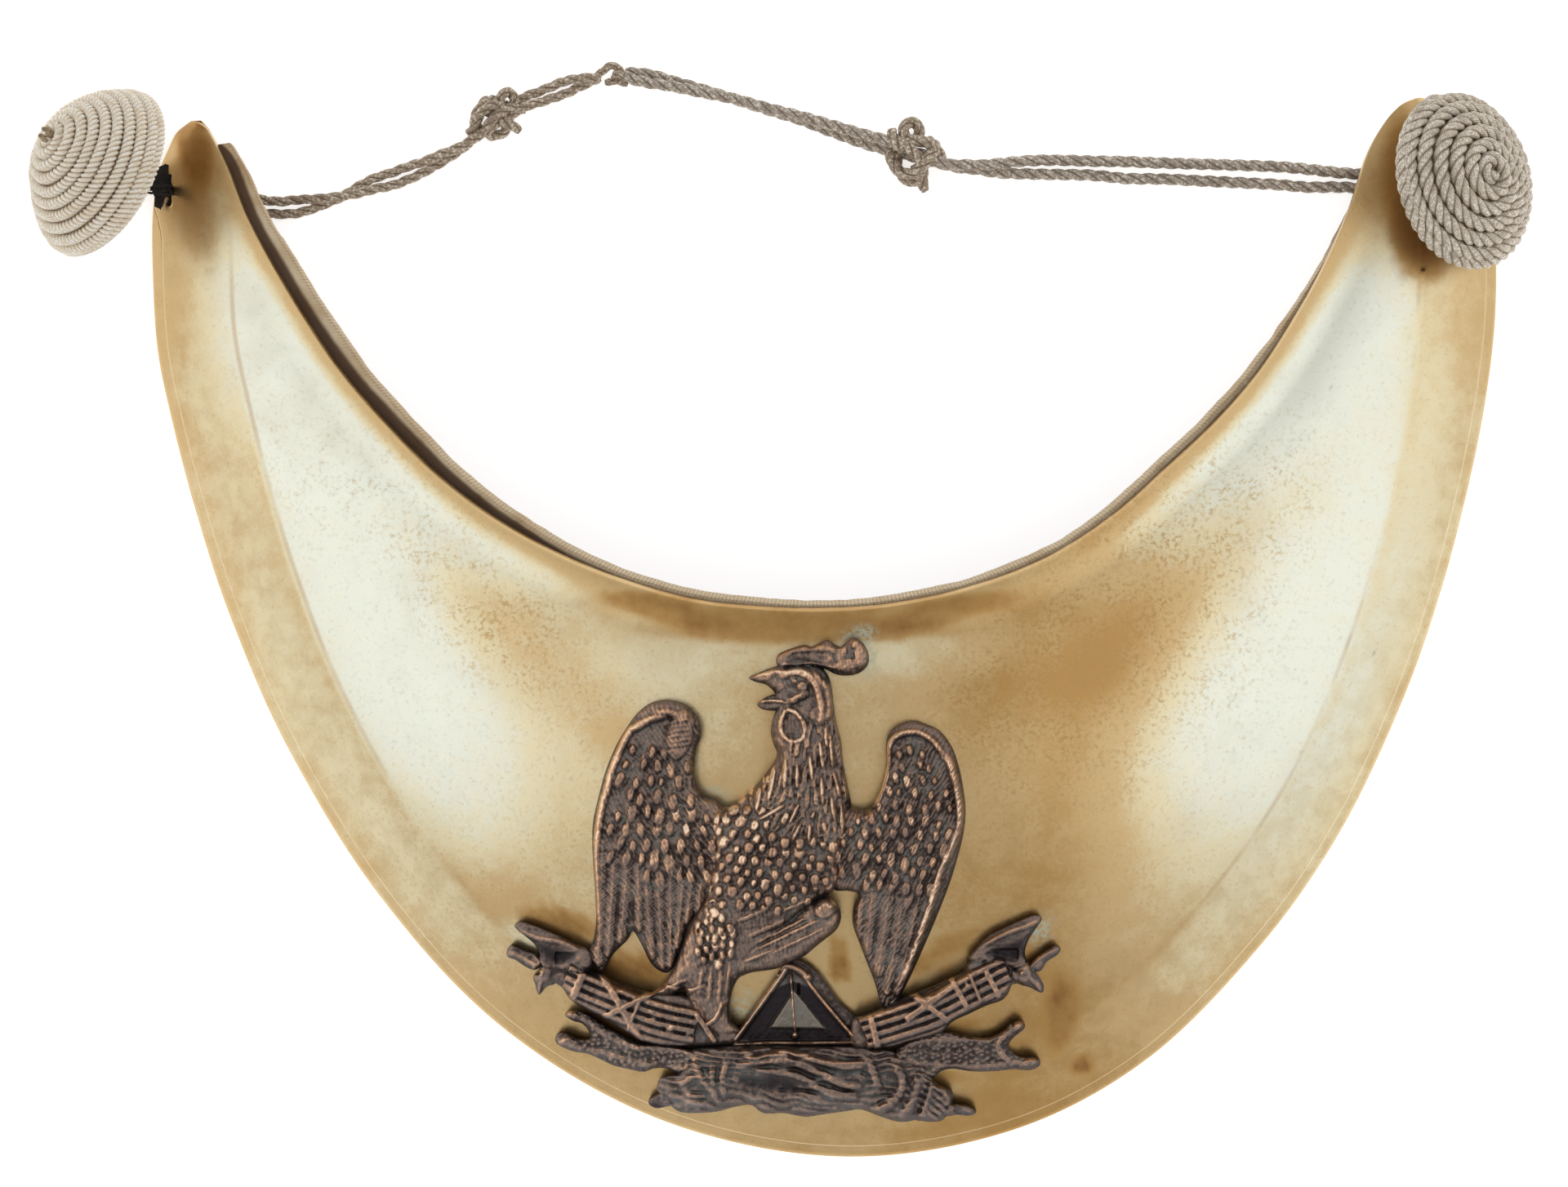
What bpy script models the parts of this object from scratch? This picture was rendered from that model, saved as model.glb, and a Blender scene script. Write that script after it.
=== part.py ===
"""An officer's gorget lying on its back: a domed brass crescent with a leather lining, a bronze badge
of a cock on rods and ribbons, two cord-wound buttons at the horns and a doubled neck tie with two knots.

+X is the gorget's width, +Y runs from its lower edge to its horns and +Z is its front. Lengths in the
tables are millimetres; MM turns them into metres. The rim lies on the plane z = 0.
"""

import math

import bmesh
import bpy
import numpy as np
from mathutils import Vector
from mathutils.bvhtree import BVHTree

MM = 0.001

# The brass sheet
PLATE_THICKNESS = 0.9
PLATE_SEGMENTS_ALONG = 46
PLATE_SEGMENTS_ACROSS = 11
RIM_HEIGHT = 0.715  # front face of the sheet at the rim, its back edge is on the table
CROWN_SHARE = 0.10  # height of the dome over the straight line from neck to rim, per width
BORDER_WIDTH = 9.0
BORDER_RAISE = 0.9
BORDER_SOFTNESS = 0.10
LIP_WIDTH = 4.2
LIP_RISE = 1.3
NECK_CROWDING = 1.6  # how much closer the grid lines lie near the neck edge, 1 spaces them evenly

# The leather lining
LINING_THICKNESS = 1.2
LINING_SEGMENTS_ALONG = 38
LINING_SEGMENTS_ACROSS = 8
LINING_RIM_INSET = 3.4
LINING_GAP = 0.42  # to the back of the brass, away from the neck edge
LINING_START = 0.075  # share of the plate's length where the lining begins and ends
LINING_END = 0.905

# The wound buttons
BUTTON_SEGMENTS = 20

# The thread that ties each button through its slit
THREAD_RADIUS = 0.45
SLIT_LENGTH = 3.9
SLIT_WIDTH = 1.6

# The neck tie
STRAND_DIAMETERS = {"left": 1.15, "right": 1.35}
CORD_POINT_STEP = 3.0  # spacing of a strand's points

# The badge
BADGE_GAP = 0.3
BADGE_VOXEL = 0.5
RIDGE_STEPS = 3  # sections added between two of a ridge's own
BADGE_KEEP = 0.13  # share of the faces left once the flat stretches are merged

# A section of the crescent, left horn to right horn: where it meets the neck edge (with that edge's
# height) and where it meets the rim.
PLATE_COLUMNS = ("neck_x", "neck_y", "neck_z", "rim_x", "rim_y")
PLATE_SECTIONS = (
    (-65.1, 56.0, 3.2, -66.3, 55.9),
    (-64.1, 55.1, 3.6, -67.5, 54.6),
    (-63.3, 53.8, 4.2, -68.3, 53.0),
    (-61.8, 50.9, 5.2, -69.4, 50.2),
    (-59.7, 45.6, 6.6, -70.1, 45.6),
    (-56.9, 40.2, 8.0, -70.1, 39.0),
    (-53.3, 34.1, 9.4, -69.6, 30.8),
    (-49.3, 28.1, 10.9, -68.2, 23.6),
    (-44.3, 22.2, 12.6, -65.4, 12.8),
    (-38.0, 15.9, 14.4, -61.3, 0.3),
    (-30.7, 10.6, 16.2, -54.8, -14.4),
    (-21.6, 6.0, 18.2, -44.6, -30.7),
    (-11.1, 2.6, 20.0, -31.0, -45.2),
    (-2.5, 1.5, 21.0, -13.5, -55.4),
    (5.2, 1.3, 21.3, 6.2, -59.5),
    (12.6, 1.9, 21.0, 25.0, -56.8),
    (21.2, 3.8, 20.0, 40.4, -48.9),
    (29.9, 7.2, 18.2, 53.2, -36.2),
    (37.0, 11.8, 16.2, 62.2, -23.4),
    (43.2, 17.3, 14.4, 69.0, -9.2),
    (48.6, 22.4, 12.6, 73.4, 3.2),
    (53.2, 27.7, 10.9, 76.6, 15.4),
    (57.1, 33.6, 9.4, 78.6, 25.6),
    (60.4, 39.6, 8.0, 79.6, 35.0),
    (63.3, 46.3, 6.6, 79.4, 43.6),
    (65.2, 52.2, 5.2, 77.6, 51.2),
    (67.2, 55.8, 4.2, 75.4, 55.2),
    (69.0, 57.7, 3.6, 73.6, 57.2),
    (70.6, 58.6, 3.2, 72.0, 58.5),
)

# How far the lining stands out past the neck edge, and its gap behind the brass there, by share of the
# plate's length.
LINING_COLUMNS = ("along", "overhang", "gap")
LINING_EDGE = (
    (0.00, 0.3, 0.45),
    (0.10, 1.1, 0.50),
    (0.16, 1.7, 0.60),
    (0.24, 1.5, 1.10),
    (0.33, 0.9, 1.00),
    (0.40, 0.3, 0.60),
    (0.50, 0.1, 0.45),
    (0.60, 0.2, 0.45),
    (0.68, 0.4, 0.60),
    (0.76, 0.4, 0.80),
    (0.84, -0.3, 0.60),
    (0.92, -0.8, 0.50),
    (1.00, -0.8, 0.45),
)

# A button's turned outline, from the rim of its base to the top of its cone: the radius and the share of
# the button's height.
BUTTON_OUTLINE = (
    (9.2, 0.00),
    (9.9, 0.05),
    (10.1, 0.14),
    (9.5, 0.30),
    (8.3, 0.48),
    (6.6, 0.67),
    (4.6, 0.83),
    (2.5, 0.95),
    (0.9, 0.99),
)

# Each button: the middle of its base, its height, the way its cone points over the table and how far up,
# and how far the top of its slumped winding has moved sideways.
BUTTONS = {
    "left": {
        "base": (-74.6, 49.45, 8.5),
        "height": 9.9,
        "heading_deg": 151.0,
        "rise_deg": 31.0,
        "lean": (0.4, 0.7, 0.0),
    },
    "right": {
        "base": (75.35, 49.1, 6.8),
        "height": 6.3,
        "heading_deg": 16.0,
        "rise_deg": 46.5,
        "lean": (0.0, 0.0, 0.0),
    },
}
SLITS = {"left": (-68.6, 48.3), "right": (75.6, 49.4)}

# The neck tie's middle line on the table, the distance between its two strands and how far the pair has
# turned about that line: 0 lies side by side, 90 stacks one strand on the other.
TIE_COLUMNS = ("x", "y", "spread", "turn")
LEFT_TIE_OUTER = (
    (-66.6, 48.0, 1.5, 0),
    (-62.6, 47.4, 1.5, 0),
    (-58.8, 46.6, 1.5, 0),
    (-56.2, 46.3, 1.4, 0),
    (-54.4, 46.4, 1.5, 0),
    (-52.5, 46.7, 1.4, 38),
    (-50.7, 47.1, 1.4, 67),
    (-48.9, 47.6, 1.4, 90),
    (-47.1, 48.3, 1.4, 123),
    (-45.3, 49.0, 1.4, 148),
    (-43.4, 49.5, 1.4, 180),
    (-41.6, 50.2, 1.4, 190),
    (-39.8, 50.9, 1.4, 221),
    (-38.0, 51.8, 1.4, 233),
    (-36.2, 52.7, 1.4, 255),
    (-34.4, 53.9, 1.4, 270),
)
LEFT_TIE_INNER = (
    (-29.3, 57.7, 1.4, 312),
    (-27.1, 58.6, 1.4, 328),
    (-25.2, 59.3, 1.4, 340),
    (-23.4, 60.0, 1.4, 394),
    (-21.6, 60.5, 1.4, 426),
    (-20.2, 60.8, 1.4, 450),
)
RIGHT_TIE_INNER = (
    (-17.5, 61.2, 1.6, 75),
    (-16.1, 60.9, 1.6, 58),
    (-14.3, 60.6, 1.6, 54),
    (-12.5, 60.2, 1.6, 66),
    (-8.8, 59.3, 1.6, 77),
    (-5.2, 58.4, 1.6, 90),
    (-1.5, 57.3, 1.6, 95),
    (2.1, 56.3, 1.6, 103),
    (5.7, 55.1, 1.6, 116),
    (9.4, 53.9, 1.6, 127),
    (11.2, 53.4, 1.6, 127),
)
RIGHT_TIE_OUTER = (
    (18.2, 51.2, 1.6, 95),
    (20.3, 50.9, 1.6, 104),
    (22.1, 50.8, 1.6, 107),
    (24.0, 50.7, 1.6, 127),
    (27.6, 50.8, 1.6, 156),
    (31.2, 50.8, 1.6, 180),
    (34.9, 50.7, 1.6, 180),
    (38.5, 50.5, 1.9, 180),
    (42.2, 50.4, 1.8, 180),
    (47.6, 50.2, 1.9, 180),
    (54.9, 49.9, 2.0, 180),
    (58.6, 49.6, 2.0, 180),
    (62.2, 49.4, 1.6, 180),
    (66.0, 49.2, 1.6, 180),
    (70.6, 49.1, 1.6, 180),
)
TIES = {
    ("left", "ab"): LEFT_TIE_OUTER,
    ("left", "cd"): LEFT_TIE_INNER,
    ("right", "cd"): RIGHT_TIE_INNER,
    ("right", "ab"): RIGHT_TIE_OUTER,
}

# Each lump on the tie: the middle (x, y), half its length, width and height, and its length's heading.
LUMPS = {
    "knot_left": (-31.9, 56.6, 2.2, 2.7, 1.8, 35.0),
    "knot_right": (14.7, 52.0, 2.8, 3.2, 2.0, -20.0),
    "cord_link": (-18.9, 61.4, 0.75, 0.9, 1.3, 20.0),
}

# The badge's forms, each a rounded ridge through its sections: the middle of the section, half its width
# and its height over the brass.
FORM_COLUMNS = ("x", "y", "half_width", "height")
BADGE_FORMS = {
    "comb": (
        (0.0, -4.2, 0.6, 0.9),
        (1.5, -3.5, 1.0, 1.2),
        (3.9, -3.6, 1.3, 1.4),
        (6.1, -3.9, 1.5, 1.5),
        (7.9, -3.8, 1.8, 1.5),
        (8.9, -3.9, 1.0, 1.2),
    ),
    "beak_upper": (
        (-3.1, -6.0, 0.3, 0.8),
        (-1.7, -6.1, 0.7, 1.3),
        (-0.2, -6.2, 1.2, 1.8),
        (1.2, -6.3, 1.5, 2.2),
    ),
    "beak_lower": (
        (-2.5, -8.9, 0.3, 0.8),
        (-1.4, -8.9, 0.5, 1.1),
        (0.0, -8.8, 0.7, 1.5),
        (1.4, -8.7, 0.9, 1.8),
    ),
    "neck_and_body": (
        (2.1, -4.8, 1.6, 1.6),
        (2.5, -6.8, 3.0, 2.5),
        (2.6, -9.3, 3.1, 2.8),
        (2.6, -11.6, 3.4, 2.9),
        (3.0, -14.3, 3.6, 3.1),
        (2.5, -17.0, 4.5, 3.4),
        (1.0, -20.2, 6.4, 3.9),
        (-0.2, -23.4, 7.5, 4.3),
        (-0.6, -26.6, 7.5, 4.4),
        (-1.7, -30.0, 6.9, 4.2),
        (-4.7, -33.9, 5.8, 3.8),
        (-7.7, -37.1, 4.0, 3.3),
        (-9.2, -40.3, 3.1, 2.8),
        (-9.7, -43.3, 3.6, 2.3),
    ),
    "raised_leg": (
        (-4.7, -35.2, 4.0, 3.4),
        (-1.1, -35.2, 3.1, 3.3),
        (1.6, -34.2, 2.4, 3.3),
        (3.9, -32.5, 2.0, 3.5),
        (5.1, -31.9, 1.2, 3.0),
    ),
    "wing_left": (
        (-12.7, -8.7, 1.1, 1.5),
        (-13.0, -10.3, 3.5, 2.0),
        (-13.8, -12.9, 4.6, 2.2),
        (-14.7, -16.1, 5.2, 2.4),
        (-14.2, -20.2, 6.5, 2.5),
        (-14.4, -24.3, 6.5, 2.5),
        (-15.0, -28.4, 5.8, 2.3),
        (-15.4, -31.1, 5.1, 2.1),
    ),
    "wing_left_outer_tip": (
        (-17.9, -29.8, 2.8, 2.1),
        (-18.6, -33.9, 2.0, 1.8),
        (-19.3, -36.2, 1.7, 1.5),
        (-20.3, -38.2, 0.5, 1.2),
    ),
    "wing_left_inner_tip": (
        (-12.5, -29.8, 3.6, 2.1),
        (-12.6, -34.3, 3.0, 1.8),
        (-12.8, -37.1, 1.7, 1.6),
        (-12.8, -38.6, 0.7, 1.2),
    ),
    "wing_right": (
        (14.2, -11.2, 1.8, 1.6),
        (15.0, -12.8, 3.3, 2.0),
        (15.4, -14.8, 3.9, 2.2),
        (15.6, -17.5, 4.4, 2.4),
        (14.8, -20.7, 5.6, 2.5),
        (13.9, -23.4, 6.4, 2.5),
        (13.3, -26.5, 6.0, 2.4),
        (13.1, -29.9, 5.1, 2.2),
        (12.4, -34.4, 4.2, 2.0),
        (12.1, -38.2, 2.6, 1.7),
        (12.0, -41.2, 1.5, 1.4),
        (12.1, -42.7, 0.5, 1.1),
    ),
    "rods_left": (
        (-24.0, -38.9, 1.5, 1.7),
        (-21.6, -40.3, 2.2, 2.0),
        (-17.9, -42.2, 2.7, 2.2),
        (-14.3, -43.6, 2.9, 2.3),
        (-9.7, -44.7, 2.6, 2.2),
        (-5.6, -45.6, 1.5, 1.9),
    ),
    "axe_left": (
        (-29.1, -34.0, 0.4, 1.0),
        (-27.3, -34.8, 0.8, 1.2),
        (-25.2, -36.0, 1.5, 1.5),
        (-22.5, -37.2, 1.6, 1.6),
    ),
    "pike_left": (
        (-30.3, -36.6, 0.5, 1.1),
        (-28.9, -37.3, 0.7, 1.3),
        (-27.0, -38.7, 1.2, 1.7),
        (-23.9, -39.6, 1.4, 1.7),
    ),
    "hook_left": (
        (-26.9, -41.1, 0.3, 1.0),
        (-26.7, -40.1, 0.8, 1.3),
        (-26.1, -38.9, 1.0, 1.6),
    ),
    "rods_right": (
        (8.3, -45.6, 1.5, 1.9),
        (12.1, -44.5, 2.6, 2.2),
        (15.8, -43.3, 2.9, 2.3),
        (19.4, -41.6, 2.7, 2.2),
        (22.7, -40.3, 2.4, 2.0),
        (25.2, -39.4, 1.3, 1.7),
    ),
    "axe_right": (
        (28.6, -33.0, 0.4, 1.0),
        (27.2, -34.3, 1.3, 1.2),
        (25.3, -35.4, 1.8, 1.5),
        (22.7, -36.6, 1.8, 1.6),
        (21.2, -38.0, 1.3, 1.6),
    ),
    "pike_right": (
        (30.6, -36.2, 0.5, 1.1),
        (29.0, -37.2, 0.7, 1.3),
        (27.1, -38.7, 1.2, 1.7),
        (24.4, -39.6, 1.4, 1.7),
    ),
    "hook_right": (
        (28.8, -40.8, 0.3, 1.0),
        (28.1, -39.8, 0.9, 1.3),
        (26.9, -38.9, 1.0, 1.6),
    ),
    "ribbon_left": (
        (-23.5, -43.4, 0.5, 1.0),
        (-21.8, -44.4, 0.8, 1.1),
        (-19.3, -46.4, 1.3, 1.2),
        (-16.6, -48.1, 1.6, 1.3),
        (-13.4, -48.5, 1.6, 1.4),
        (-9.7, -48.7, 1.8, 1.6),
    ),
    "ribbon_left_tail": (
        (-24.5, -46.6, 0.5, 1.0),
        (-22.3, -47.2, 0.7, 1.1),
        (-19.3, -47.8, 1.2, 1.2),
    ),
    "ribbon_right": (
        (26.6, -44.7, 0.5, 1.0),
        (25.4, -45.4, 0.7, 1.1),
        (23.6, -46.9, 1.3, 1.2),
        (20.8, -47.8, 1.9, 1.3),
        (17.6, -47.7, 2.0, 1.4),
        (12.6, -48.2, 2.3, 1.6),
        (9.6, -48.3, 2.3, 1.6),
    ),
    "ribbon_right_tail": (
        (28.1, -49.0, 0.5, 1.0),
        (26.2, -48.9, 0.7, 1.1),
        (23.5, -48.3, 1.3, 1.2),
    ),
    "hands": (
        (-13.6, -52.4, 0.9, 1.5),
        (-11.9, -52.2, 2.2, 2.1),
        (-9.7, -51.6, 2.9, 2.5),
        (-6.6, -50.9, 3.4, 2.7),
        (-2.5, -50.7, 3.5, 2.9),
        (3.0, -50.9, 3.7, 2.9),
        (7.6, -50.7, 3.6, 2.8),
        (11.2, -51.5, 3.6, 2.7),
        (14.4, -52.4, 3.2, 2.4),
        (17.2, -53.4, 2.0, 1.8),
    ),
    "rod_end_left": (
        (-14.3, -53.5, 0.5, 1.1),
        (-12.7, -52.8, 0.8, 1.5),
    ),
    "rod_end_right": (
        (21.3, -54.2, 0.4, 1.1),
        (18.9, -53.8, 0.6, 1.3),
        (16.8, -53.5, 1.1, 1.6),
    ),
    "level_left_bar": (
        (1.4, -37.6, 0.6, 1.4),
        (-2.0, -42.2, 0.5, 1.3),
        (-5.2, -46.2, 0.5, 1.3),
    ),
    "level_right_bar": (
        (1.5, -37.4, 0.8, 1.5),
        (5.0, -41.1, 0.5, 1.3),
        (8.5, -45.1, 0.5, 1.3),
    ),
    "level_panel": (
        (1.5, -37.6, 0.8, 0.8),
        (1.6, -41.4, 3.9, 0.8),
        (1.7, -46.4, 7.6, 0.8),
    ),
    "level_foot": (
        (-6.1, -47.1, 0.7, 1.4),
        (1.5, -47.1, 0.6, 1.4),
        (9.4, -47.1, 0.7, 1.4),
    ),
}

# A ridge's cross-section, as shares of its half width (to the side) and of its height.
RIDGE_SECTION = (
    (-1.0, 0.0),
    (-1.0, 0.35),
    (-0.72, 0.78),
    (-0.35, 0.96),
    (0.35, 0.96),
    (0.72, 0.78),
    (1.0, 0.35),
    (1.0, 0.0),
)


def table(columns, rows):
    """The rows as one array per column, by column name."""
    return {name: np.array([row[i] for row in rows], float) for i, name in enumerate(columns)}


def smooth(values, at):
    """Values of a smooth curve through evenly numbered rows, read at fractional row numbers."""
    values = np.asarray(values, float)
    at = np.clip(np.asarray(at, float), 0, len(values) - 1)
    i = np.minimum(at.astype(int), len(values) - 2)
    t = at - i
    padded = np.concatenate([[2 * values[0] - values[1]], values, [2 * values[-1] - values[-2]]])
    p0, p1, p2, p3 = (padded[i + k] for k in range(4))
    return p1 + 0.5 * t * (
        p2 - p0 + t * (2 * p0 - 5 * p1 + 4 * p2 - p3 + t * (3 * (p1 - p2) + p3 - p0))
    )


def soft_min(a, b, softness):
    """The smaller of two numbers, with the corner between them rounded."""
    return 0.5 * (a + b - np.sqrt((a - b) ** 2 + softness**2))


PLATE = table(PLATE_COLUMNS, PLATE_SECTIONS)
LINING = table(LINING_COLUMNS, LINING_EDGE)


def plate_front(along, across):
    """Front face of the brass at shares of its length and width. Beyond 0 the width runs past the neck."""
    row = np.asarray(along, float) * (len(PLATE_SECTIONS) - 1)
    neck_x, neck_y, neck_z = (smooth(PLATE[c], row) for c in ("neck_x", "neck_y", "neck_z"))
    rim_x, rim_y = (smooth(PLATE[c], row) for c in ("rim_x", "rim_y"))
    width = np.hypot(rim_x - neck_x, rim_y - neck_y)
    inside = np.clip(across, 0, 1)
    border = np.minimum(BORDER_WIDTH / width, 0.5)
    crease = soft_min((1 - inside) / border, inside / (1 - border), BORDER_SOFTNESS)
    lip = np.clip(1 - across * width / LIP_WIDTH, 0, 2) ** 2
    full = np.clip(width / 25.0, 0, 1)
    z = (
        neck_z + (RIM_HEIGHT - neck_z) * across
        + 4 * CROWN_SHARE * width * across * (1 - across)
        + BORDER_RAISE * full * crease
        + LIP_RISE * full * lip
    )
    x = neck_x + (rim_x - neck_x) * across
    y = neck_y + (rim_y - neck_y) * across
    return np.stack([x, y, z], axis=-1)


def plate_normal(along, across, step=1e-4):
    """Unit normal of the front face, pointing out of the front."""
    d_along = plate_front(along + step, across) - plate_front(along - step, across)
    d_across = plate_front(along, across + step) - plate_front(along, across - step)
    normal = np.cross(d_across, d_along)
    normal *= np.where(normal[..., 2:] < 0, -1.0, 1.0)
    return normal / np.linalg.norm(normal, axis=-1, keepdims=True)


def plate_width(along):
    """Width of the brass at shares of its length."""
    span = plate_front(along, np.ones_like(along)) - plate_front(along, np.zeros_like(along))
    return np.hypot(span[..., 0], span[..., 1])


def lining_front(along, across):
    """Front face of the leather, across from its neck edge (0) to its rim edge (1)."""
    plate_along = LINING_START + (LINING_END - LINING_START) * along
    overhang = np.interp(plate_along, LINING["along"], LINING["overhang"])
    gap = np.interp(plate_along, LINING["along"], LINING["gap"])
    width = plate_width(plate_along)
    low = -overhang / width
    high = 1 - np.minimum(LINING_RIM_INSET / width, 0.45)
    v = low + (high - low) * across
    behind = PLATE_THICKNESS + LINING_GAP + (gap - LINING_GAP) * (1 - across) ** 3
    face = plate_front(plate_along, np.maximum(v, 0.0))
    past = (np.minimum(v, 0.0) * width)[..., None]
    inner = plate_front(plate_along, np.full_like(v, 0.01))
    edge = plate_front(plate_along, np.zeros_like(v))
    outward = inner - edge
    outward /= np.linalg.norm(outward, axis=-1, keepdims=True)
    return face + past * outward - behind[..., None] * plate_normal(plate_along, np.maximum(v, 0.0))


def material(name, colour, roughness, metallic=0.0):
    """A plain painted, metal or cloth finish."""
    made = bpy.data.materials.new(name)
    made.use_nodes = True
    shader = made.node_tree.nodes["Principled BSDF"]
    shader.inputs["Base Color"].default_value = (*colour, 1.0)
    shader.inputs["Roughness"].default_value = roughness
    shader.inputs["Metallic"].default_value = metallic
    return made


def add_object(name, mesh_or_curve, finish):
    """One named object of the scene with its finish."""
    made = bpy.data.objects.new(name, mesh_or_curve)
    bpy.context.scene.collection.objects.link(made)
    made.data.materials.append(finish)
    return made


def mesh_of(name, bm):
    """The bmesh as mesh data, shaded smooth with sharp edges kept."""
    bmesh.ops.recalc_face_normals(bm, faces=bm.faces)
    mesh = bpy.data.meshes.new(name)
    bm.to_mesh(mesh)
    bm.free()
    mesh.shade_smooth()
    mesh.set_sharp_from_angle(angle=math.radians(40))
    return mesh


def sheet(name, surface, along_count, across_count, thickness, finish):
    """A sheet whose front face follows the surface function, thickened away from its front."""
    bm = bmesh.new()
    bmesh.ops.create_grid(bm, x_segments=along_count, y_segments=across_count, size=0.5)
    verts = list(bm.verts)
    along = np.array([v.co.x + 0.5 for v in verts])
    across = np.array([v.co.y + 0.5 for v in verts]) ** NECK_CROWDING
    for v, place in zip(verts, surface(along, across), strict=True):
        v.co = Vector(place) * MM
    mesh = bpy.data.meshes.new(name)
    bmesh.ops.recalc_face_normals(bm, faces=bm.faces)
    if sum(f.normal.z for f in bm.faces) < 0:
        bmesh.ops.reverse_faces(bm, faces=bm.faces)
    bm.to_mesh(mesh)
    bm.free()
    made = add_object(name, mesh, finish)
    wall = made.modifiers.new("wall", "SOLIDIFY")
    wall.thickness = thickness * MM
    wall.offset = -1.0
    wall.use_even_offset = True
    return made


def heights_over(made):
    """A function that gives the height of an object's upper face over a place on the table."""
    graph = bpy.context.evaluated_depsgraph_get()
    tree = BVHTree.FromObject(made, graph)

    def height(x, y):
        hit = tree.ray_cast(Vector((x, y, 1.0)), Vector((0, 0, -1)))[0]
        if hit is None:
            near = tree.find_nearest(Vector((x, y, 0.0)))[0]
            return near.z
        return hit.z

    return height


def cut_slit(plate, side):
    """The narrow slot in a horn that the button's thread passes through."""
    x, y = SLITS[side]
    bm = bmesh.new()
    bmesh.ops.create_cube(bm, size=1.0)
    bmesh.ops.scale(bm, vec=(SLIT_WIDTH * MM, SLIT_LENGTH * MM, 20 * MM), verts=bm.verts)
    upright = [e for e in bm.edges if abs(e.verts[0].co.z - e.verts[1].co.z) > MM]
    bmesh.ops.bevel(
        bm, geom=upright, offset=0.45 * SLIT_WIDTH * MM, segments=2, profile=0.5,
        affect="EDGES", material=-1,
    )
    cutter = bpy.data.objects.new(f"slit_cutter_{side}", mesh_of(f"slit_cutter_{side}", bm))
    bpy.context.scene.collection.objects.link(cutter)
    cutter.location = Vector((x, y, 0.0)) * MM
    cutter.hide_render = True
    cutter.display_type = "WIRE"
    cut = plate.modifiers.new(f"slit_{side}", "BOOLEAN")
    cut.operation = "DIFFERENCE"
    cut.solver = "EXACT"
    cut.object = cutter


def button_axis(side):
    """Unit vector from a button's base to the top of its cone."""
    heading = math.radians(BUTTONS[side]["heading_deg"])
    rise = math.radians(BUTTONS[side]["rise_deg"])
    flat = math.cos(rise)
    return Vector((flat * math.cos(heading), flat * math.sin(heading), math.sin(rise)))


def button(side, finish):
    """A turned, domed cone with a flat base."""
    name = f"button_{side}"
    height = BUTTONS[side]["height"]
    outline = [(0.0, 0.0), *BUTTON_OUTLINE, (0.0, 1.0)]
    bm = bmesh.new()
    points = [bm.verts.new((r * MM, 0, share * height * MM)) for r, share in outline]
    edges = [bm.edges.new(pair) for pair in zip(points, points[1:], strict=False)]
    bmesh.ops.spin(
        bm, geom=points + edges, cent=(0, 0, 0), axis=(0, 0, 1), angle=math.tau,
        steps=BUTTON_SEGMENTS, use_merge=True, use_duplicate=False,
    )
    bmesh.ops.remove_doubles(bm, verts=bm.verts, dist=1e-6)
    turn = button_axis(side).to_track_quat("Z", "Y")
    lean = turn.inverted() @ Vector(BUTTONS[side]["lean"]) / height
    for v in bm.verts:
        v.co += lean * v.co.z
    made = add_object(name, mesh_of(name, bm), finish)
    made.location = Vector(BUTTONS[side]["base"]) * MM
    made.rotation_euler = turn.to_euler()
    return made


def tube(name, points, radius, finish):
    """A round cord through points in metres, closed at both ends."""
    curve = bpy.data.curves.new(name, "CURVE")
    curve.dimensions = "3D"
    curve.bevel_depth = radius
    curve.bevel_resolution = 2
    curve.resolution_u = 1
    curve.render_resolution_u = 0
    curve.use_fill_caps = True
    line = curve.splines.new("POLY")
    line.points.add(len(points) - 1)
    for place, point in zip(line.points, points, strict=True):
        place.co = (*point, 1.0)
    return add_object(name, curve, finish)


def thread(side, ground, finish):
    """The thread from under a button's base down through the slit in the horn."""
    axis = button_axis(side)
    base = Vector(BUTTONS[side]["base"]) * MM - axis * 0.5 * MM
    x, y = (value * MM for value in SLITS[side])
    top = Vector((x, y, ground(x + SLIT_WIDTH * MM, y) + 0.9 * MM))
    foot = Vector((x, y, THREAD_RADIUS * MM + 0.1 * MM))
    if side == "right":
        middle = (base + top) / 2
    else:
        middle = base - axis * 2.0 * MM
        middle = Vector((middle.x, middle.y, max(middle.z, top.z)))
    points = [base, middle, top, foot]
    line = [
        Vector([float(smooth([p[k] for p in points], s)) for k in range(3)])
        for s in np.linspace(0, len(points) - 1, 10)
    ]
    return tube(f"thread_{side}", line, THREAD_RADIUS * MM, finish)


def strand_line(rows, sign, count, diameter):
    """One strand of a doubled stretch of the tie: points beside its middle line, resting on the table."""
    columns = table(TIE_COLUMNS, rows)
    at = np.linspace(0, len(rows) - 1, count)
    step = 1e-3
    x, y = (smooth(columns[c], at) for c in ("x", "y"))
    ahead = [smooth(columns[c], at + step) - smooth(columns[c], at - step) for c in ("x", "y")]
    length = np.hypot(*ahead)
    turn = np.radians(smooth(columns["turn"], at))
    half = smooth(columns["spread"], at) / 2
    side = sign * half * np.cos(turn)
    lift = half * np.abs(np.sin(turn)) + sign * half * np.sin(turn)
    return np.stack(
        [
            x - side * ahead[1] / length,
            y + side * ahead[0] / length,
            diameter / 2 + 0.02 + lift,
        ],
        axis=-1,
    )


def tie_strands(side, letters, rows, finish):
    """The two strands of one doubled stretch."""
    columns = table(TIE_COLUMNS, rows)
    run = np.hypot(np.diff(columns["x"]), np.diff(columns["y"])).sum()
    diameter = STRAND_DIAMETERS[side]
    count = max(4, round(run / CORD_POINT_STEP) + 1)
    for letter, sign in zip(letters, (1, -1), strict=True):
        points = [Vector(p) * MM for p in strand_line(rows, sign, count, diameter)]
        tube(f"cord_{side}_{letter}", points, diameter / 2 * MM, finish)


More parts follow.
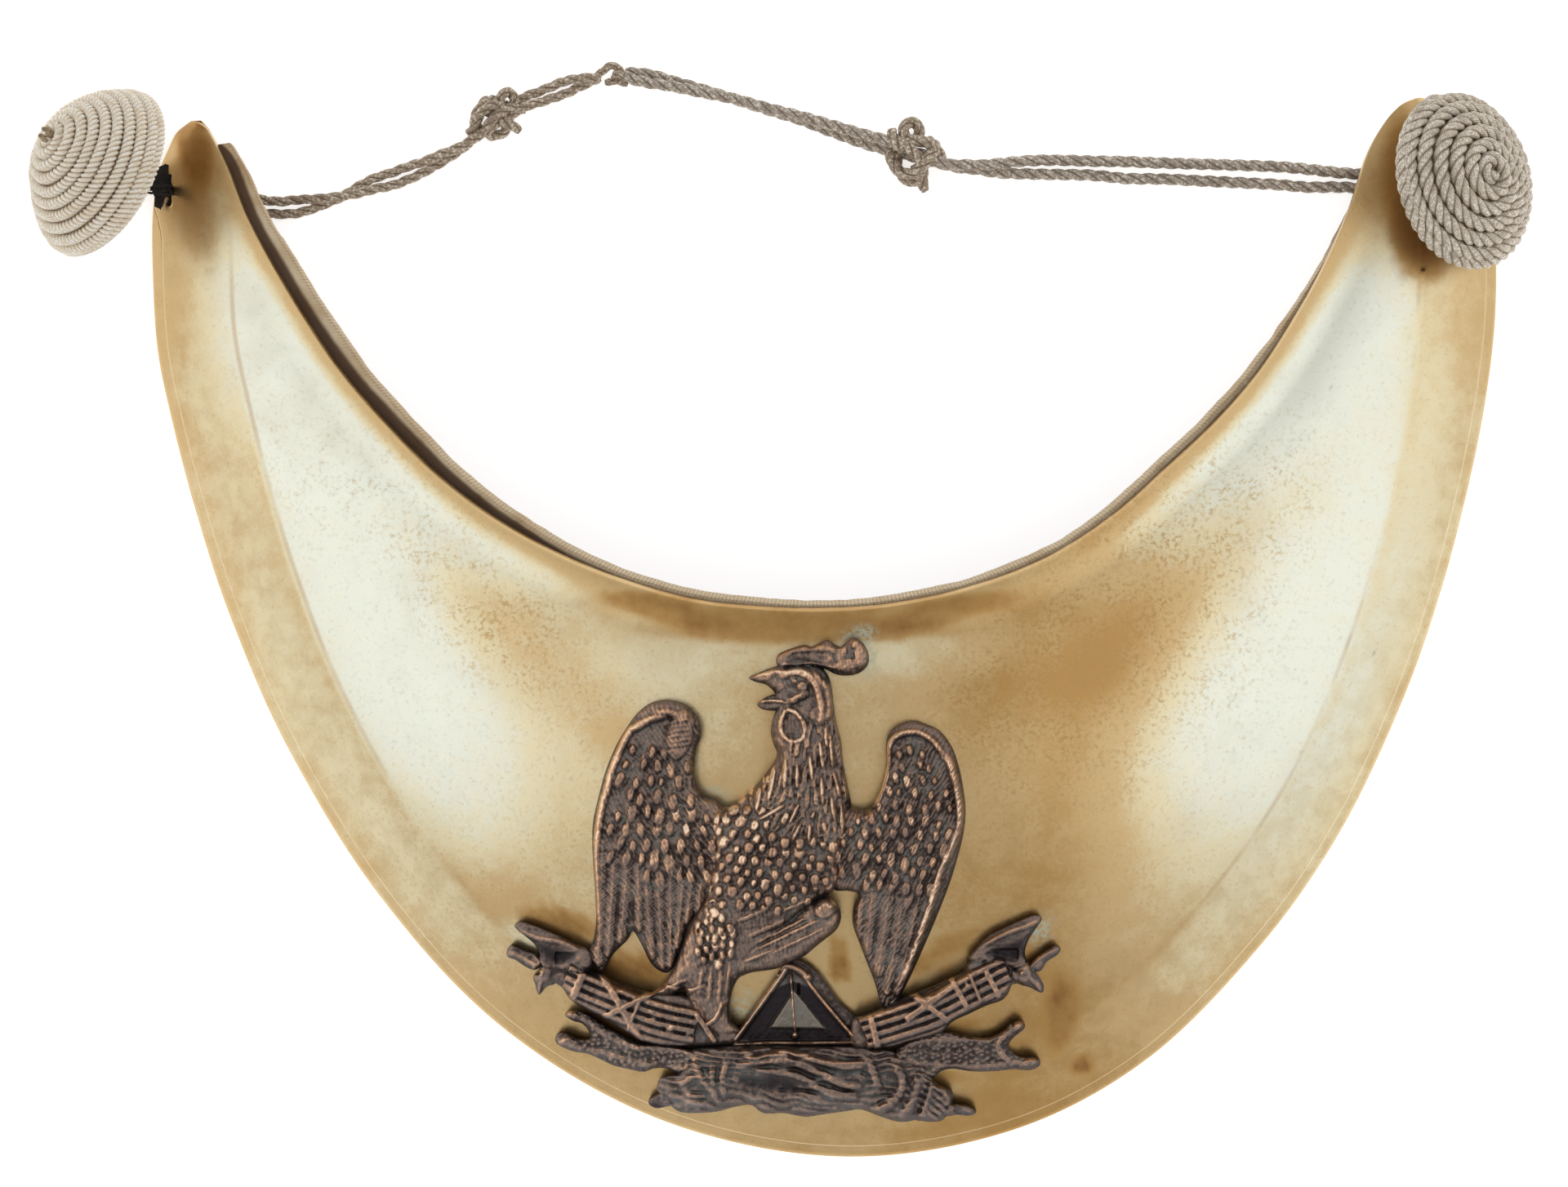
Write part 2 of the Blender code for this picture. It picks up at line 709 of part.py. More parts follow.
def add_ridge(bm, rows):
    """A rounded ridge with a flat underside, lofted through its sections."""
    columns = table(FORM_COLUMNS, rows)
    at = np.linspace(0, len(rows) - 1, RIDGE_STEPS * (len(rows) - 1) + 1)
    x, y, half, height = (smooth(columns[c], at) for c in FORM_COLUMNS)
    ahead_x, ahead_y = np.gradient(x), np.gradient(y)
    length = np.hypot(ahead_x, ahead_y)
    rings = []
    for i in range(len(at)):
        across = Vector((-ahead_y[i], ahead_x[i], 0)) / length[i]
        middle = Vector((x[i], y[i], 0))
        rings.append(
            [
                bm.verts.new((middle + across * side * half[i] + Vector((0, 0, up * height[i]))) * MM)
                for side, up in RIDGE_SECTION
            ]
        )
    for ring, following in zip(rings, rings[1:], strict=False):
        for k in range(len(RIDGE_SECTION)):
            after = (k + 1) % len(RIDGE_SECTION)
            bm.faces.new((ring[k], ring[after], following[after], following[k]))
    bm.faces.new(rings[0][::-1])
    bm.faces.new(rings[-1])


def badge(ground, finish):
    """The applied badge: its forms melted into one casting, then bent to lie on the brass."""
    bm = bmesh.new()
    for rows in BADGE_FORMS.values():
        add_ridge(bm, rows)
    bmesh.ops.recalc_face_normals(bm, faces=bm.faces)
    flat_mesh = bpy.data.meshes.new("badge_flat")
    bm.to_mesh(flat_mesh)
    bm.free()
    flat = bpy.data.objects.new("badge_flat", flat_mesh)
    bpy.context.scene.collection.objects.link(flat)
    melt = flat.modifiers.new("melt", "REMESH")
    melt.mode = "VOXEL"
    melt.voxel_size = BADGE_VOXEL * MM
    graph = bpy.context.evaluated_depsgraph_get()
    cast = bpy.data.meshes.new_from_object(flat.evaluated_get(graph))
    bpy.data.objects.remove(flat, do_unlink=True)
    for v in cast.vertices:
        v.co.z = max(v.co.z, 0.0) + ground(v.co.x, v.co.y) + BADGE_GAP * MM
    cast.name = "device"
    cast.materials.clear()
    made = add_object("device", cast, finish)
    thin = made.modifiers.new("merge_flat_stretches", "DECIMATE")
    thin.ratio = BADGE_KEEP
    return made


def lump(name, finish):
    """The outer form of a knot or loop on the tie, lying on the table."""
    x, y, length, width, height, heading = LUMPS[name]
    bm = bmesh.new()
    bmesh.ops.create_icosphere(bm, subdivisions=2, radius=1.0)
    bmesh.ops.scale(bm, vec=(length * MM, width * MM, height * MM), verts=bm.verts)
    made = add_object(name, mesh_of(name, bm), finish)
    made.location = Vector((x, y, height + 0.02)) * MM
    made.rotation_euler.z = math.radians(heading)
    return made


def main():
    for old in list(bpy.data.objects):
        bpy.data.objects.remove(old, do_unlink=True)
    brass = material("brass", (0.71, 0.57, 0.33), 0.28, 1.0)
    leather = material("leather", (0.52, 0.42, 0.28), 0.8)
    bronze = material("bronze", (0.16, 0.11, 0.09), 0.45, 1.0)
    silver_cord = material("silver_cord", (0.55, 0.48, 0.40), 0.6, 0.3)
    black_thread = material("black_thread", (0.03, 0.02, 0.02), 0.9)

    plate = sheet(
        "gorget_plate", plate_front, PLATE_SEGMENTS_ALONG, PLATE_SEGMENTS_ACROSS,
        PLATE_THICKNESS, brass,
    )
    ground = heights_over(plate)
    sheet(
        "lining", lining_front, LINING_SEGMENTS_ALONG, LINING_SEGMENTS_ACROSS,
        LINING_THICKNESS, leather,
    )
    badge(ground, bronze)
    for side in ("left", "right"):
        cut_slit(plate, side)
        button(side, silver_cord)
        thread(side, ground, black_thread)
    for (side, letters), rows in TIES.items():
        tie_strands(side, letters, rows, silver_cord)
    for name in LUMPS:
        lump(name, silver_cord)


main()
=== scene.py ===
"""The looks of an officer's gorget that lies on its back on a pale table: a brass crescent showing wear, with
a leather lining, a patinated bronze badge, two cord-wound buttons and a doubled, knotted neck tie.

+X is the gorget's width, +Y runs from its lower edge to its horns and +Z is its front. Lengths in the
tables and in the size fields are millimetres; MM turns them into metres.
"""

import logging
import math
from collections.abc import Iterable, Sequence
from dataclasses import dataclass
from enum import Enum

import bmesh
import bpy
import numpy as np
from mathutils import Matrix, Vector
from mathutils.bvhtree import BVHTree


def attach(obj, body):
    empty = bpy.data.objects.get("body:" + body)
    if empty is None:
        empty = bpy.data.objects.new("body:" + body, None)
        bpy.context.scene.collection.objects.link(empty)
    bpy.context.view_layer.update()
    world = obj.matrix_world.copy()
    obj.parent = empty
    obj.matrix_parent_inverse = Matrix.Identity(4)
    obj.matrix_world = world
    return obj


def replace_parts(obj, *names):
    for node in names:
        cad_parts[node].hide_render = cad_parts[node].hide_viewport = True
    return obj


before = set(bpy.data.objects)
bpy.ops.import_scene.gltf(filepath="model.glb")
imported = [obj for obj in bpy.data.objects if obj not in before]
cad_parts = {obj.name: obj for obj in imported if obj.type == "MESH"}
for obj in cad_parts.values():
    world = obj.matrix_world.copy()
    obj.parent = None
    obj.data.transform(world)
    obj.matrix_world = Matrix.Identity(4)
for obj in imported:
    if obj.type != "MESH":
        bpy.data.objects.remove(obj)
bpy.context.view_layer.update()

MM = 0.001
TURN = 2 * math.pi
LOG = logging.getLogger("gorget")

Array = np.ndarray
Mesh, Vert = bmesh.types.BMesh, bmesh.types.BMVert
Piece, Material, Socket = bpy.types.Object, bpy.types.Material, bpy.types.NodeSocket
Colour = tuple[float, float, float]
Outline = tuple[tuple[float, float], ...]
Rows = tuple[tuple[float, ...], ...]

# Sizes shared with the frame. A section of the crescent, left horn to right horn: where it meets the
# neck edge, that edge's height, and where it meets the rim.
PLATE_COLUMNS = ("neck_x", "neck_y", "neck_z", "rim_x", "rim_y")
PLATE_SECTIONS: Rows = (
    (-65.1, 56, 3.2, -66.3, 55.9), (-64.1, 55.1, 3.6, -67.5, 54.6), (-63.3, 53.8, 4.2, -68.3, 53),
    (-61.8, 50.9, 5.2, -69.4, 50.2), (-59.7, 45.6, 6.6, -70.1, 45.6), (-56.9, 40.2, 8, -70.1, 39),
    (-53.3, 34.1, 9.4, -69.6, 30.8), (-49.3, 28.1, 10.9, -68.2, 23.6), (-44.3, 22.2, 12.6, -65.4, 12.8),
    (-38, 15.9, 14.4, -61.3, 0.3), (-30.7, 10.6, 16.2, -54.8, -14.4), (-21.6, 6, 18.2, -44.6, -30.7),
    (-11.1, 2.6, 20, -31, -45.2), (-2.5, 1.5, 21, -13.5, -55.4), (5.2, 1.3, 21.3, 6.2, -59.5),
    (12.6, 1.9, 21, 25, -56.8), (21.2, 3.8, 20, 40.4, -48.9), (29.9, 7.2, 18.2, 53.2, -36.2),
    (37, 11.8, 16.2, 62.2, -23.4), (43.2, 17.3, 14.4, 69, -9.2), (48.6, 22.4, 12.6, 73.4, 3.2),
    (53.2, 27.7, 10.9, 76.6, 15.4), (57.1, 33.6, 9.4, 78.6, 25.6), (60.4, 39.6, 8, 79.6, 35),
    (63.3, 46.3, 6.6, 79.4, 43.6), (65.2, 52.2, 5.2, 77.6, 51.2), (67.2, 55.8, 4.2, 75.4, 55.2),
    (69, 57.7, 3.6, 73.6, 57.2), (70.6, 58.6, 3.2, 72, 58.5),
)
# How far the lining stands out past the neck edge, and its gap behind the brass there, by share of the
# plate's length.
LINING_COLUMNS = ("along", "overhang", "gap")
LINING_EDGE: Rows = (
    (0, 0.3, 0.45), (0.1, 1.6, 0.5), (0.16, 2.2, 0.6), (0.24, 2.1, 1.1), (0.33, 1.3, 1), (0.4, 0.3, 0.6),
    (0.5, 0.1, 0.45), (0.6, 0.2, 0.45), (0.68, 0.4, 0.6), (0.76, 0.4, 0.8), (0.84, -0.3, 0.6),
    (0.92, -0.8, 0.5), (1, -0.8, 0.45),
)
# The neck tie's middle line on the table, the distance between its two strands and how far the pair has
# turned about that line: 0 lies side by side, 90 stacks one strand on the other.
TIE_COLUMNS = ("x", "y", "spread", "turn")
LEFT_TIE_OUTER: Rows = (
    (-66.6, 48, 1.5, 0), (-62.6, 47.4, 1.5, 0), (-58.8, 46.6, 1.5, 0), (-56.2, 46.3, 1.4, 0),
    (-54.4, 46.4, 1.5, 0), (-52.5, 46.7, 1.4, 38), (-50.7, 47.1, 1.4, 67), (-48.9, 47.6, 1.4, 90),
    (-47.1, 48.3, 1.4, 123), (-45.3, 49, 1.4, 148), (-43.4, 49.5, 1.4, 180), (-41.6, 50.2, 1.4, 190),
    (-39.8, 50.9, 1.4, 221), (-38, 51.8, 1.4, 233), (-36.2, 52.7, 1.4, 255), (-34.4, 53.9, 1.4, 270),
)
LEFT_TIE_INNER: Rows = (
    (-29.3, 57.7, 1.4, 312), (-27.1, 58.6, 1.4, 328), (-25.2, 59.3, 1.4, 340), (-23.4, 60, 1.4, 394),
    (-21.6, 60.5, 1.4, 426), (-20.2, 60.8, 1.4, 450),
)
RIGHT_TIE_INNER: Rows = (
    (-17.5, 61.2, 1.6, 75), (-16.1, 60.9, 1.6, 58), (-14.3, 60.6, 1.6, 54), (-12.5, 60.2, 1.6, 66),
    (-8.8, 59.3, 1.6, 77), (-5.2, 58.4, 1.6, 90), (-1.5, 57.3, 1.6, 95), (2.1, 56.3, 1.6, 103),
    (5.7, 55.1, 1.6, 116), (9.4, 53.9, 1.6, 127), (11.2, 53.4, 1.6, 127),
)
RIGHT_TIE_OUTER: Rows = (
    (18.2, 51.2, 1.6, 95), (20.3, 50.9, 1.6, 104), (22.1, 50.8, 1.6, 107), (24, 50.7, 1.6, 127),
    (27.6, 50.8, 1.6, 156), (31.2, 50.8, 1.6, 180), (34.9, 50.7, 1.6, 180), (38.5, 50.5, 1.9, 180),
    (42.2, 50.4, 1.8, 180), (47.6, 50.2, 1.9, 180), (54.9, 49.9, 2, 180), (58.6, 49.6, 2, 180),
    (62.2, 49.4, 1.6, 180), (66, 49.2, 1.6, 180), (70.6, 49.1, 1.6, 180),
)
# A button's turned outline, from the rim of its base to the top of its cone: the radius and the share of
# the button's height.
BUTTON_COLUMNS = ("radius", "share")
BUTTON_OUTLINE: Rows = (
    (9.2, 0), (9.9, 0.05), (10.1, 0.14), (9.5, 0.3), (8.3, 0.48), (6.6, 0.67), (4.6, 0.83), (2.5, 0.95),
    (0.9, 0.99),
)


class Side(Enum):
    """The two horns, and what is tied to them."""

    LEFT = "left"
    RIGHT = "right"


class Slot(Enum):
    """The record's material slots."""

    BRASS = "brass"
    LEATHER = "leather"
    BRONZE = "bronze"
    SILVER_CORD = "silver_cord"
    BLACK_THREAD = "black_thread"


# Numbers


def columns(names: Sequence[str], rows: Rows) -> dict[str, Array]:
    """Splits a table into one array for each named column."""
    return {name: np.array([row[i] for row in rows], float) for i, name in enumerate(names)}


def smooth(values: Array, at: Array) -> Array:
    """Reads a smooth curve through evenly numbered values.

    Args:
        values: The curve's own values.
        at: Fractional row numbers.

    Returns:
        The curve's value at each row number.
    """
    at = np.clip(np.asarray(at, float), 0, len(values) - 1)
    i = np.minimum(at.astype(int), len(values) - 2)
    t = at - i
    padded = np.concatenate([[2 * values[0] - values[1]], values, [2 * values[-1] - values[-2]]])
    p0, p1, p2, p3 = (padded[i + k] for k in range(4))
    bend = 2 * p0 - 5 * p1 + 4 * p2 - p3 + t * (3 * (p1 - p2) + p3 - p0)
    return p1 + 0.5 * t * (p2 - p0 + t * bend)


def curve_through(points: Sequence[Sequence[float]], steps: int) -> Array:
    """Draws a smooth open line through points, with some steps between two of them."""
    places = np.array(points, float)
    at = np.linspace(0, len(places) - 1, steps * (len(places) - 1) + 1)
    return np.stack([smooth(places[:, k], at) for k in range(places.shape[1])], axis=-1)


def run_along(line: Array) -> Array:
    """How far along a line each of its points lies."""
    return np.concatenate([[0.0], np.cumsum(np.linalg.norm(np.diff(line, axis=0), axis=1))])


def even_line(line: Array, step: float) -> Array:
    """Respaces a line's points, about a step apart."""
    run = run_along(line)
    at = np.linspace(0, run[-1], max(2, round(run[-1] / step) + 1))
    return np.stack([np.interp(at, run, line[:, k]) for k in range(line.shape[1])], axis=-1)


def unit(vectors: Array) -> Array:
    """Vectors with their length made 1."""
    return vectors / np.linalg.norm(vectors, axis=-1, keepdims=True)


def direction(heading_deg: float, rise_deg: float) -> Vector:
    """The unit vector with a heading on the table and a rise from it."""
    heading, rise = math.radians(heading_deg), math.radians(rise_deg)
    return Vector((math.cos(rise) * math.cos(heading), math.cos(rise) * math.sin(heading), math.sin(rise)))


def soft_min(a: Array, b: Array, softness: float) -> Array:
    """The smaller of two numbers, with the corner between them rounded."""
    return 0.5 * (a + b - np.sqrt((a - b) ** 2 + softness**2))


def soft_step(low: float, high: float, value: Array) -> Array:
    """A smooth rise from 0 to 1 between two values, or a fall where the first is the greater."""
    t = np.clip((np.asarray(value, float) - low) / (high - low), 0, 1)
    return t * t * (3 - 2 * t)


def grain(x: Array, y: Array, cell: float, seed: int = 0) -> Array:
    """Smooth lumps that never repeat.

    Args:
        x: Places across.
        y: Places up.
        cell: The size of a lump.
        seed: Picks one of many patterns.

    Returns:
        A number from -1 to 1 for each place.
    """
    u, v = np.asarray(x, float) / cell, np.asarray(y, float) / cell
    i, j = np.floor(u), np.floor(v)
    s, t = u - i, v - j
    s, t = s * s * (3 - 2 * s), t * t * (3 - 2 * t)

    def corner(a: Array, b: Array) -> Array:
        """A fixed but scattered number for each corner of the cells."""
        scattered = np.sin(a * 127.1 + b * 311.7 + seed * 74.7) * 43758.5453
        return 2 * (scattered - np.floor(scattered)) - 1

    low = corner(i, j) * (1 - s) + corner(i + 1, j) * s
    high = corner(i, j + 1) * (1 - s) + corner(i + 1, j + 1) * s
    return low * (1 - t) + high * t


def turned(x: Array, y: Array, heading_deg: float) -> tuple[Array, Array]:
    """Distances along and across a heading."""
    c, s = math.cos(math.radians(heading_deg)), math.sin(math.radians(heading_deg))
    return x * c + y * s, y * c - x * s


def patches(x: Array, y: Array, rows: Rows, softness: float = 0.45) -> Array:
    """Soft oval patches laid over each other.

    Args:
        x: Places across.
        y: Places up.
        rows: For each patch its middle, half its length and width, its heading and its strength.
        softness: How much of a patch's size its edge takes to fade.

    Returns:
        A number from 0 to 1 for each place.
    """
    bare = np.ones_like(x)
    for middle_x, middle_y, half_length, half_width, heading_deg, strength in rows:
        along, across = turned(x - middle_x, y - middle_y, heading_deg)
        reach = np.hypot(along / half_length, across / half_width)
        bare *= 1 - strength * soft_step(1 + softness, 1 - softness, reach)
    return 1 - bare


# Meshes


def add_lattice(bm: Mesh, across: int, up: int) -> tuple[list[Vert], Array, Array]:
    """Adds a flat grid to a mesh, ready to be bent into shape.

    Args:
        bm: The mesh.
        across: Faces across.
        up: Faces up.

    Returns:
        The grid's vertices, and each one's place across and up as a share from 0 to 1.
    """
    if not bm.loops.layers.uv:
        bm.loops.layers.uv.new("UVMap")
    verts = bmesh.ops.create_grid(bm, x_segments=across, y_segments=up, size=0.5, calc_uvs=True)["verts"]
    place = np.array([v.co.xy for v in verts]) + 0.5
    return verts, np.round(place[:, 0] * across) / across, np.round(place[:, 1] * up) / up


def move_all(verts: Sequence[Vert], places: Array) -> None:
    """Puts each vertex at its row of places, given in millimetres."""
    for vert, place in zip(verts, (places * MM).tolist(), strict=True):
        vert.co = place


def flat_places(verts: Iterable[Vert]) -> Array:
    """Where vertices lie on the table: a row across and a row up, in millimetres."""
    return np.array([v.co.xy for v in verts]).T / MM


def write_numbers(bm: Mesh, **numbers: Array) -> None:
    """Stores numbers at the vertices of a mesh, in their order, for its finish to read by name."""
    for name in numbers:
        bm.verts.layers.float.new(name)
    for name, values in numbers.items():
        layer = bm.verts.layers.float[name]
        for vert, value in zip(bm.verts, values.tolist(), strict=True):
            vert[layer] = value


def face_up(bm: Mesh) -> None:
    """Turns the faces of an open sheet to the front."""
    bmesh.ops.recalc_face_normals(bm, faces=bm.faces)
    if sum(f.normal.z for f in bm.faces) < 0:
        bmesh.ops.reverse_faces(bm, faces=bm.faces)


def to_object(name: str, bm: Mesh, sharp_deg: float = 50.0) -> Piece:
    """Turns a mesh into a smoothly shaded object of the scene.

    Args:
        name: The piece's name.
        bm: Its mesh, which is used up.
        sharp_deg: Edges that bend more than this stay sharp.

    Returns:
        The piece.
    """
    mesh = bpy.data.meshes.new(name)
    bm.to_mesh(mesh)
    bm.free()
    mesh.shade_smooth()
    mesh.set_sharp_from_angle(angle=math.radians(sharp_deg))
    made = bpy.data.objects.new(name, mesh)
    bpy.context.scene.collection.objects.link(made)
    return made


def stiffen(piece: Piece, thickness: float, rounding: float, even: bool) -> None:
    """Gives a sheet its thickness, behind its front, and rounds its edges."""
    wall = piece.modifiers.new("wall", "SOLIDIFY")
    wall.thickness, wall.offset, wall.use_even_offset = thickness * MM, -1.0, even
    edge = piece.modifiers.new("edge", "BEVEL")
    edge.width, edge.segments = rounding * MM, 2
    edge.limit_method, edge.angle_limit = "ANGLE", math.radians(55)


def settle(piece: Piece, finish: Material, slot: Slot, *nodes: str) -> Piece:
    """Dresses a finished piece and ties it to the frame.

    Args:
        piece: The piece, in place.
        finish: Its material.
        slot: The record's slot that the material belongs to; it is not used.
        nodes: The frame's nodes that the piece stands for.

    Returns:
        The piece.
    """
    piece.data.materials.append(finish)
    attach(piece, "root")
    if nodes:
        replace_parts(piece, *nodes)
    LOG.info("%s: %d faces", piece.name, len(piece.data.polygons))
    return piece


def settle_solid(name: str, bm: Mesh, finish: Material, slot: Slot, *nodes: str) -> Piece:
    """Makes a closed mesh into a piece, dresses it and ties it to the frame."""
    bmesh.ops.recalc_face_normals(bm, faces=bm.faces)
    return settle(to_object(name, bm), finish, slot, *nodes)


# Twisted cord


@dataclass(frozen=True)
class Lay:
    """How a cord is laid up."""

    plies: int = 2
    pitch: float = 3.5  # length of one full turn of the plies
    groove: float = 0.30  # depth between two plies, as a share of the radius
    around: int = 16  # faces round the cord
    step: float = 0.16  # length of a face

    def radius_share(self, phase: Array) -> Array:
        """The cord's outline, round its middle, as a share of its radius."""
        return 1 - self.groove * (1 - np.abs(np.cos(self.plies * phase / 2)))


def carried_frames(line: Array) -> tuple[Array, Array]:
    """Two directions across a line at each of its points, carried along it without turning about it."""
    ahead = unit(np.gradient(line, axis=0))
    side = np.empty_like(ahead)
    side[0] = unit(np.cross(ahead[0], (0.0, 0.0, 1.0)))
    for i in range(1, len(line)):
        side[i] = unit(side[i - 1] - ahead[i] * (side[i - 1] @ ahead[i]))
    return side, np.cross(ahead, side)


def add_cord(
    bm: Mesh, line: Array, diameter: float, lay: Lay, taper: tuple[float, float] = (0.7, 0.7),
    start_turn: float = 0.0,
) -> None:
    """Adds a cord of twisted plies that follows a line, closed at both ends.

    Args:
        bm: The mesh that takes the cord.
        line: The cord's middle line.
        diameter: Its diameter over the plies.
        lay: How it is laid up.
        taper: The thickness of its two ends, as a share of the diameter.
        start_turn: The plies' turn where the cord starts.
    """
    line = even_line(line, lay.step)
    verts, phase, along = add_lattice(bm, lay.around, len(line) - 1)
    row = np.round(along * (len(line) - 1)).astype(int)
    side, up = (axis[row] for axis in carried_frames(line))
    run = row * np.linalg.norm(line[1] - line[0])
    length = run.max()
    turn = phase * TURN + TURN * run / lay.pitch + start_turn
    ends = np.ones_like(run)
    for share, from_end in zip(taper, (run, length - run), strict=True):
        ends = np.minimum(ends, share + (1 - share) * np.sqrt(soft_step(0, 0.6 * diameter, from_end)))
    radius = 0.5 * diameter * lay.radius_share(phase * TURN) * ends
    out = np.cos(turn)[:, None] * side + np.sin(turn)[:, None] * up
    move_all(verts, line[row] + radius[:, None] * out)
    layer = bm.loops.layers.uv.verify()
    for face in {f for v in verts for f in v.link_faces}:
        for loop in face.loops:
            loop[layer].uv = (loop[layer].uv.x, loop[layer].uv.y * length)
    bmesh.ops.remove_doubles(bm, verts=verts, dist=1e-8)
    rim = dict.fromkeys(e for v in verts if v.is_valid for e in v.link_edges if e.is_boundary)
    bmesh.ops.holes_fill(bm, edges=list(rim), sides=0)


# Finishes. The numbers name the mix node's sockets for colours.
MIX_SHARE, MIX_UNDER, MIX_OVER, MIX_OUT = 0, 6, 7, 2


class Signal:
    """A number or a colour on its way through a finish."""

    def __init__(self, coat: "Coat", socket: Socket) -> None:
        """Notes the finish and the socket that it comes out of."""
        self.coat, self.socket = coat, socket

    def __add__(self, other: "Signal | float") -> "Signal":
        """The sum with another number."""
        return self.coat.calc("ADD", self, other)

    def __sub__(self, other: "Signal | float") -> "Signal":
        """What is left after another number is taken away."""
        return self.coat.calc("SUBTRACT", self, other)

    def __mul__(self, other: "Signal | float") -> "Signal":
        """The product with another number."""
        return self.coat.calc("MULTIPLY", self, other)

    def span(self, low: float, high: float, to_low: float = 0.0, to_high: float = 1.0) -> "Signal":
        """A smooth step of the number from one span to another."""
        inputs = {"Value": self, "From Min": low, "From Max": high, "To Min": to_low, "To Max": to_high}
        return self.coat.add("ShaderNodeMapRange", inputs, interpolation_type="SMOOTHSTEP")


class Coat:
    """The node tree of one finish, with short ways to add and join its nodes."""

    def __init__(self, name: str) -> None:
        """Starts a finish with a bare shader."""
        self.material = bpy.data.materials.new(name)
        self.material.use_nodes = True
        self.tree = self.material.node_tree
        self.shader = self.tree.nodes["Principled BSDF"]

    def add(self, kind: str, inputs: dict | None = None, out: str | int = 0, **settings: object) -> Signal:
        """Adds a node.

        Args:
            kind: The node's type.
            inputs: A value or a signal for each named or numbered input.
            out: The output that is used.
            settings: The node's own settings.

        Returns:
            What comes out of the node.
        """
        node = self.tree.nodes.new(kind)
        for key, value in settings.items():
            setattr(node, key, value)
        for key, value in (inputs or {}).items():
            self.feed(node.inputs[key], value)
        return Signal(self, node.outputs[out])

    def feed(self, socket: Socket, value: Signal | Colour | float) -> None:
        """Joins a signal to a socket, or sets the socket."""
        if isinstance(value, Signal):
            self.tree.links.new(value.socket, socket)
        else:
            socket.default_value = (*value, 1.0) if socket.type == "RGBA" else value

    def place(self) -> Signal:
        """The place on the object, in metres."""
        return self.add("ShaderNodeTexCoord", out="Object")

    def number(self, name: str) -> Signal:
        """A number stored at the mesh's vertices."""
        return self.add("ShaderNodeAttribute", out="Fac", attribute_name=name)

    def stretched(self, scale: Colour, heading_deg: float) -> Signal:
        """Object coordinates turned about Z and then stretched."""
        turn = (0.0, 0.0, math.radians(heading_deg))
        spun = self.add("ShaderNodeMapping", {"Vector": self.place(), "Rotation": turn})
        return self.add("ShaderNodeMapping", {"Vector": spun, "Scale": scale})

    def noise(
        self, size: float, detail: float = 3.0, rough: float = 0.55, vector: Signal | None = None,
        warp: float = 0.0,
    ) -> Signal:
        """Cloudy noise.

        Args:
            size: A cloud's size in millimetres.
            detail: How many finer layers it has.
            rough: How strong those are.
            vector: Where to read it, the place on the object if left out.
            warp: How much it swirls.

        Returns:
            The noise, from 0 to 1.
        """
        inputs = {"Vector": vector or self.place(), "Scale": 1 / (size * MM), "Detail": detail}
        return self.add("ShaderNodeTexNoise", {**inputs, "Roughness": rough, "Distortion": warp})

    def calc(self, operation: str, *values: Signal | float) -> Signal:
        """The result of a sum on one or two numbers."""
        return self.add("ShaderNodeMath", dict(enumerate(values)), operation=operation)

    def layers(self, base: Signal | Colour, *coats: tuple[Signal, Colour]) -> Signal:
        """Lays colours over a base, each as thick as its own share."""
        for share, colour in coats:
            inputs = {MIX_SHARE: share, MIX_UNDER: base, MIX_OVER: colour}
            base = self.add("ShaderNodeMix", inputs, MIX_OUT, data_type="RGBA", clamp_factor=True)
        return base

    def emboss(self, height: Signal, depth: float, strength: float) -> Signal:
        """A bump, with what a height of 1 measures in millimetres and how much of it shows."""
        return self.add("ShaderNodeBump", {"Height": height, "Distance": depth * MM, "Strength": strength})

    def done(self, **sockets: Signal | Colour | float) -> Material:
        """Feeds the shader's named sockets, with _ for a space, and returns the material."""
        for key, value in sockets.items():
            self.feed(self.shader.inputs[key.replace("_", " ")], value)
        return self.material


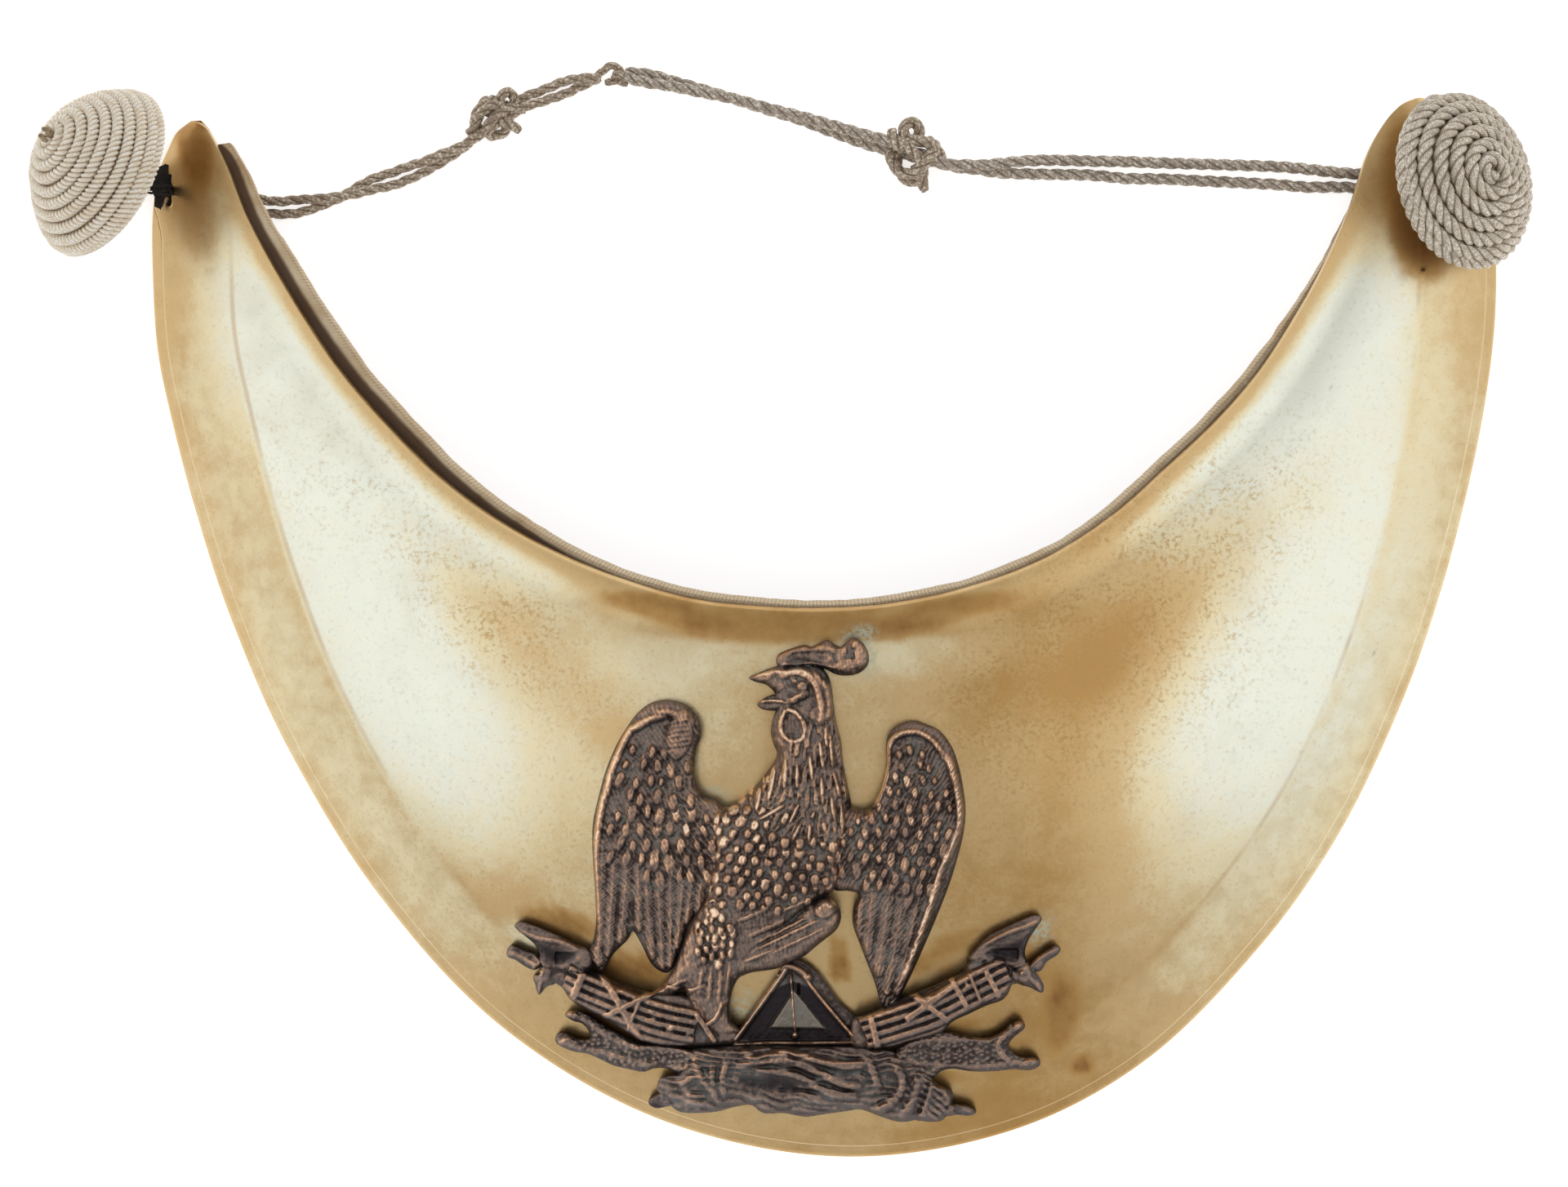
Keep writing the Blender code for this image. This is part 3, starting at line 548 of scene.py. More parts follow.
@dataclass(frozen=True)
class WornBrass:
    """Old brass sheet: gold under its lacquer, pale where lamp reflections are painted, brown with stains and
    painted shadows.
    """

    gold: Colour = (0.665, 0.47, 0.230)
    # straw and pale are the painted sheen's colours; tan serves stains, the dulled sheen and the painted
    # crease shade; umber serves the darkest stains and painted shadows.
    straw: Colour = (0.83, 0.725, 0.470)
    pale: Colour = (0.885, 0.90, 0.775)
    tan: Colour = (0.49, 0.285, 0.098)
    umber: Colour = (0.24, 0.10, 0.028)
    dust: Colour = (0.47, 0.325, 0.150)
    soot: Colour = (0.05, 0.03, 0.02)
    verdigris: Colour = (0.52, 0.57, 0.45)
    groove_inset: float = 1.15
    groove_half_width: float = 0.11
    crease_inset: float = 8.9

    def make(self) -> Material:
        """Makes the material."""
        coat = Coat("worn_brass")
        cloud, mottle = coat.noise(15, 3, 0.55, warp=0.3), coat.noise(2.4, 6, 0.66)
        speck, fine = coat.noise(0.50, 3, 0.62), coat.noise(0.17, 2, 0.5)
        hairline = coat.noise(1.0, 3, 0.6, coat.stretched((80.0, 2400.0, 1.0), 62.0))
        brushed = coat.noise(1.0, 3, 0.6, coat.stretched((2600.0, 110.0, 1.0), 28.0))
        patchy = coat.number("freckle") * speck.span(0.44, 0.70) * mottle.span(0.34, 0.62)
        # light_and_wear: the pale number is painted sheen, pale where lamp reflections are painted and tan
        # where that sheen is taken down; freckles and mottles vary it.
        light_and_wear = coat.number("pale") + mottle.span(0.3, 0.7, -0.09, 0.07) - patchy * 0.34
        light_and_wear = light_and_wear + cloud.span(0.35, 0.65, -0.08, 0.06) + fine.span(0.35, 0.65, -0.03, 0.03)
        stained = coat.number("stain") + mottle.span(0.3, 0.7, -0.10, 0.08)
        sooty = coat.number("soot") + mottle.span(0.3, 0.7, -0.1, 0.1)
        from_rim = coat.number("from_rim")
        line = coat.calc("ABSOLUTE", from_rim - self.groove_inset)
        line = line.span(0.0, self.groove_half_width, 1.0, 0.0)
        # Painted shade along the crease, laid as a tan line.
        crease = coat.calc("ABSOLUTE", from_rim - self.crease_inset).span(0.05, 0.42, 0.46, 0.0)
        crease = crease * cloud.span(0.35, 0.60) * coat.number("crease")
        base = coat.layers(
            self.tan,
            # Gold, straw and pale follow the painted sheen.
            (light_and_wear.span(-0.50, 0.04), self.gold),
            (light_and_wear.span(0.02, 0.48), self.straw),
            (light_and_wear.span(0.38, 0.92), self.pale),
            (patchy * 0.45, self.dust),
            (cloud.span(0.50, 0.72, 0.0, 0.16), self.dust),
            (speck.span(0.54, 0.74, 0.0, 0.22), self.tan),
            (hairline.span(0.60, 0.74, 0.0, 0.20), self.tan),
            (brushed.span(0.62, 0.80, 0.0, 0.25), self.pale),
            # Stains, with painted shadows and reflections of the badge and the buttons: tan, and umber where
            # darkest.
            (stained.span(0.03, 0.50, 0.0, 0.92), self.tan),
            (stained.span(0.34, 1.05), self.umber),
            # Black spots, and painted shade in and beside the left slit.
            (sooty.span(0.1, 0.9), self.soot),
            (coat.number("verdigris") * speck.span(0.36, 0.60, 0.0, 0.9), self.verdigris),
            # A painted highlight along the engraved line.
            (line * 0.16, self.pale),
            (crease, self.tan),
        )
        rough = mottle.span(0.25, 0.75, 0.26, 0.38) + coat.number("stain") * 0.12
        relief = speck * 0.35 - line - hairline.span(0.62, 0.74, 0.0, 0.25)
        bent = coat.emboss(relief, 0.05, 0.7)
        return coat.done(Base_Color=base, Metallic=1.0, Roughness=rough, Normal=bent)


@dataclass(frozen=True)
class OldLeather:
    """Vegetable-tanned leather with stains from the brass and from wear, a raw cut edge and painted shade in
    the gap behind the brass.
    """

    pale: Colour = (0.99, 0.81, 0.56)
    brown: Colour = (0.62, 0.40, 0.19)
    dark: Colour = (0.095, 0.036, 0.013)
    rib_pitch: float = 0.42
    pore_size: float = 0.55

    def make(self) -> Material:
        """Makes the material."""
        coat = Coat("old_leather")
        cloud, mottle = coat.noise(14, 4, 0.6, warp=0.5), coat.noise(2.4, 5, 0.65)
        pores = {"Vector": coat.place(), "Scale": 1 / (self.pore_size * MM)}
        pore = coat.add("ShaderNodeTexVoronoi", pores, "Distance")
        crease = coat.noise(1.0, 4, 0.6, coat.stretched((260.0, 900.0, 260.0), 35.0))
        rib = coat.calc("SINE", coat.number("run") * (TURN / self.rib_pitch) + mottle * 5.0)
        ribbed = coat.number("edge") * rib.span(-0.6, 0.9, 1.0, 0.0)
        base = coat.layers(
            self.pale,
            (cloud.span(0.48, 0.78), self.brown),
            (mottle.span(0.52, 0.74, 0.0, 0.5), self.brown),
            (pore.span(0.0, 0.22, 0.35, 0.0), self.dark),
            (coat.number("shade").span(0.0, 1.0, 0.0, 0.92), self.dark),
            (ribbed * 0.55, self.brown),
        )
        bent = coat.emboss(pore * 0.7 + crease * 0.8 - ribbed, 0.16, 0.8)
        return coat.done(Base_Color=base, Roughness=0.72, Normal=bent)


@dataclass(frozen=True)
class MetalThread:
    """Cord of tarnished silver thread."""

    name: str
    light: Colour
    dark: Colour
    glint_colour: Colour
    lay: Lay
    shine: float = 0.35
    threads: int = 7  # in a ply

    def make(self) -> Material:
        """Makes the material."""
        coat = Coat(self.name)
        uv = coat.add("ShaderNodeUVMap", out="UV", uv_map="UVMap")
        around, run = (coat.add("ShaderNodeSeparateXYZ", {"Vector": uv}, axis) for axis in "XY")
        crown = coat.calc("ABSOLUTE", coat.calc("COSINE", around * (self.lay.plies * math.pi)))
        lengthwise = (around + run * (1 / self.lay.pitch)) * (self.threads * self.lay.plies * TURN)
        thread = coat.calc("SINE", lengthwise + coat.noise(0.9, 2) * 3.0).span(-1.0, 1.0)
        glint, dirt = coat.noise(0.34, 3, 0.7), coat.noise(3.0, 4, 0.6)
        base = coat.layers(
            self.dark,
            # Light along each thread and dark between: partly the threads' own tone, partly a painted
            # highlight.
            (thread.span(0.1, 0.9, 0.45, 1.0), self.light),
            # Painted glints: bright specks of the thread's sheen.
            (glint.span(0.48, 0.62, 0.0, 0.9), self.glint_colour),
            (glint.span(0.40, 0.30, 0.0, 0.7), self.dark),
            (dirt.span(0.50, 0.76, 0.0, 0.5), self.dark),
            # Painted shade in the grooves between the plies.
            (crown.span(0.0, 0.55, 0.85, 0.0), self.dark),
        )
        bent = coat.emboss(thread * 0.5 + glint * 0.8, 0.07, 0.9)
        return coat.done(Base_Color=base, Metallic=self.shine, Roughness=0.48, Normal=bent)


@dataclass(frozen=True)
class PlainFibre:
    """Sewing thread, or the linen over a button's core."""

    name: str
    colour: Colour
    dark: Colour
    weave: float = 0.4

    def make(self) -> Material:
        """Makes the material."""
        coat = Coat(self.name)
        axes = (coat.add("ShaderNodeSeparateXYZ", {"Vector": coat.place()}, axis) for axis in "XY")
        warp, weft = (coat.calc("SINE", axis * (TURN / (self.weave * MM))) for axis in axes)
        cross, fluff = (warp * weft).span(-1.0, 1.0), coat.noise(0.5, 4, 0.7)
        base = coat.layers(self.dark, (fluff.span(0.35, 0.7), self.colour), (cross * 0.35, self.dark))
        return coat.done(Base_Color=base, Roughness=0.9, Normal=coat.emboss(cross + fluff, 0.05, 0.8))


@dataclass(frozen=True)
class PatinatedBronze:
    """Bronze under a dark patina, copper-bright where it shows wear and where highlights and glints are
    painted, darker where shade is painted, and bluish green in its hollows.
    """

    # dark is the deepest patina and painted shade; copper shows wear and painted highlights; bright is a
    # painted glint; soot is painted shade in the hollows.
    dark: Colour = (0.066, 0.050, 0.046)
    brown: Colour = (0.235, 0.172, 0.142)
    warm: Colour = (0.385, 0.240, 0.165)
    copper: Colour = (0.68, 0.405, 0.250)
    bright: Colour = (1.0, 0.74, 0.53)
    green: Colour = (0.155, 0.18, 0.17)
    crust: Colour = (0.23, 0.225, 0.19)
    soot: Colour = (0.022, 0.018, 0.022)

    def make(self) -> Material:
        """Makes the material."""
        coat = Coat("patinated_bronze")
        mottle, fine, cloud = coat.noise(0.9, 5, 0.65), coat.noise(0.16, 3, 0.6), coat.noise(3.5, 3)
        # light_and_wear_tone: wear, painted highlights and glints, painted light from the upper left and
        # painted shade.
        light_and_wear_tone = coat.number("light_and_wear") + mottle.span(0.3, 0.7, -0.14, 0.14)
        light_and_wear_tone = light_and_wear_tone + fine.span(0.3, 0.7, -0.09, 0.09) + cloud.span(0.35, 0.65, -0.10, 0.10)
        base = coat.layers(
            self.dark,
            (light_and_wear_tone.span(-0.55, 0.10), self.brown),
            (coat.number("hollow") * cloud.span(0.44, 0.64) * 0.5, self.green),
            (light_and_wear_tone.span(0.10, 0.46), self.warm),
            (light_and_wear_tone.span(0.42, 0.84), self.copper),
            (light_and_wear_tone.span(0.82, 1.25), self.bright),
            (coat.number("crust") * fine.span(0.36, 0.60, 0.25, 1.0), self.crust),
            # Painted shade in the hollows and between the rods.
            (coat.number("soot"), self.soot),
        )
        rough, bent = light_and_wear_tone.span(0.0, 0.8, 0.44, 0.28), coat.emboss(fine + mottle, 0.04, 0.8)
        return coat.done(Base_Color=base, Metallic=0.9, Roughness=rough, Normal=bent)


TIE_LAY = Lay(plies=3, pitch=5.1, groove=0.34, around=18, step=0.16)
LEFT_WOUND = Lay(plies=3, pitch=1.9, groove=0.26, around=12, step=0.20)
RIGHT_WOUND = Lay(plies=3, pitch=4.4, groove=0.34, around=18, step=0.20)
CLOTH_LAY = Lay(plies=2, pitch=1.6, groove=0.30, around=8, step=0.12)
SEWING_LAY = Lay(plies=2, pitch=1.1, groove=0.25, around=8, step=0.16)
FRAYED_LAY = Lay(plies=2, pitch=0.8, groove=0.20, around=6, step=0.14)
LEFT_CORD = MetalThread("left_cord", (0.46, 0.355, 0.25), (0.17, 0.115, 0.075), (0.88, 0.78, 0.64), TIE_LAY)
RIGHT_CORD = MetalThread("right_cord", (0.50, 0.42, 0.335), (0.19, 0.14, 0.10), (0.90, 0.82, 0.70), TIE_LAY)
LEFT_WINDING = MetalThread(
    "left_winding", (1.0, 0.925, 0.76), (0.70, 0.52, 0.34), (1.0, 1.0, 0.97), LEFT_WOUND
)
RIGHT_WINDING = MetalThread(
    "right_winding", (0.76, 0.66, 0.53), (0.27, 0.21, 0.15), (0.96, 0.91, 0.81), RIGHT_WOUND
)
LINEN = PlainFibre("linen", (0.66, 0.52, 0.34), (0.26, 0.18, 0.11))
BLACK = PlainFibre("black_thread", (0.025, 0.018, 0.014), (0.008, 0.006, 0.005))


# The studio


@dataclass(frozen=True)
class Lamp:
    """One large soft light, as far away as the sky."""

    name: str
    rise_deg: float  # over the table
    heading_deg: float  # which side of the table it stands on
    breadth_deg: float
    strength: float

    def build(self) -> None:
        """Hangs the lamp."""
        light = bpy.data.lights.new(self.name, "SUN")
        light.energy, light.angle = self.strength, math.radians(self.breadth_deg)
        made = bpy.data.objects.new(self.name, light)
        made.rotation_mode = "QUATERNION"
        made.rotation_quaternion = direction(self.heading_deg, self.rise_deg).to_track_quat("Z", "Y")
        bpy.context.scene.collection.objects.link(made)


@dataclass(frozen=True)
class Studio:
    """The camera straight above the piece, the pale table and the soft lights."""

    eye: tuple[float, float, float] = (0.27, 3.28, 3000.0)
    view_width: float = 174.86
    sensor: float = 36.0
    table_half: float = 6000.0
    table_glow: float = 0.62
    sky: float = 0.62
    lamps: tuple[Lamp, ...] = (
        Lamp("left_window", rise_deg=40.0, heading_deg=186.0, breadth_deg=64.0, strength=0.34),
        Lamp("right_window", rise_deg=40.0, heading_deg=-4.0, breadth_deg=64.0, strength=0.34),
    )

    def camera(self) -> None:
        """Sets up the camera."""
        data = bpy.data.cameras.new("camera")
        data.sensor_width = self.sensor
        data.lens = self.sensor * self.eye[2] / self.view_width
        data.clip_start, data.clip_end = 0.01, 20.0
        made = bpy.data.objects.new("camera", data)
        made.location = Vector(self.eye) * MM
        bpy.context.scene.collection.objects.link(made)
        bpy.context.scene.camera = made

    def table(self) -> None:
        """Lays the pale table under the piece."""
        bm = bmesh.new()
        bmesh.ops.create_grid(bm, x_segments=1, y_segments=1, size=self.table_half * MM)
        made = to_object("table", bm)
        coat = Coat("table_paint")
        tone = coat.layers((0.86, 0.86, 0.86), (coat.noise(400.0, 2), (0.88, 0.88, 0.88)))
        glow = {"Emission_Color": (1.0, 1.0, 1.0), "Emission_Strength": self.table_glow}
        made.data.materials.append(coat.done(Base_Color=tone, Roughness=0.9, **glow))

    def lights(self) -> None:
        """Sets the sky and the lamps."""
        scene = bpy.context.scene
        scene.view_settings.view_transform = "Standard"
        scene.world = bpy.data.worlds.new("sky")
        scene.world.use_nodes = True
        background = scene.world.node_tree.nodes["Background"]
        background.inputs["Color"].default_value = (1.0, 1.0, 1.0, 1.0)
        background.inputs["Strength"].default_value = self.sky
        for lamp in self.lamps:
            lamp.build()


# The neck tie


@dataclass(frozen=True)
class Knot:
    """A knot on the tie: the stretches of cord that it is tied from, round its middle on the table."""

    name: str
    middle: tuple[float, float]
    diameter: float
    stretches: tuple[Rows, ...]
    clearance: float = 0.03

    def build(self, finish: Material) -> Piece:
        """Ties the knot from cord of one finish, and returns it."""
        bm = bmesh.new()
        for i, stretch in enumerate(self.stretches):
            line = curve_through(stretch, 8) + (*self.middle, 0.0)
            line[:, 2] = np.maximum(line[:, 2], self.diameter / 2 + self.clearance)
            add_cord(bm, line, self.diameter, TIE_LAY, (0.75, 0.75), start_turn=1.3 * i)
        return settle_solid(f"{self.name}_cord", bm, finish, Slot.SILVER_CORD, self.name)


KNOTS = (
    Knot("knot_left", (-31.9, 56.6), 1.22, (
        ((3.2, 0.5, 0.8), (1.9, 0.8, 1.7), (0.6, 0.3, 2.7), (-0.6, -0.8, 2.9), (-1, -1.9, 2),
         (-0.2, -2.3, 0.9), (1.1, -1.7, 0.7), (1.5, 0.2, 0.7), (0.9, 1.5, 0.8)),
        ((-3, -2, 0.7), (-2.3, -1.2, 1.5), (-1.7, 0.1, 2.4), (-0.6, 1, 2.9), (0.6, 0.9, 2.4),
         (1.2, -0.3, 1.5), (1.1, -1.5, 0.8)),
        ((-1.2, -1.9, 0.7), (-2.1, -1.2, 1.3), (-2.3, -0.2, 2), (-1.6, 0.9, 1.9), (-1.1, 1.6, 1),
         (-0.5, 1.5, 0.7)),
        ((0.7, -0.9, 1.3), (0.6, 0.8, 1.9), (0.7, 2.1, 1.8), (1.4, 2.7, 1.3), (2, 2, 0.9), (1.9, 0.6, 0.8)),
        ((-0.7, -0.2, 2.1), (-0.4, 0.9, 2.4), (-0.2, 2.1, 2)),
        ((0.2, -0.3, 2.2), (1.5, -1, 2), (2.7, -1.7, 1.3)),
    )),
    Knot("knot_right", (14.7, 52.0), 1.4, (
        ((-3.4, 1.5, 0.9), (-2.2, 1.6, 1.9), (-0.7, 1.1, 3), (0.6, -0.4, 3.2), (1, -1.9, 2.3),
         (0.2, -2.8, 1.1), (-1.3, -2.1, 0.8), (-1.9, -0.2, 0.8), (-1.2, 1.8, 0.9)),
        ((-2.6, 0.6, 0.8), (-2.3, -0.7, 1.6), (-1.2, -1.9, 2.6), (0.4, -1.6, 3.3), (1.7, -0.2, 3.1),
         (2.4, 1.1, 2), (1.6, 1.9, 1)),
        ((3.3, -0.5, 0.9), (2.6, 0.6, 1.9), (1.4, 1.5, 2.6), (-0.1, 1.8, 2.6), (-1.4, 1.5, 1.8),
         (-1.7, 0.3, 1)),
        ((-0.4, 0.4, 1.8), (-1, 2.2, 2.2), (-0.9, 3.4, 1.9), (0, 3.9, 1.4), (0.6, 2.9, 1.1), (0.6, 1.2, 1)),
        ((0, -0.9, 2.3), (0.9, -2.5, 2.2), (1.2, -3.8, 1.5)),
        ((-1, 0.6, 2.9), (-2.1, 2, 2.5), (-2.4, 2.9, 1.7)),
    )),
    Knot("cord_link", (-18.9, 61.4), 0.95, (
        ((-1.9, -0.7, 0.6), (-1.1, 0.1, 1.2), (-0.2, 0.7, 1.7), (0.7, 0.5, 1.6), (1, -0.4, 1.1),
         (0.3, -1, 0.7), (-0.8, -1.1, 0.6)),
        ((1.9, -0.6, 1.8), (0.9, -0.1, 2.1), (0.3, -0.4, 1.2), (0.7, -0.9, 0.6), (1.8, -1.3, 0.6)),
    )),
)


@dataclass(frozen=True)
class NeckTie:
    """The doubled tie: two strands from each horn, each pair knotted, joined by a small loop."""

    diameters: tuple[float, float] = (1.15, 1.35)
    lift: float = 0.02
    step: float = 1.0  # between two points of a declared line

    def strand_line(self, rows: Rows, sign: int, diameter: float) -> Array:
        """One strand of a doubled stretch: points beside its middle line, resting on the table.

        Args:
            rows: TIE_COLUMNS rows.
            sign: Which of the two strands, 1 or -1.
            diameter: The strand's diameter.

        Returns:
            The strand's middle line.
        """
        tie = columns(TIE_COLUMNS, rows)
        at = np.linspace(0, len(rows) - 1, 8 * (len(rows) - 1) + 1)
        x, y, spread, turn_deg = (smooth(tie[c], at) for c in TIE_COLUMNS)
        ahead_x, ahead_y = (smooth(tie[c], at + 1e-3) - smooth(tie[c], at - 1e-3) for c in ("x", "y"))
        length = np.hypot(ahead_x, ahead_y)
        turn, half = np.radians(turn_deg), spread / 2
        side = sign * half * np.cos(turn)
        up = half * np.abs(np.sin(turn)) + sign * half * np.sin(turn)
        z = diameter / 2 + self.lift + up
        return np.stack([x - side * ahead_y / length, y + side * ahead_x / length, z], axis=-1)

    def build(self, finishes: dict[Side, Material]) -> None:
        """Lays the strands and ties the knots, from cord of a finish for either side."""
        knots = {knot.name: knot.build(finishes[Side.LEFT]) for knot in KNOTS}
        routes = {
            Side.LEFT: LEFT_TIE_OUTER + LEFT_TIE_INNER,
            Side.RIGHT: (RIGHT_TIE_INNER + RIGHT_TIE_OUTER)[::-1],
        }
        for side, diameter in zip(Side, self.diameters, strict=True):
            for sign, nodes in ((1, "ac"), (-1, "bd")):
                line = even_line(self.strand_line(routes[side], sign, diameter), self.step)
                bm = bmesh.new()
                add_cord(bm, curve_through(line, 6), diameter, TIE_LAY, start_turn=sign)
                name = f"strand_{side.value}_{nodes}"
                stood_for = [f"cord_{side.value}_{letter}" for letter in nodes]
                piece = settle_solid(name, bm, finishes[side], Slot.SILVER_CORD, *stood_for)


# The brass and the leather
PLATE = columns(PLATE_COLUMNS, PLATE_SECTIONS)
LINING = columns(LINING_COLUMNS, LINING_EDGE)


@dataclass(frozen=True)
class CrescentForm:
    """The dome of the crescent, which the brass, the leather and the badge all follow."""

    thickness: float = 0.9
    rim_height: float = 0.715
    crown_share: float = 0.10
    border_width: float = 9.0
    border_raise: float = 0.9
    border_softness: float = 0.10
    lip_width: float = 4.2
    lip_rise: float = 1.3
    full_width: float = 25.0  # where the crescent is narrower, its relief is lower

    def front(self, along: Array, across: Array) -> Array:
        """Front face of the brass.

        Args:
            along: Shares of its length, left horn to right horn.
            across: Shares of its width, neck edge to rim.

        Returns:
            The places.
        """
        row = np.asarray(along, float) * (len(PLATE_SECTIONS) - 1)
        neck_x, neck_y, neck_z, rim_x, rim_y = (smooth(PLATE[c], row) for c in PLATE_COLUMNS)
        width = np.hypot(rim_x - neck_x, rim_y - neck_y)
        inside = np.clip(across, 0, 1)
        border = np.minimum(self.border_width / width, 0.5)
        crease = soft_min((1 - inside) / border, inside / (1 - border), self.border_softness)
        lip = np.clip(1 - across * width / self.lip_width, 0, 2) ** 2
        full = np.clip(width / self.full_width, 0, 1)
        z = neck_z + (self.rim_height - neck_z) * across
        z += 4 * self.crown_share * width * across * (1 - across)
        z += full * (self.border_raise * crease + self.lip_rise * lip)
        x, y = neck_x + (rim_x - neck_x) * across, neck_y + (rim_y - neck_y) * across
        return np.stack([x, y, z], axis=-1)

    def normal(self, along: Array, across: Array, step: float = 1e-4) -> Array:
        """Unit normal of the front face, pointing out of the front."""
        d_along = self.front(along + step, across) - self.front(along - step, across)
        d_across = self.front(along, across + step) - self.front(along, across - step)
        normal = np.cross(d_across, d_along)
        return unit(normal * np.where(normal[..., 2:] < 0, -1.0, 1.0))

    def width(self, along: Array) -> Array:
        """Width of the brass at shares of its length."""
        span = self.front(along, np.ones_like(along)) - self.front(along, np.zeros_like(along))
        return np.hypot(span[..., 0], span[..., 1])


FORM = CrescentForm()


class Ground:
    """The height of the brass's front under the badge."""

    def __init__(self, mesh: Mesh, low: tuple[float, float], high: tuple[float, float]) -> None:
        """Sounds the front face on a lattice.

        Args:
            mesh: The front face.
            low: The lattice's lowest corner, in millimetres.
            high: Its highest corner.
        """
        self.tree = BVHTree.FromBMesh(mesh)
        self.low, self.step = low, 0.5
        xs, ys = (low[k] + self.step * np.arange(round((high[k] - low[k]) / self.step) + 1) for k in (0, 1))
        self.heights = np.array([[self.above(x, y) for x in xs] for y in ys])

    def above(self, x: float, y: float) -> float:
        """The brass's height at one place, 0 beside it."""
        hit = self.tree.ray_cast(Vector((x * MM, y * MM, 1.0)), Vector((0, 0, -1)))[0]
        return hit.z / MM if hit else 0.0

    def under(self, x: Array, y: Array) -> Array:
        """The brass's height under places inside the lattice."""
        h = self.heights
        u = np.clip((x - self.low[0]) / self.step, 0, h.shape[1] - 1.001)
        v = np.clip((y - self.low[1]) / self.step, 0, h.shape[0] - 1.001)
        i, j = u.astype(int), v.astype(int)
        s, t = u - i, v - j
        low = h[j, i] * (1 - s) + h[j, i + 1] * s
        high = h[j + 1, i] * (1 - s) + h[j + 1, i + 1] * s
        return low * (1 - t) + high * t


# Soft patches on the brass: painted sheen where the lamps would reflect, a painted highlight along the rim,
# patches where the painted sheen is taken down to tan, freckles, brown stains with painted shadows and
# reflections, black spots with painted shade at the left slit, and green.
# Painted sheen, where the reflections of the lamps are painted on both lobes and near the neck.
PAINTED_SHEEN: Rows = (
    (-56.3, 31, 14, 5.2, -68, 0.9), (-51.5, 17, 15, 8.5, -55, 0.92), (-42, 13, 19, 5.5, -45, 0.9),
    (-30.5, 6.2, 7, 2.4, -24, 0.7), (-46, 2, 14, 8.5, -55, 0.75), (-42, -9, 14, 8, -58, 0.85),
    (-36.5, -17, 9, 6.5, -65, 0.55), (-29.5, -9, 13, 7.5, -35, 0.34), (-17, -5.5, 13, 6, -20, 0.3),
    (-25, -22, 17, 8, -62, 0.22), (-7, -12, 7, 5, -60, 0.2), (62.5, 31, 11, 4.8, 68, 0.8),
    (59, 24, 16, 7, 52, 0.85), (65.5, 16, 16, 4.2, 76, 0.7), (50, 19.2, 20, 5, 46, 0.92),
    (60.5, 7, 14, 7, 60, 0.8), (55, -9, 15, 8, 58, 0.88), (49, -14, 12, 8, 40, 0.8),
    (48, 2, 10, 5, 55, 0.3), (51.5, -24, 8, 5.5, 60, 0.45), (24, -13, 10, 7, 60, 0.2),
    (7, -3.4, 22, 2.8, 2, 0.34), (12.5, -13, 10, 7, -60, 0.28), (41, -31.5, 9, 6, 50, 0.5),
    (-29.5, -36.5, 4, 3.2, 0, 0.55),
)
RIM_LIGHT: Rows = (
    (-65, 10, 32, 8.5, -76, 0.42), (-52, -18, 26, 8, -56, 0.46), (-40, -36, 18, 8, -44, 0.42),
    (73, 8, 34, 8.5, 80, 0.68), (60, -18, 24, 8, 58, 0.66), (46, -38, 17, 7, 46, 0.4),
)
# Patches where the painted sheen is taken down to tan.
SHEEN_DULLED: Rows = (
    (35, 1, 19, 6.5, 43, 0.42), (25, -12, 15, 9, 30, 0.26), (24.5, -27, 10, 7, 60, 0.22),
    (31, -52, 13, 5.5, 32, 0.18), (36, -36, 20, 9, 52, 0.36), (16, -58, 26, 4, 8, 0.2),
    (-30, -0.5, 13, 4.2, -45, 0.42), (-30, -43, 16, 5, -38, 0.16),
)
FRECKLED: Rows = (
    (-33, 1, 11, 5.5, -45, 0.95), (-43.5, 14, 9, 5, -50, 0.6), (-54, 17, 9, 4, -60, 0.45),
    (36, 2, 17, 8, 43, 1), (50, 10, 12, 7, 50, 0.9), (43, -6, 12, 8, 43, 0.75), (27, -10, 11, 8, 30, 0.75),
    (0, -30, 45, 27, 0, 0.3),
)
# Real stains, with painted shadows and reflections round both buttons on the horns and beside the badge's
# lower pieces.
STAINS_AND_SHADOWS: Rows = (
    (-64.9, 44.6, 5.6, 2.3, -80, 0.26), (-65.4, 52.6, 4, 1.9, -75, 0.66), (70.2, 47.5, 9.5, 3.2, 96, 0.62),
    (72.6, 40.6, 4.2, 2.4, 160, 0.22), (2, -0.6, 17, 1.7, 0, 0.52), (3, 2.2, 25, 1.5, 0, 0.34),
    (-13, 1.5, 7, 1.4, -14, 0.45), (18, 1.2, 8, 1.4, 14, 0.45), (-24.6, -33.4, 4.6, 1.7, -14, 0.62),
    (-17, -38.2, 4.6, 1.6, -8, 0.7), (-18.4, -45, 3.6, 1.4, -20, 0.62), (17, -36.8, 6, 1.3, 28, 0.5),
    (17.5, -45.3, 5, 1.2, 14, 0.6), (18, -50.6, 3, 0.9, 0, 0.45), (31.2, -43.6, 4.6, 2, 78, 0.6),
    (30.3, -40.6, 2.6, 1.3, 80, 0.45), (33.6, -49.2, 1.3, 1.2, 0, 0.8), (6.5, -38.6, 1.4, 1.1, 40, 0.6),
    (6.3, -36.6, 2.4, 0.9, 90, 0.5), (-10.5, -45.6, 9, 5, 0, 0.4), (0, -22, 3, 16, 0, 0.25),
)
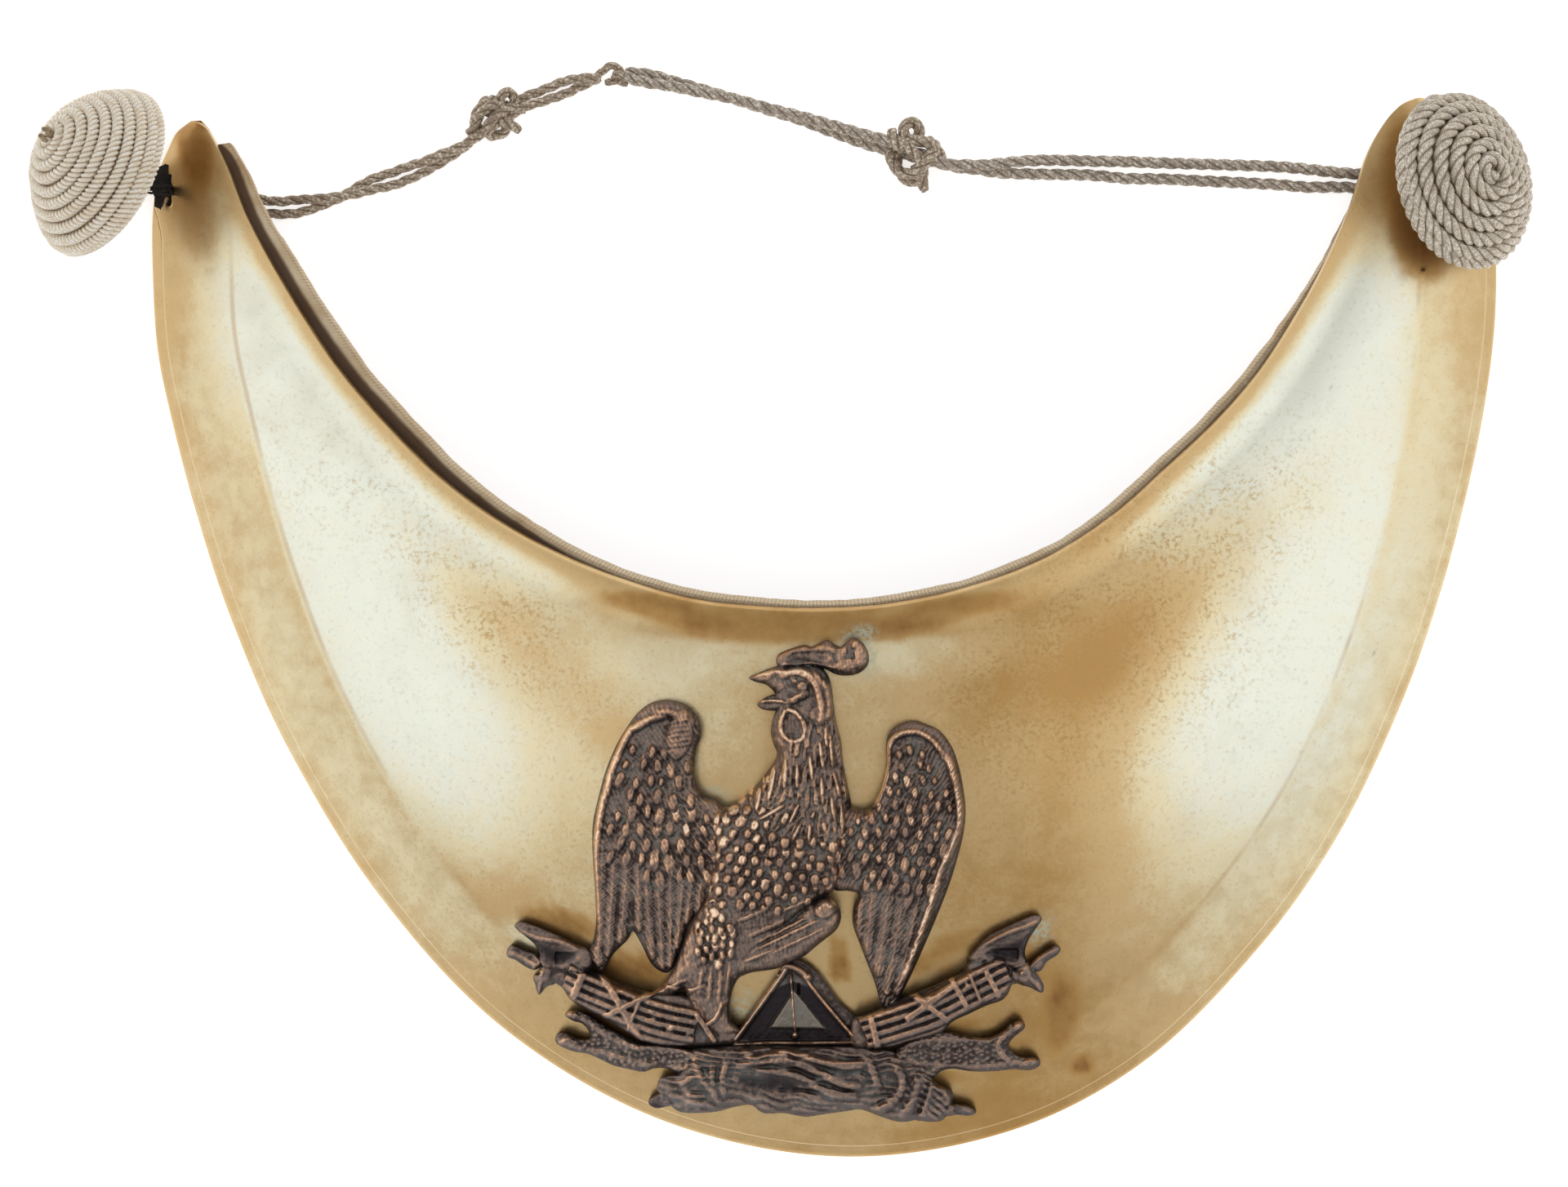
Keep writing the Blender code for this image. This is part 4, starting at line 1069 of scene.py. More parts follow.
# Black spots, and painted shade in and beside the left slit.
SOOT_AND_SHADE: Rows = (
    (-68.5, 48.2, 2.2, 0.8, 88, 0.6), (71.3, 39.2, 0.35, 0.3, 0, 0.85), (65.7, -3.6, 0.45, 0.4, 0, 0.7),
    (61, 26, 0.3, 0.3, 0, 0.5), (-12.8, -37.9, 2.2, 0.8, 0, 0.35),
)
GREENED: Rows = (
    (8.6, -1.4, 1.9, 1.2, 10, 0.8), (9.6, -3.9, 0.8, 1.9, 0, 0.6), (-4.6, -42.9, 2.2, 1.2, 45, 0.95),
    (28.8, -34.2, 2, 1, 70, 0.95), (-7, -19.2, 1.5, 0.8, -20, 0.7), (-9.5, -17.8, 1.4, 0.7, -40, 0.5),
    (1.4, -47.7, 6, 0.5, 0, 0.4),
)


@dataclass(frozen=True)
class Slit:
    """A short slit in a horn, torn a little ragged by its thread."""

    middle: tuple[float, float]
    length: float = 3.7
    width: float = 0.85
    ragged: float = 0.10

    def axis_place(self, y: float) -> tuple[float, float]:
        """The nearest place on its middle line."""
        reach = (self.length - self.width) / 2
        return self.middle[0], self.middle[1] + min(max(y - self.middle[1], -reach), reach)

    def distance(self, x: Array, y: Array) -> Array:
        """How far places lie outside the slit, below 0 inside it."""
        along = np.maximum(np.abs(y - self.middle[1]) - (self.length - self.width) / 2, 0)
        wobble = self.ragged * (grain(x, y, 0.45, 5) + grain(x, y, 0.2, 6))
        return np.hypot(x - self.middle[0], along) - self.width / 2 + wobble


SLITS = {Side.LEFT: Slit((-68.4, 48.3)), Side.RIGHT: Slit((75.6, 49.4))}


@dataclass(frozen=True)
class BrassPlate:
    """The crescent of sheet brass: its slits, its sharp border and the line engraved along its rim."""

    form: CrescentForm = FORM
    faces_along: int = 380
    faces_across: int = 92
    row_shares: tuple[float, ...] = (0.0, 0.20, 0.58, 0.82, 1.0)
    edge_round: float = 0.14
    dent: float = 0.035
    tip_sections: float = 1.1

    def across_share(self, row_share: Array, width: Array) -> Array:
        """Where the lattice's rows lie, closest at the neck edge, the crease and the rim."""
        near, far, rim = (inset * np.minimum(1.0, width / 26.0) / width for inset in (5.0, 12.5, 6.0))
        stops = (0 * width, near, 1 - far, 1 - rim, 1 + 0 * width)
        place = np.zeros_like(width)
        for k in range(4):
            low, high = self.row_shares[k : k + 2]
            place += np.clip((row_share - low) / (high - low), 0, 1) * (stops[k + 1] - stops[k])
        return place

    def front_mesh(self) -> tuple[Mesh, Array, Array]:
        """The front face, and its vertices' shares of the plate's length and width."""
        bm = bmesh.new()
        verts, along, row_share = add_lattice(bm, self.faces_along, self.faces_across)
        across = self.across_share(row_share, self.form.width(along))
        places = self.form.front(along, across)
        from_end = np.minimum(along, 1 - along) * (len(PLATE_SECTIONS) - 1) / self.tip_sections
        close = np.sqrt(np.maximum(1 - (1 - np.clip(from_end, 0, 1)) ** 2, 0.08))
        middle = self.form.front(along, np.full_like(along, 0.5))
        places = middle + (places - middle) * close[:, None]
        calm = soft_step(0, 0.2, across) * soft_step(1, 0.9, across)
        x, y = places[:, 0], places[:, 1]
        places[:, 2] += self.dent * calm * (grain(x, y, 9.0, 1) + 0.6 * grain(x, y, 4.0, 2))
        move_all(verts, places)
        face_up(bm)
        return bm, along, across

    def tear_slits(self, bm: Mesh) -> None:
        """Opens the slits and draws their outlines."""
        for slit in SLITS.values():
            verts = list(bm.verts)
            away = slit.distance(*flat_places(verts))
            inside = {verts[i]: away[i] for i in np.flatnonzero(away < 0)}
            hole = [f for f in bm.faces if all(v in inside for v in f.verts)]
            bmesh.ops.delete(bm, geom=hole, context="FACES")
            for vert in [v for v in inside if v.is_valid]:
                out = vert.co.xy / MM - Vector(slit.axis_place(vert.co.y / MM))
                vert.co.xy -= out.normalized() * inside[vert] * MM

    def write_wear(self, bm: Mesh, width: Array, across: Array) -> None:
        """Stores the front's painted sheen, its stains with painted shadows, its black spots with painted
        shade and its green, for its finish.

        Args:
            bm: The front face.
            width: The plate's width at each vertex.
            across: The vertex's share of that width.
        """
        x, y = flat_places(bm.verts)
        from_rim, from_neck = (1 - across) * width, across * width
        beyond = soft_step(9.1, 8.0, from_rim) * soft_step(14, 26, width)
        # The pale number: painted sheen, and beyond the crease a painted highlight along the rim.
        pale = patches(x, y, PAINTED_SHEEN, 0.85) * (1 - beyond) * soft_step(0.2, 2.6, from_neck)
        pale += patches(x, y, RIM_LIGHT, 0.8) * beyond * soft_step(-5, 9, from_rim)
        write_numbers(
            bm, from_rim=from_rim + 3 * soft_step(12, 7, width), pale=pale - patches(x, y, SHEEN_DULLED, 0.85),
            # Where the painted crease shade is laid.
            crease=soft_step(10, 16, width) * soft_step(-45, -20, y),
            freckle=patches(x, y, FRECKLED, 0.8), stain=patches(x, y, STAINS_AND_SHADOWS),
            soot=patches(x, y, SOOT_AND_SHADE), verdigris=patches(x, y, GREENED),
        )

    def build(self, finish: Material) -> Ground:
        """Makes the plate of a finish, and returns the height of its front under the badge."""
        bm, along, across = self.front_mesh()
        ground = Ground(bm, (-33.0, -58.0), (33.0, 0.5))
        self.write_wear(bm, self.form.width(along), across)
        self.tear_slits(bm)
        piece = to_object("brass_crescent", bm)
        stiffen(piece, self.form.thickness, self.edge_round, even=False)
        settle(piece, finish, Slot.BRASS, "gorget_plate")
        return ground


@dataclass(frozen=True)
class LeatherLining:
    """The leather behind the brass, a little proud of the neck edge."""

    form: CrescentForm = FORM
    thickness: float = 1.2
    rim_inset: float = 3.4
    gap: float = 0.42
    start: float = 0.075
    end: float = 0.905
    faces_along: int = 420
    faces_across: int = 34
    crowding: float = 1.8
    edge_round: float = 0.22

    def front(self, along: Array, across: Array) -> Array:
        """Front face of the leather, across from its neck edge to its rim edge."""
        at = self.start + (self.end - self.start) * along
        overhang, gap = (np.interp(at, LINING["along"], LINING[key]) for key in ("overhang", "gap"))
        width = self.form.width(at)
        low = -overhang / width
        v = low + (1 - np.minimum(self.rim_inset / width, 0.45) - low) * across
        behind = self.form.thickness + self.gap + (gap - self.gap) * (1 - across) ** 3
        on_brass = np.maximum(v, 0.0)
        outward = unit(self.form.front(at, np.full_like(v, 0.01)) - self.form.front(at, np.zeros_like(v)))
        past = (np.minimum(v, 0.0) * width)[:, None] * outward
        return self.form.front(at, on_brass) + past - behind[:, None] * self.form.normal(at, on_brass)

    def build(self, finish: Material) -> None:
        """Makes the lining."""
        bm = bmesh.new()
        verts, along, across = add_lattice(bm, self.faces_along, self.faces_across)
        across = across**self.crowding
        places = self.front(along, across)
        ends = soft_step(0, 0.03, along) * soft_step(1, 0.97, along)
        x, y = places[:, 0], places[:, 1]
        uneven = 0.12 * grain(x, y, 4.0, 11) + 0.04 * grain(x, y, 0.7, 12)
        uneven *= soft_step(0.25, 0, across) * ends
        outward = unit(self.front(along, np.clip(across + 0.01, 0, 1)) - self.front(along, across - 0.01))
        places -= uneven[:, None] * outward
        places[:, 2] -= 0.10 * np.abs(grain(x, y, 3.0, 13)) * ends
        move_all(verts, places)
        face_up(bm)
        at = self.start + (self.end - self.start) * along
        from_edge = across * self.form.width(at)
        shares = np.linspace(0, 1, 400)
        run = run_along(self.front(shares, np.zeros(400)))
        under = np.interp(at, LINING["along"], LINING["overhang"])
        hidden = soft_step(0.06, 0.10, at) * soft_step(0.42, 0.30, at)
        shade = soft_step(under - 1.3 * hidden, under + 0.5 - 0.9 * hidden, from_edge)
        edge = soft_step(0.7, 0.1, from_edge)
        write_numbers(bm, run=np.interp(along, shares, run), edge=edge, shade=shade)
        piece = to_object("leather_lining", bm)
        stiffen(piece, self.thickness, self.edge_round, even=True)
        settle(piece, finish, Slot.LEATHER, "lining")


# The buttons
OUTLINE = columns(BUTTON_COLUMNS, BUTTON_OUTLINE)


def round_axis(radius: Array, angle: Array, height: Array) -> Array:
    """Places round an upright axis."""
    return np.stack([radius * np.cos(angle), radius * np.sin(angle), height], axis=-1)


@dataclass(frozen=True)
class WoundButton:
    """A cone of cord wound over a turned core, closed underneath with gathered linen."""

    side: Side
    base: tuple[float, float, float]
    height: float
    heading_deg: float
    rise_deg: float
    lean: tuple[float, float, float]
    turns: float
    cord: float
    lay: Lay
    slack: float
    pleats: int = 26

    def axis(self) -> Vector:
        """Unit vector from the base to the top of the cone."""
        return direction(self.heading_deg, self.rise_deg)

    def placed(self, local: Array) -> Array:
        """Moves places on an upright button to where this one is."""
        spin = np.array(self.axis().to_track_quat("Z", "Y").to_matrix())
        return local @ spin.T + local[:, 2:] * (np.array(self.lean) / self.height) + self.base

    def outline(self, count: int, depth: float) -> Array:
        """A turned outline inside the button's own.

        Args:
            count: Stretches from its rim to its apex.
            depth: How deep inside it lies, as a share of the cord's diameter.

        Returns:
            The radius and the height of evenly spaced points.
        """
        at = np.linspace(0, len(BUTTON_OUTLINE) - 1, 200)
        radius, height = smooth(OUTLINE["radius"], at), smooth(OUTLINE["share"], at) * self.height
        line = np.vstack([np.stack([radius, height], axis=-1), (0.1, self.height)])
        line = even_line(line, run_along(line)[-1] / count)
        ahead = unit(np.gradient(line, axis=0))
        return line - depth * self.cord * np.stack([ahead[:, 1], -ahead[:, 0]], axis=-1)

    def winding(self) -> Array:
        """The cord's middle line over the core, from the rim up to the apex."""
        middle = self.outline(400, 0.46)
        share = np.linspace(0, 1, round(self.turns * 110))
        row = (0.035 + 0.955 * share) * (len(middle) - 1)
        radius, height = (np.interp(row, np.arange(len(middle)), middle[:, k]) for k in (0, 1))
        turns = self.turns * share
        angle = TURN * turns
        shift = self.slack * grain(angle * 1.3, turns * 0.4, 1.0, 21)
        sink = self.slack * 0.6 * grain(angle * 2.1, turns * 0.5, 1.0, 22)
        radius = np.maximum(radius + sink * np.clip(radius / 3, 0, 1), 0.25 * self.cord)
        return round_axis(radius, angle, height + shift)

    def build_winding(self, finish: Material) -> None:
        """Winds the cord."""
        bm = bmesh.new()
        add_cord(bm, self.placed(self.winding()), self.cord, self.lay, (0.6, 0.45))
        name = f"button_{self.side.value}"
        settle_solid(f"{name}_winding", bm, finish, Slot.SILVER_CORD, name)

    def build_core(self, finish: Material) -> None:
        """Turns the core and gathers the linen under it."""
        line = self.outline(40, 0.72)
        line = line[(line[:, 0] > 0.25) & (line[:, 1] > 0.0)]
        rim = float(line[0, 0])
        shares = np.linspace(0, 1, 16)
        under = np.stack([0.02 + (rim - 0.02) * shares, 0.5 - 0.55 * np.sqrt(shares)], axis=-1)
        under[-1, 1] = 0.12
        profile = np.vstack([under, line])
        bm = bmesh.new()
        verts, turn_share, along = add_lattice(bm, 104, len(profile) - 1)
        row = np.round(along * (len(profile) - 1)).astype(int)
        angle = turn_share * TURN
        radius, height = profile[row].T
        fold = np.cos(self.pleats * angle + 1.4 * np.sin(3 * angle))
        fold *= 0.14 * np.sin(np.pi * np.clip(radius / rim, 0, 1)) * (row < len(under) - 1)
        move_all(verts, self.placed(round_axis(radius, angle, height + fold)))
        bmesh.ops.remove_doubles(bm, verts=bm.verts, dist=1e-8)
        bmesh.ops.holes_fill(bm, edges=[e for e in bm.edges if e.is_boundary], sides=0)
        name = f"button_{self.side.value}"
        settle_solid(f"{name}_core", bm, finish, Slot.SILVER_CORD, name)

    def build_tip(self, finish: Material) -> None:
        """Leaves the cut end of the core's cloth standing out of the apex."""
        bm = bmesh.new()
        for i in range(5):
            angle = TURN * i / 5
            foot = np.array((0.35 * math.cos(angle), 0.35 * math.sin(angle), self.height - 1.2))
            top = foot + (0.45 * math.cos(angle + 0.8), 0.45 * math.sin(angle + 0.8), 1.75)
            line = curve_through((foot, (foot + top) / 2 + 0.1 * math.cos(3 * i), top), 8)
            add_cord(bm, self.placed(line), 0.6, CLOTH_LAY, (0.8, 0.5))
        name = f"button_{self.side.value}"
        settle_solid(f"{name}_tip", bm, finish, Slot.SILVER_CORD, name)


BUTTONS = (
    WoundButton(
        Side.LEFT, base=(-74.6, 49.45, 8.5), height=9.9, heading_deg=151.0, rise_deg=31.0,
        lean=(0.4, 0.7, 0.0), turns=10.3, cord=1.42, lay=LEFT_WOUND, slack=0.10,
    ),
    WoundButton(
        Side.RIGHT, base=(75.35, 49.1, 6.8), height=6.3, heading_deg=16.0, rise_deg=46.5,
        lean=(0.0, 0.0, 0.0), turns=6.7, cord=1.80, lay=RIGHT_WOUND, slack=0.06,
    ),
)


@dataclass(frozen=True)
class ButtonThread:
    """The black threads that tie a button down through the slit in its horn."""

    button: WoundButton
    slit: Slit
    top_height: float  # how high the threads stand over the slit
    count: int = 6
    thread: float = 0.34
    bundle: float = 0.30
    knot_size: tuple[float, float, float] = (1.7, 2.9, 0.4)
    loose_ends: int = 9

    def build(self, finish: Material) -> None:
        """Sews the button on, with thread of a finish."""
        left = self.button.side is Side.LEFT
        axis = np.array(self.button.axis())
        base = np.array(self.button.base) - 0.5 * axis
        top = np.array((*self.slit.middle, self.top_height + 0.9))
        foot = np.array((*self.slit.middle, 0.5))
        middle = base - 2.0 * axis if left else (base + top) / 2
        if left:
            middle[2] = max(middle[2], top[2])
        bm = bmesh.new()
        for i in range(self.count):
            angle = TURN * i / self.count
            shift = self.bundle * np.array((math.cos(angle), math.sin(angle), 0.2 * math.cos(2 * angle)))
            spread = np.array((0.0, 1.1 * (i / (self.count - 1) - 0.5), 0.0))
            bend, end = middle + shift + 0.4 * spread, top + 0.6 * shift + spread
            line = curve_through((base + shift, bend, end, foot + 0.5 * shift), 14)
            add_cord(bm, line, self.thread, SEWING_LAY)
        for i in range(self.loose_ends if left else 0):
            angle, reach = 0.7 + 0.62 * i, 0.7 + 0.5 * math.sin(5.1 * i)
            out = reach * np.array((math.cos(angle), 1.6 * math.sin(angle), 0.0))
            bend, end = top + 0.4 * out + (0, 0, 0.15), top + out + (0, 0, 0.1 * math.cos(i))
            line = curve_through((top + (0, 0, -1.2), bend, end), 8)
            add_cord(bm, line, 0.2, FRAYED_LAY, (0.7, 0.3))
        # The knot is a flat black wad under the slit, large enough to fill it with dark: it stands partly for
        # the shade behind the slit.
        knot = bmesh.ops.create_icosphere(bm, subdivisions=3, radius=1.0)["verts"]
        places = np.array([v.co for v in knot]) * self.knot_size
        places *= 1 + 0.12 * grain(3 * places[:, 0], 3 * places[:, 1], 1.0, 25)[:, None]
        move_all(knot, places + (*self.slit.middle, self.top_height - 1.35))
        name = f"thread_{self.button.side.value}"
        settle_solid(f"button_{name}", bm, finish, Slot.BLACK_THREAD, name)


# The badge


def closed_outline(outline: Outline, steps: int = 5) -> Array:
    """A smooth closed line through an outline's points, its first point not repeated."""
    line = curve_through((*outline[-2:], *outline, *outline[:3]), steps)
    return line[2 * steps : (len(outline) + 2) * steps]


def depth_inside(x: Array, y: Array, line: Array) -> Array:
    """How deep places lie inside a closed line, below 0 outside it."""
    nearest = np.full(x.shape, 1e9)
    inside = np.zeros(x.shape, bool)
    for (ax, ay), (bx, by) in zip(line, np.roll(line, -1, axis=0), strict=True):
        dx, dy = bx - ax, by - ay
        along = np.clip(((x - ax) * dx + (y - ay) * dy) / (dx * dx + dy * dy + 1e-12), 0, 1)
        nearest = np.minimum(nearest, (x - ax - along * dx) ** 2 + (y - ay - along * dy) ** 2)
        inside ^= ((ay > y) != (by > y)) & (x < ax + dx * (y - ay) / (dy or 1e-12))
    return np.where(inside, 1, -1) * np.sqrt(nearest)


def beside_line(x: Array, y: Array, line: Array) -> tuple[Array, Array, Array]:
    """Where places lie beside an open line.

    Args:
        x: Places across.
        y: Places up.
        line: The line's points.

    Returns:
        Each place's distance to the line, how far along the line it lies, and its distance counted
        positive on the line's left.
    """
    nearest, run, side = np.full(x.shape, 1e9), np.zeros(x.shape), np.zeros(x.shape)
    for (ax, ay), (bx, by), start in zip(line[:-1], line[1:], run_along(line), strict=False):
        dx, dy = bx - ax, by - ay
        length = math.hypot(dx, dy)
        along = np.clip(((x - ax) * dx + (y - ay) * dy) / (length * length + 1e-12), 0, 1)
        away = np.hypot(x - ax - along * dx, y - ay - along * dy)
        closer = away < nearest
        nearest = np.where(closer, away, nearest)
        run = np.where(closer, start + along * length, run)
        side = np.where(closer, (dx * (y - ay) - dy * (x - ax)) / (length + 1e-12), side)
    return nearest, run, side


def blurred(values: Array, cells: int) -> Array:
    """Averages each value with its neighbours, twice."""
    size = 2 * cells + 1
    for axis in (0, 1, 0, 1):
        pad = [(0, 0), (0, 0)]
        pad[axis] = (cells + 1, cells)
        total = np.cumsum(np.pad(values, pad, mode="edge"), axis=axis)
        high = np.take(total, range(size, total.shape[axis]), axis=axis)
        values = (high - np.take(total, range(total.shape[axis] - size), axis=axis)) / size
    return values


# What a row of each kind of table says: a broad form's height over the brass along its middle and how
# far in from the edge it is reached, how the feathers of an area point, grow and take wear and painted
# glint, a long feather or a strap, and an oval boss.
SPINE_COLUMNS = ("x", "y", "height", "shoulder")
FLOW_COLUMNS = ("x", "y", "heading_deg", "growth", "wear")
SHAFT_COLUMNS = ("root_x", "root_y", "tip_x", "tip_y", "width")
BOSS_COLUMNS = ("x", "y", "half_length", "half_width", "heading_deg", "height")
# A ridge: the line that it follows, half its width, its height, its wear and painted glint and how fast it
# tapers.
Fold = tuple[Rows, float, float, float, float]
Part = tuple[slice, slice]


@dataclass(frozen=True)
class Plume:
    """How one kind of feather is worked."""

    lift: float = 0.30  # height of its tip over the one below
    crown: float = 0.5  # how much rounder than flat it is
    bead: float = 0.35  # height of the swelling towards its tip
    bead_width: float = 0.8  # the swelling's share of its width
    bead_reach: float = 0.37  # half the swelling's share of its length
    shaft: float = 0.0
    flutes: float = 0.06  # depth of the lines along the swelling
    flute_count: int = 3
    barbs: float = 0.0  # depth of the slanted lines
    barb_pitch: float = 0.36
    # How much wear and painted glint its swelling takes.
    wear_and_glint: float = 0.35


class Relief:
    """A casting on the brass, worked as heights over a fine lattice."""

    def __init__(
        self, name: str, ground: Ground, outlines: Sequence[Outline], pitch: float, wall: float
    ) -> None:
        """Lays out the lattice.

        Args:
            name: The piece's name.
            ground: The brass under it.
            outlines: Its outlines, which may overlap.
            pitch: The lattice's spacing.
            wall: The height of its edge.
        """
        self.name, self.ground, self.wall = name, ground, wall
        self.pitch = pitch
        lines = [closed_outline(outline) for outline in outlines]
        corners = np.vstack(lines)
        self.low = corners.min(0) - 3 * self.pitch
        self.count = np.ceil((corners.max(0) + 3 * self.pitch - self.low) / self.pitch).astype(int)
        lines_at = (self.low[k] + self.pitch * np.arange(self.count[k] + 1) for k in (0, 1))
        self.x, self.y = np.meshgrid(*lines_at)
        self.depth = np.max([depth_inside(self.x, self.y, line) for line in lines], axis=0)
        self.body = np.full(self.x.shape, wall)
        # wear_and_glint holds wear and painted glint; sooty holds painted shade.
        self.detail, self.wear_and_glint, self.sooty, self.green = np.zeros((4, *self.x.shape))

    def mass(self, spine: Rows) -> None:
        """Raises the broad form between its edges, from SPINE_COLUMNS rows."""
        rows = columns(SPINE_COLUMNS, spine)
        middles = zip(rows["x"], rows["y"], strict=True)
        share = np.stack([((self.x - x) ** 2 + (self.y - y) ** 2 + 0.1) ** -1.5 for x, y in middles])
        share /= share.sum(axis=0)
        height, shoulder = (np.tensordot(rows[key], share, 1) for key in ("height", "shoulder"))
        inward = np.clip(self.depth / shoulder, 0, 1)
        self.body = self.wall + (height - self.wall) * np.sqrt(1 - (1 - inward) ** 2)

    def window(self, points: Array, reach: float) -> Part:
        """The part of the lattice that lies round some points."""
        low = np.floor((np.min(points, axis=0) - reach - self.low) / self.pitch).astype(int)
        high = np.ceil((np.max(points, axis=0) + reach - self.low) / self.pitch).astype(int) + 1
        low, high = np.maximum(low, 0), np.maximum(high, 0)
        return slice(low[1], high[1]), slice(low[0], high[0])

    def beside(self, line: Array, reach: float) -> tuple[Part, Array, Array, Array]:
        """The part of the lattice near a line, and where its places lie beside it."""
        part = self.window(line, reach)
        return part, *beside_line(self.x[part], self.y[part], line)

    def raise_up(self, part: Part, height: float, crest: Array, wear_and_glint: float) -> None:
        """Adds a crest, or sinks it where its height is below 0."""
        if height > 0:
            self.detail[part] = np.maximum(self.detail[part], height * crest)
            self.sooty[part] *= 1 - crest
            self.green[part] *= 1 - crest
        else:
            self.detail[part] += height * crest
        self.wear_and_glint[part] = np.maximum(self.wear_and_glint[part], wear_and_glint * crest**1.5)

    def level_out(self, part: Part, height: Array | float, share: Array) -> None:
        """Brings a part to a height, by a share."""
        self.detail[part] = self.detail[part] * (1 - share) + height * share

    def ridge(self, path: Rows, half: float, height: float, wear_and_glint: float, taper: float) -> None:
        """Lays a rounded ridge, or a groove where its height is below 0.

        Args:
            path: The points that it passes.
            half: Half its width.
            height: Its height over the form.
            wear_and_glint: How bright its crest is, by wear and a painted glint.
            taper: How far from its ends it reaches its full height.
        """
        line = curve_through(path, 5)
        part, away, run, _ = self.beside(line, half)
        from_end = np.minimum(run, run_along(line)[-1] - run)
        crest = np.clip(1 - (away / half) ** 2, 0, 1) * np.sqrt(np.clip(from_end / taper + 0.25, 0, 1))
        self.raise_up(part, height, crest, wear_and_glint)

    def folds(self, rows: Sequence[Fold]) -> None:
        """Lays ridges, each with its own shape."""
        for path, half, height, wear_and_glint, taper in rows:
            self.ridge(path, half, height, wear_and_glint, taper)

    def boss(self, rows: Rows, wear_and_glint: float) -> None:
        """Raises oval bosses, from BOSS_COLUMNS rows, or sinks them where their height is below 0."""
        for x, y, half_length, half_width, heading_deg, height in rows:
            part = self.window(np.array([(x, y)]), max(half_length, half_width))
            along, across = turned(self.x[part] - x, self.y[part] - y, heading_deg)
            crest = np.sqrt(np.clip(1 - (along / half_length) ** 2 - (across / half_width) ** 2, 0, 1))
            self.raise_up(part, height, crest, wear_and_glint)

    def feather(self, root: Array, tip: Array, width: float, plume: Plume, wear: float = 1.0) -> None:
        """Lays one feather over those already there.

        Args:
            root: Where it grows.
            tip: Where it ends.
            width: Its width.
            plume: How it is worked.
            wear: How much brighter than usual its swelling is, by wear and painted glint.
        """
        part = self.window(np.array([root, tip]), width)
        length = math.dist(root, tip)
        heading_deg = math.degrees(math.atan2(tip[1] - root[1], tip[0] - root[0]))
        along, across = turned(self.x[part] - root[0], self.y[part] - root[1], heading_deg)
        round_end = min(0.75 * width, 0.6 * length)
        toward = np.clip((along - (length - round_end)) / round_end, 0, 1)
        half = width / 2 * np.sqrt(1 - toward**2) * (0.75 + 0.25 * np.clip(along / (0.4 * length), 0, 1))
        inside = (np.abs(across) < half - 1e-6) & (along > 0) & (along < length)
        u = np.clip(across / np.maximum(half, 1e-6), -1, 1)
        run = np.clip(along / length, 0, 1)
        from_shaft = np.abs(across)
        barb = np.sin(TURN * (along + 1.1 * from_shaft) / plume.barb_pitch) * np.clip(3 * np.abs(u), 0, 1)
        beside = from_shaft / (0.5 * width * plume.bead_width)
        swelling = np.sqrt(np.clip(1 - beside**2.2 - np.abs((run - 0.60) / plume.bead_reach) ** 2.2, 0, 1))
        flute = 0.5 - 0.5 * np.cos(TURN * plume.flute_count * (u + 1) / 2)
        h = plume.lift * (0.2 + 0.8 * run) * (1 - plume.crown * u * u) + plume.barbs * barb
        h += plume.shaft * np.exp(-((across / 0.11) ** 2)) + swelling * (plume.bead - plume.flutes * flute)
        self.detail[part] = np.where(inside, h, self.detail[part])
        # Wear and a painted glint on the swelling.
        self.wear_and_glint[part] = np.where(inside, plume.wear_and_glint * wear * swelling**1.5, self.wear_and_glint[part])

    def shafts(self, rows: Rows, plume: Plume) -> None:
        """Lays long feathers, from SHAFT_COLUMNS rows."""
        for root_x, root_y, tip_x, tip_y, width in rows:
            self.feather((root_x, root_y), (tip_x, tip_y), width, plume)

    def straps(self, rows: Rows, height: float, wear_and_glint: float) -> None:
        """Lays straight straps, from SHAFT_COLUMNS rows."""
        for root_x, root_y, tip_x, tip_y, width in rows:
            line = np.array(((root_x, root_y), (tip_x, tip_y)))
            part, away, _, side = self.beside(line, width)
            flat = soft_step(0.75 * width, 0.5 * width, away)
            self.level_out(part, height * (1 - 0.35 * (side / width) ** 2), flat)
            self.wear_and_glint[part] = self.wear_and_glint[part] * (1 - flat) + wear_and_glint * flat
            self.sooty[part] *= 1 - flat

    def field(self, outline: Outline, flow: Rows, size: tuple[float, float], plume: Plume) -> None:
        """Covers an area with staggered feathers, the lowest first.

        Args:
            outline: The area.
            flow: FLOW_COLUMNS rows, which say how they point, how big they grow and how much wear and painted
                glint they take.
            size: Their usual spacing across and along.
            plume: How they are worked.
        """
        line, rows = closed_outline(outline), columns(FLOW_COLUMNS, flow)
        middle = line.mean(axis=0)
        reach = np.linalg.norm(line - middle, axis=1).max()
        heading = math.radians(rows["heading_deg"].mean())
        ahead = np.array((math.cos(heading), math.sin(heading)))
        aside = np.array((-ahead[1], ahead[0]))
        down, over = math.ceil(reach / size[1]), math.ceil(reach / size[0])
        for row in range(down, -down - 1, -1):
            for column in range(-over, over + 1):
                stagger = column + 0.5 * (row % 2)
                drift = [float(grain(row * 1.7, column * 2.3, 1.0, seed)) for seed in range(31, 36)]
                place = middle + ahead * row * size[1] + aside * stagger * size[0]
                place = place + 0.32 * np.array(drift[:2]) * size
                if depth_inside(place[:1], place[1:], line)[0] < 0:
                    continue
                share = ((place[0] - rows["x"]) ** 2 + (place[1] - rows["y"]) ** 2 + 0.1) ** -1.5
                share /= share.sum()
                turn = math.radians(rows["heading_deg"] @ share + 16 * drift[2])
                growth = rows["growth"] @ share * (1 + 0.32 * drift[3])
                wear = rows["wear"] @ share * max(0.1, 0.8 + 1.4 * drift[4])
                step = np.array((math.cos(turn), math.sin(turn))) * size[1] * growth
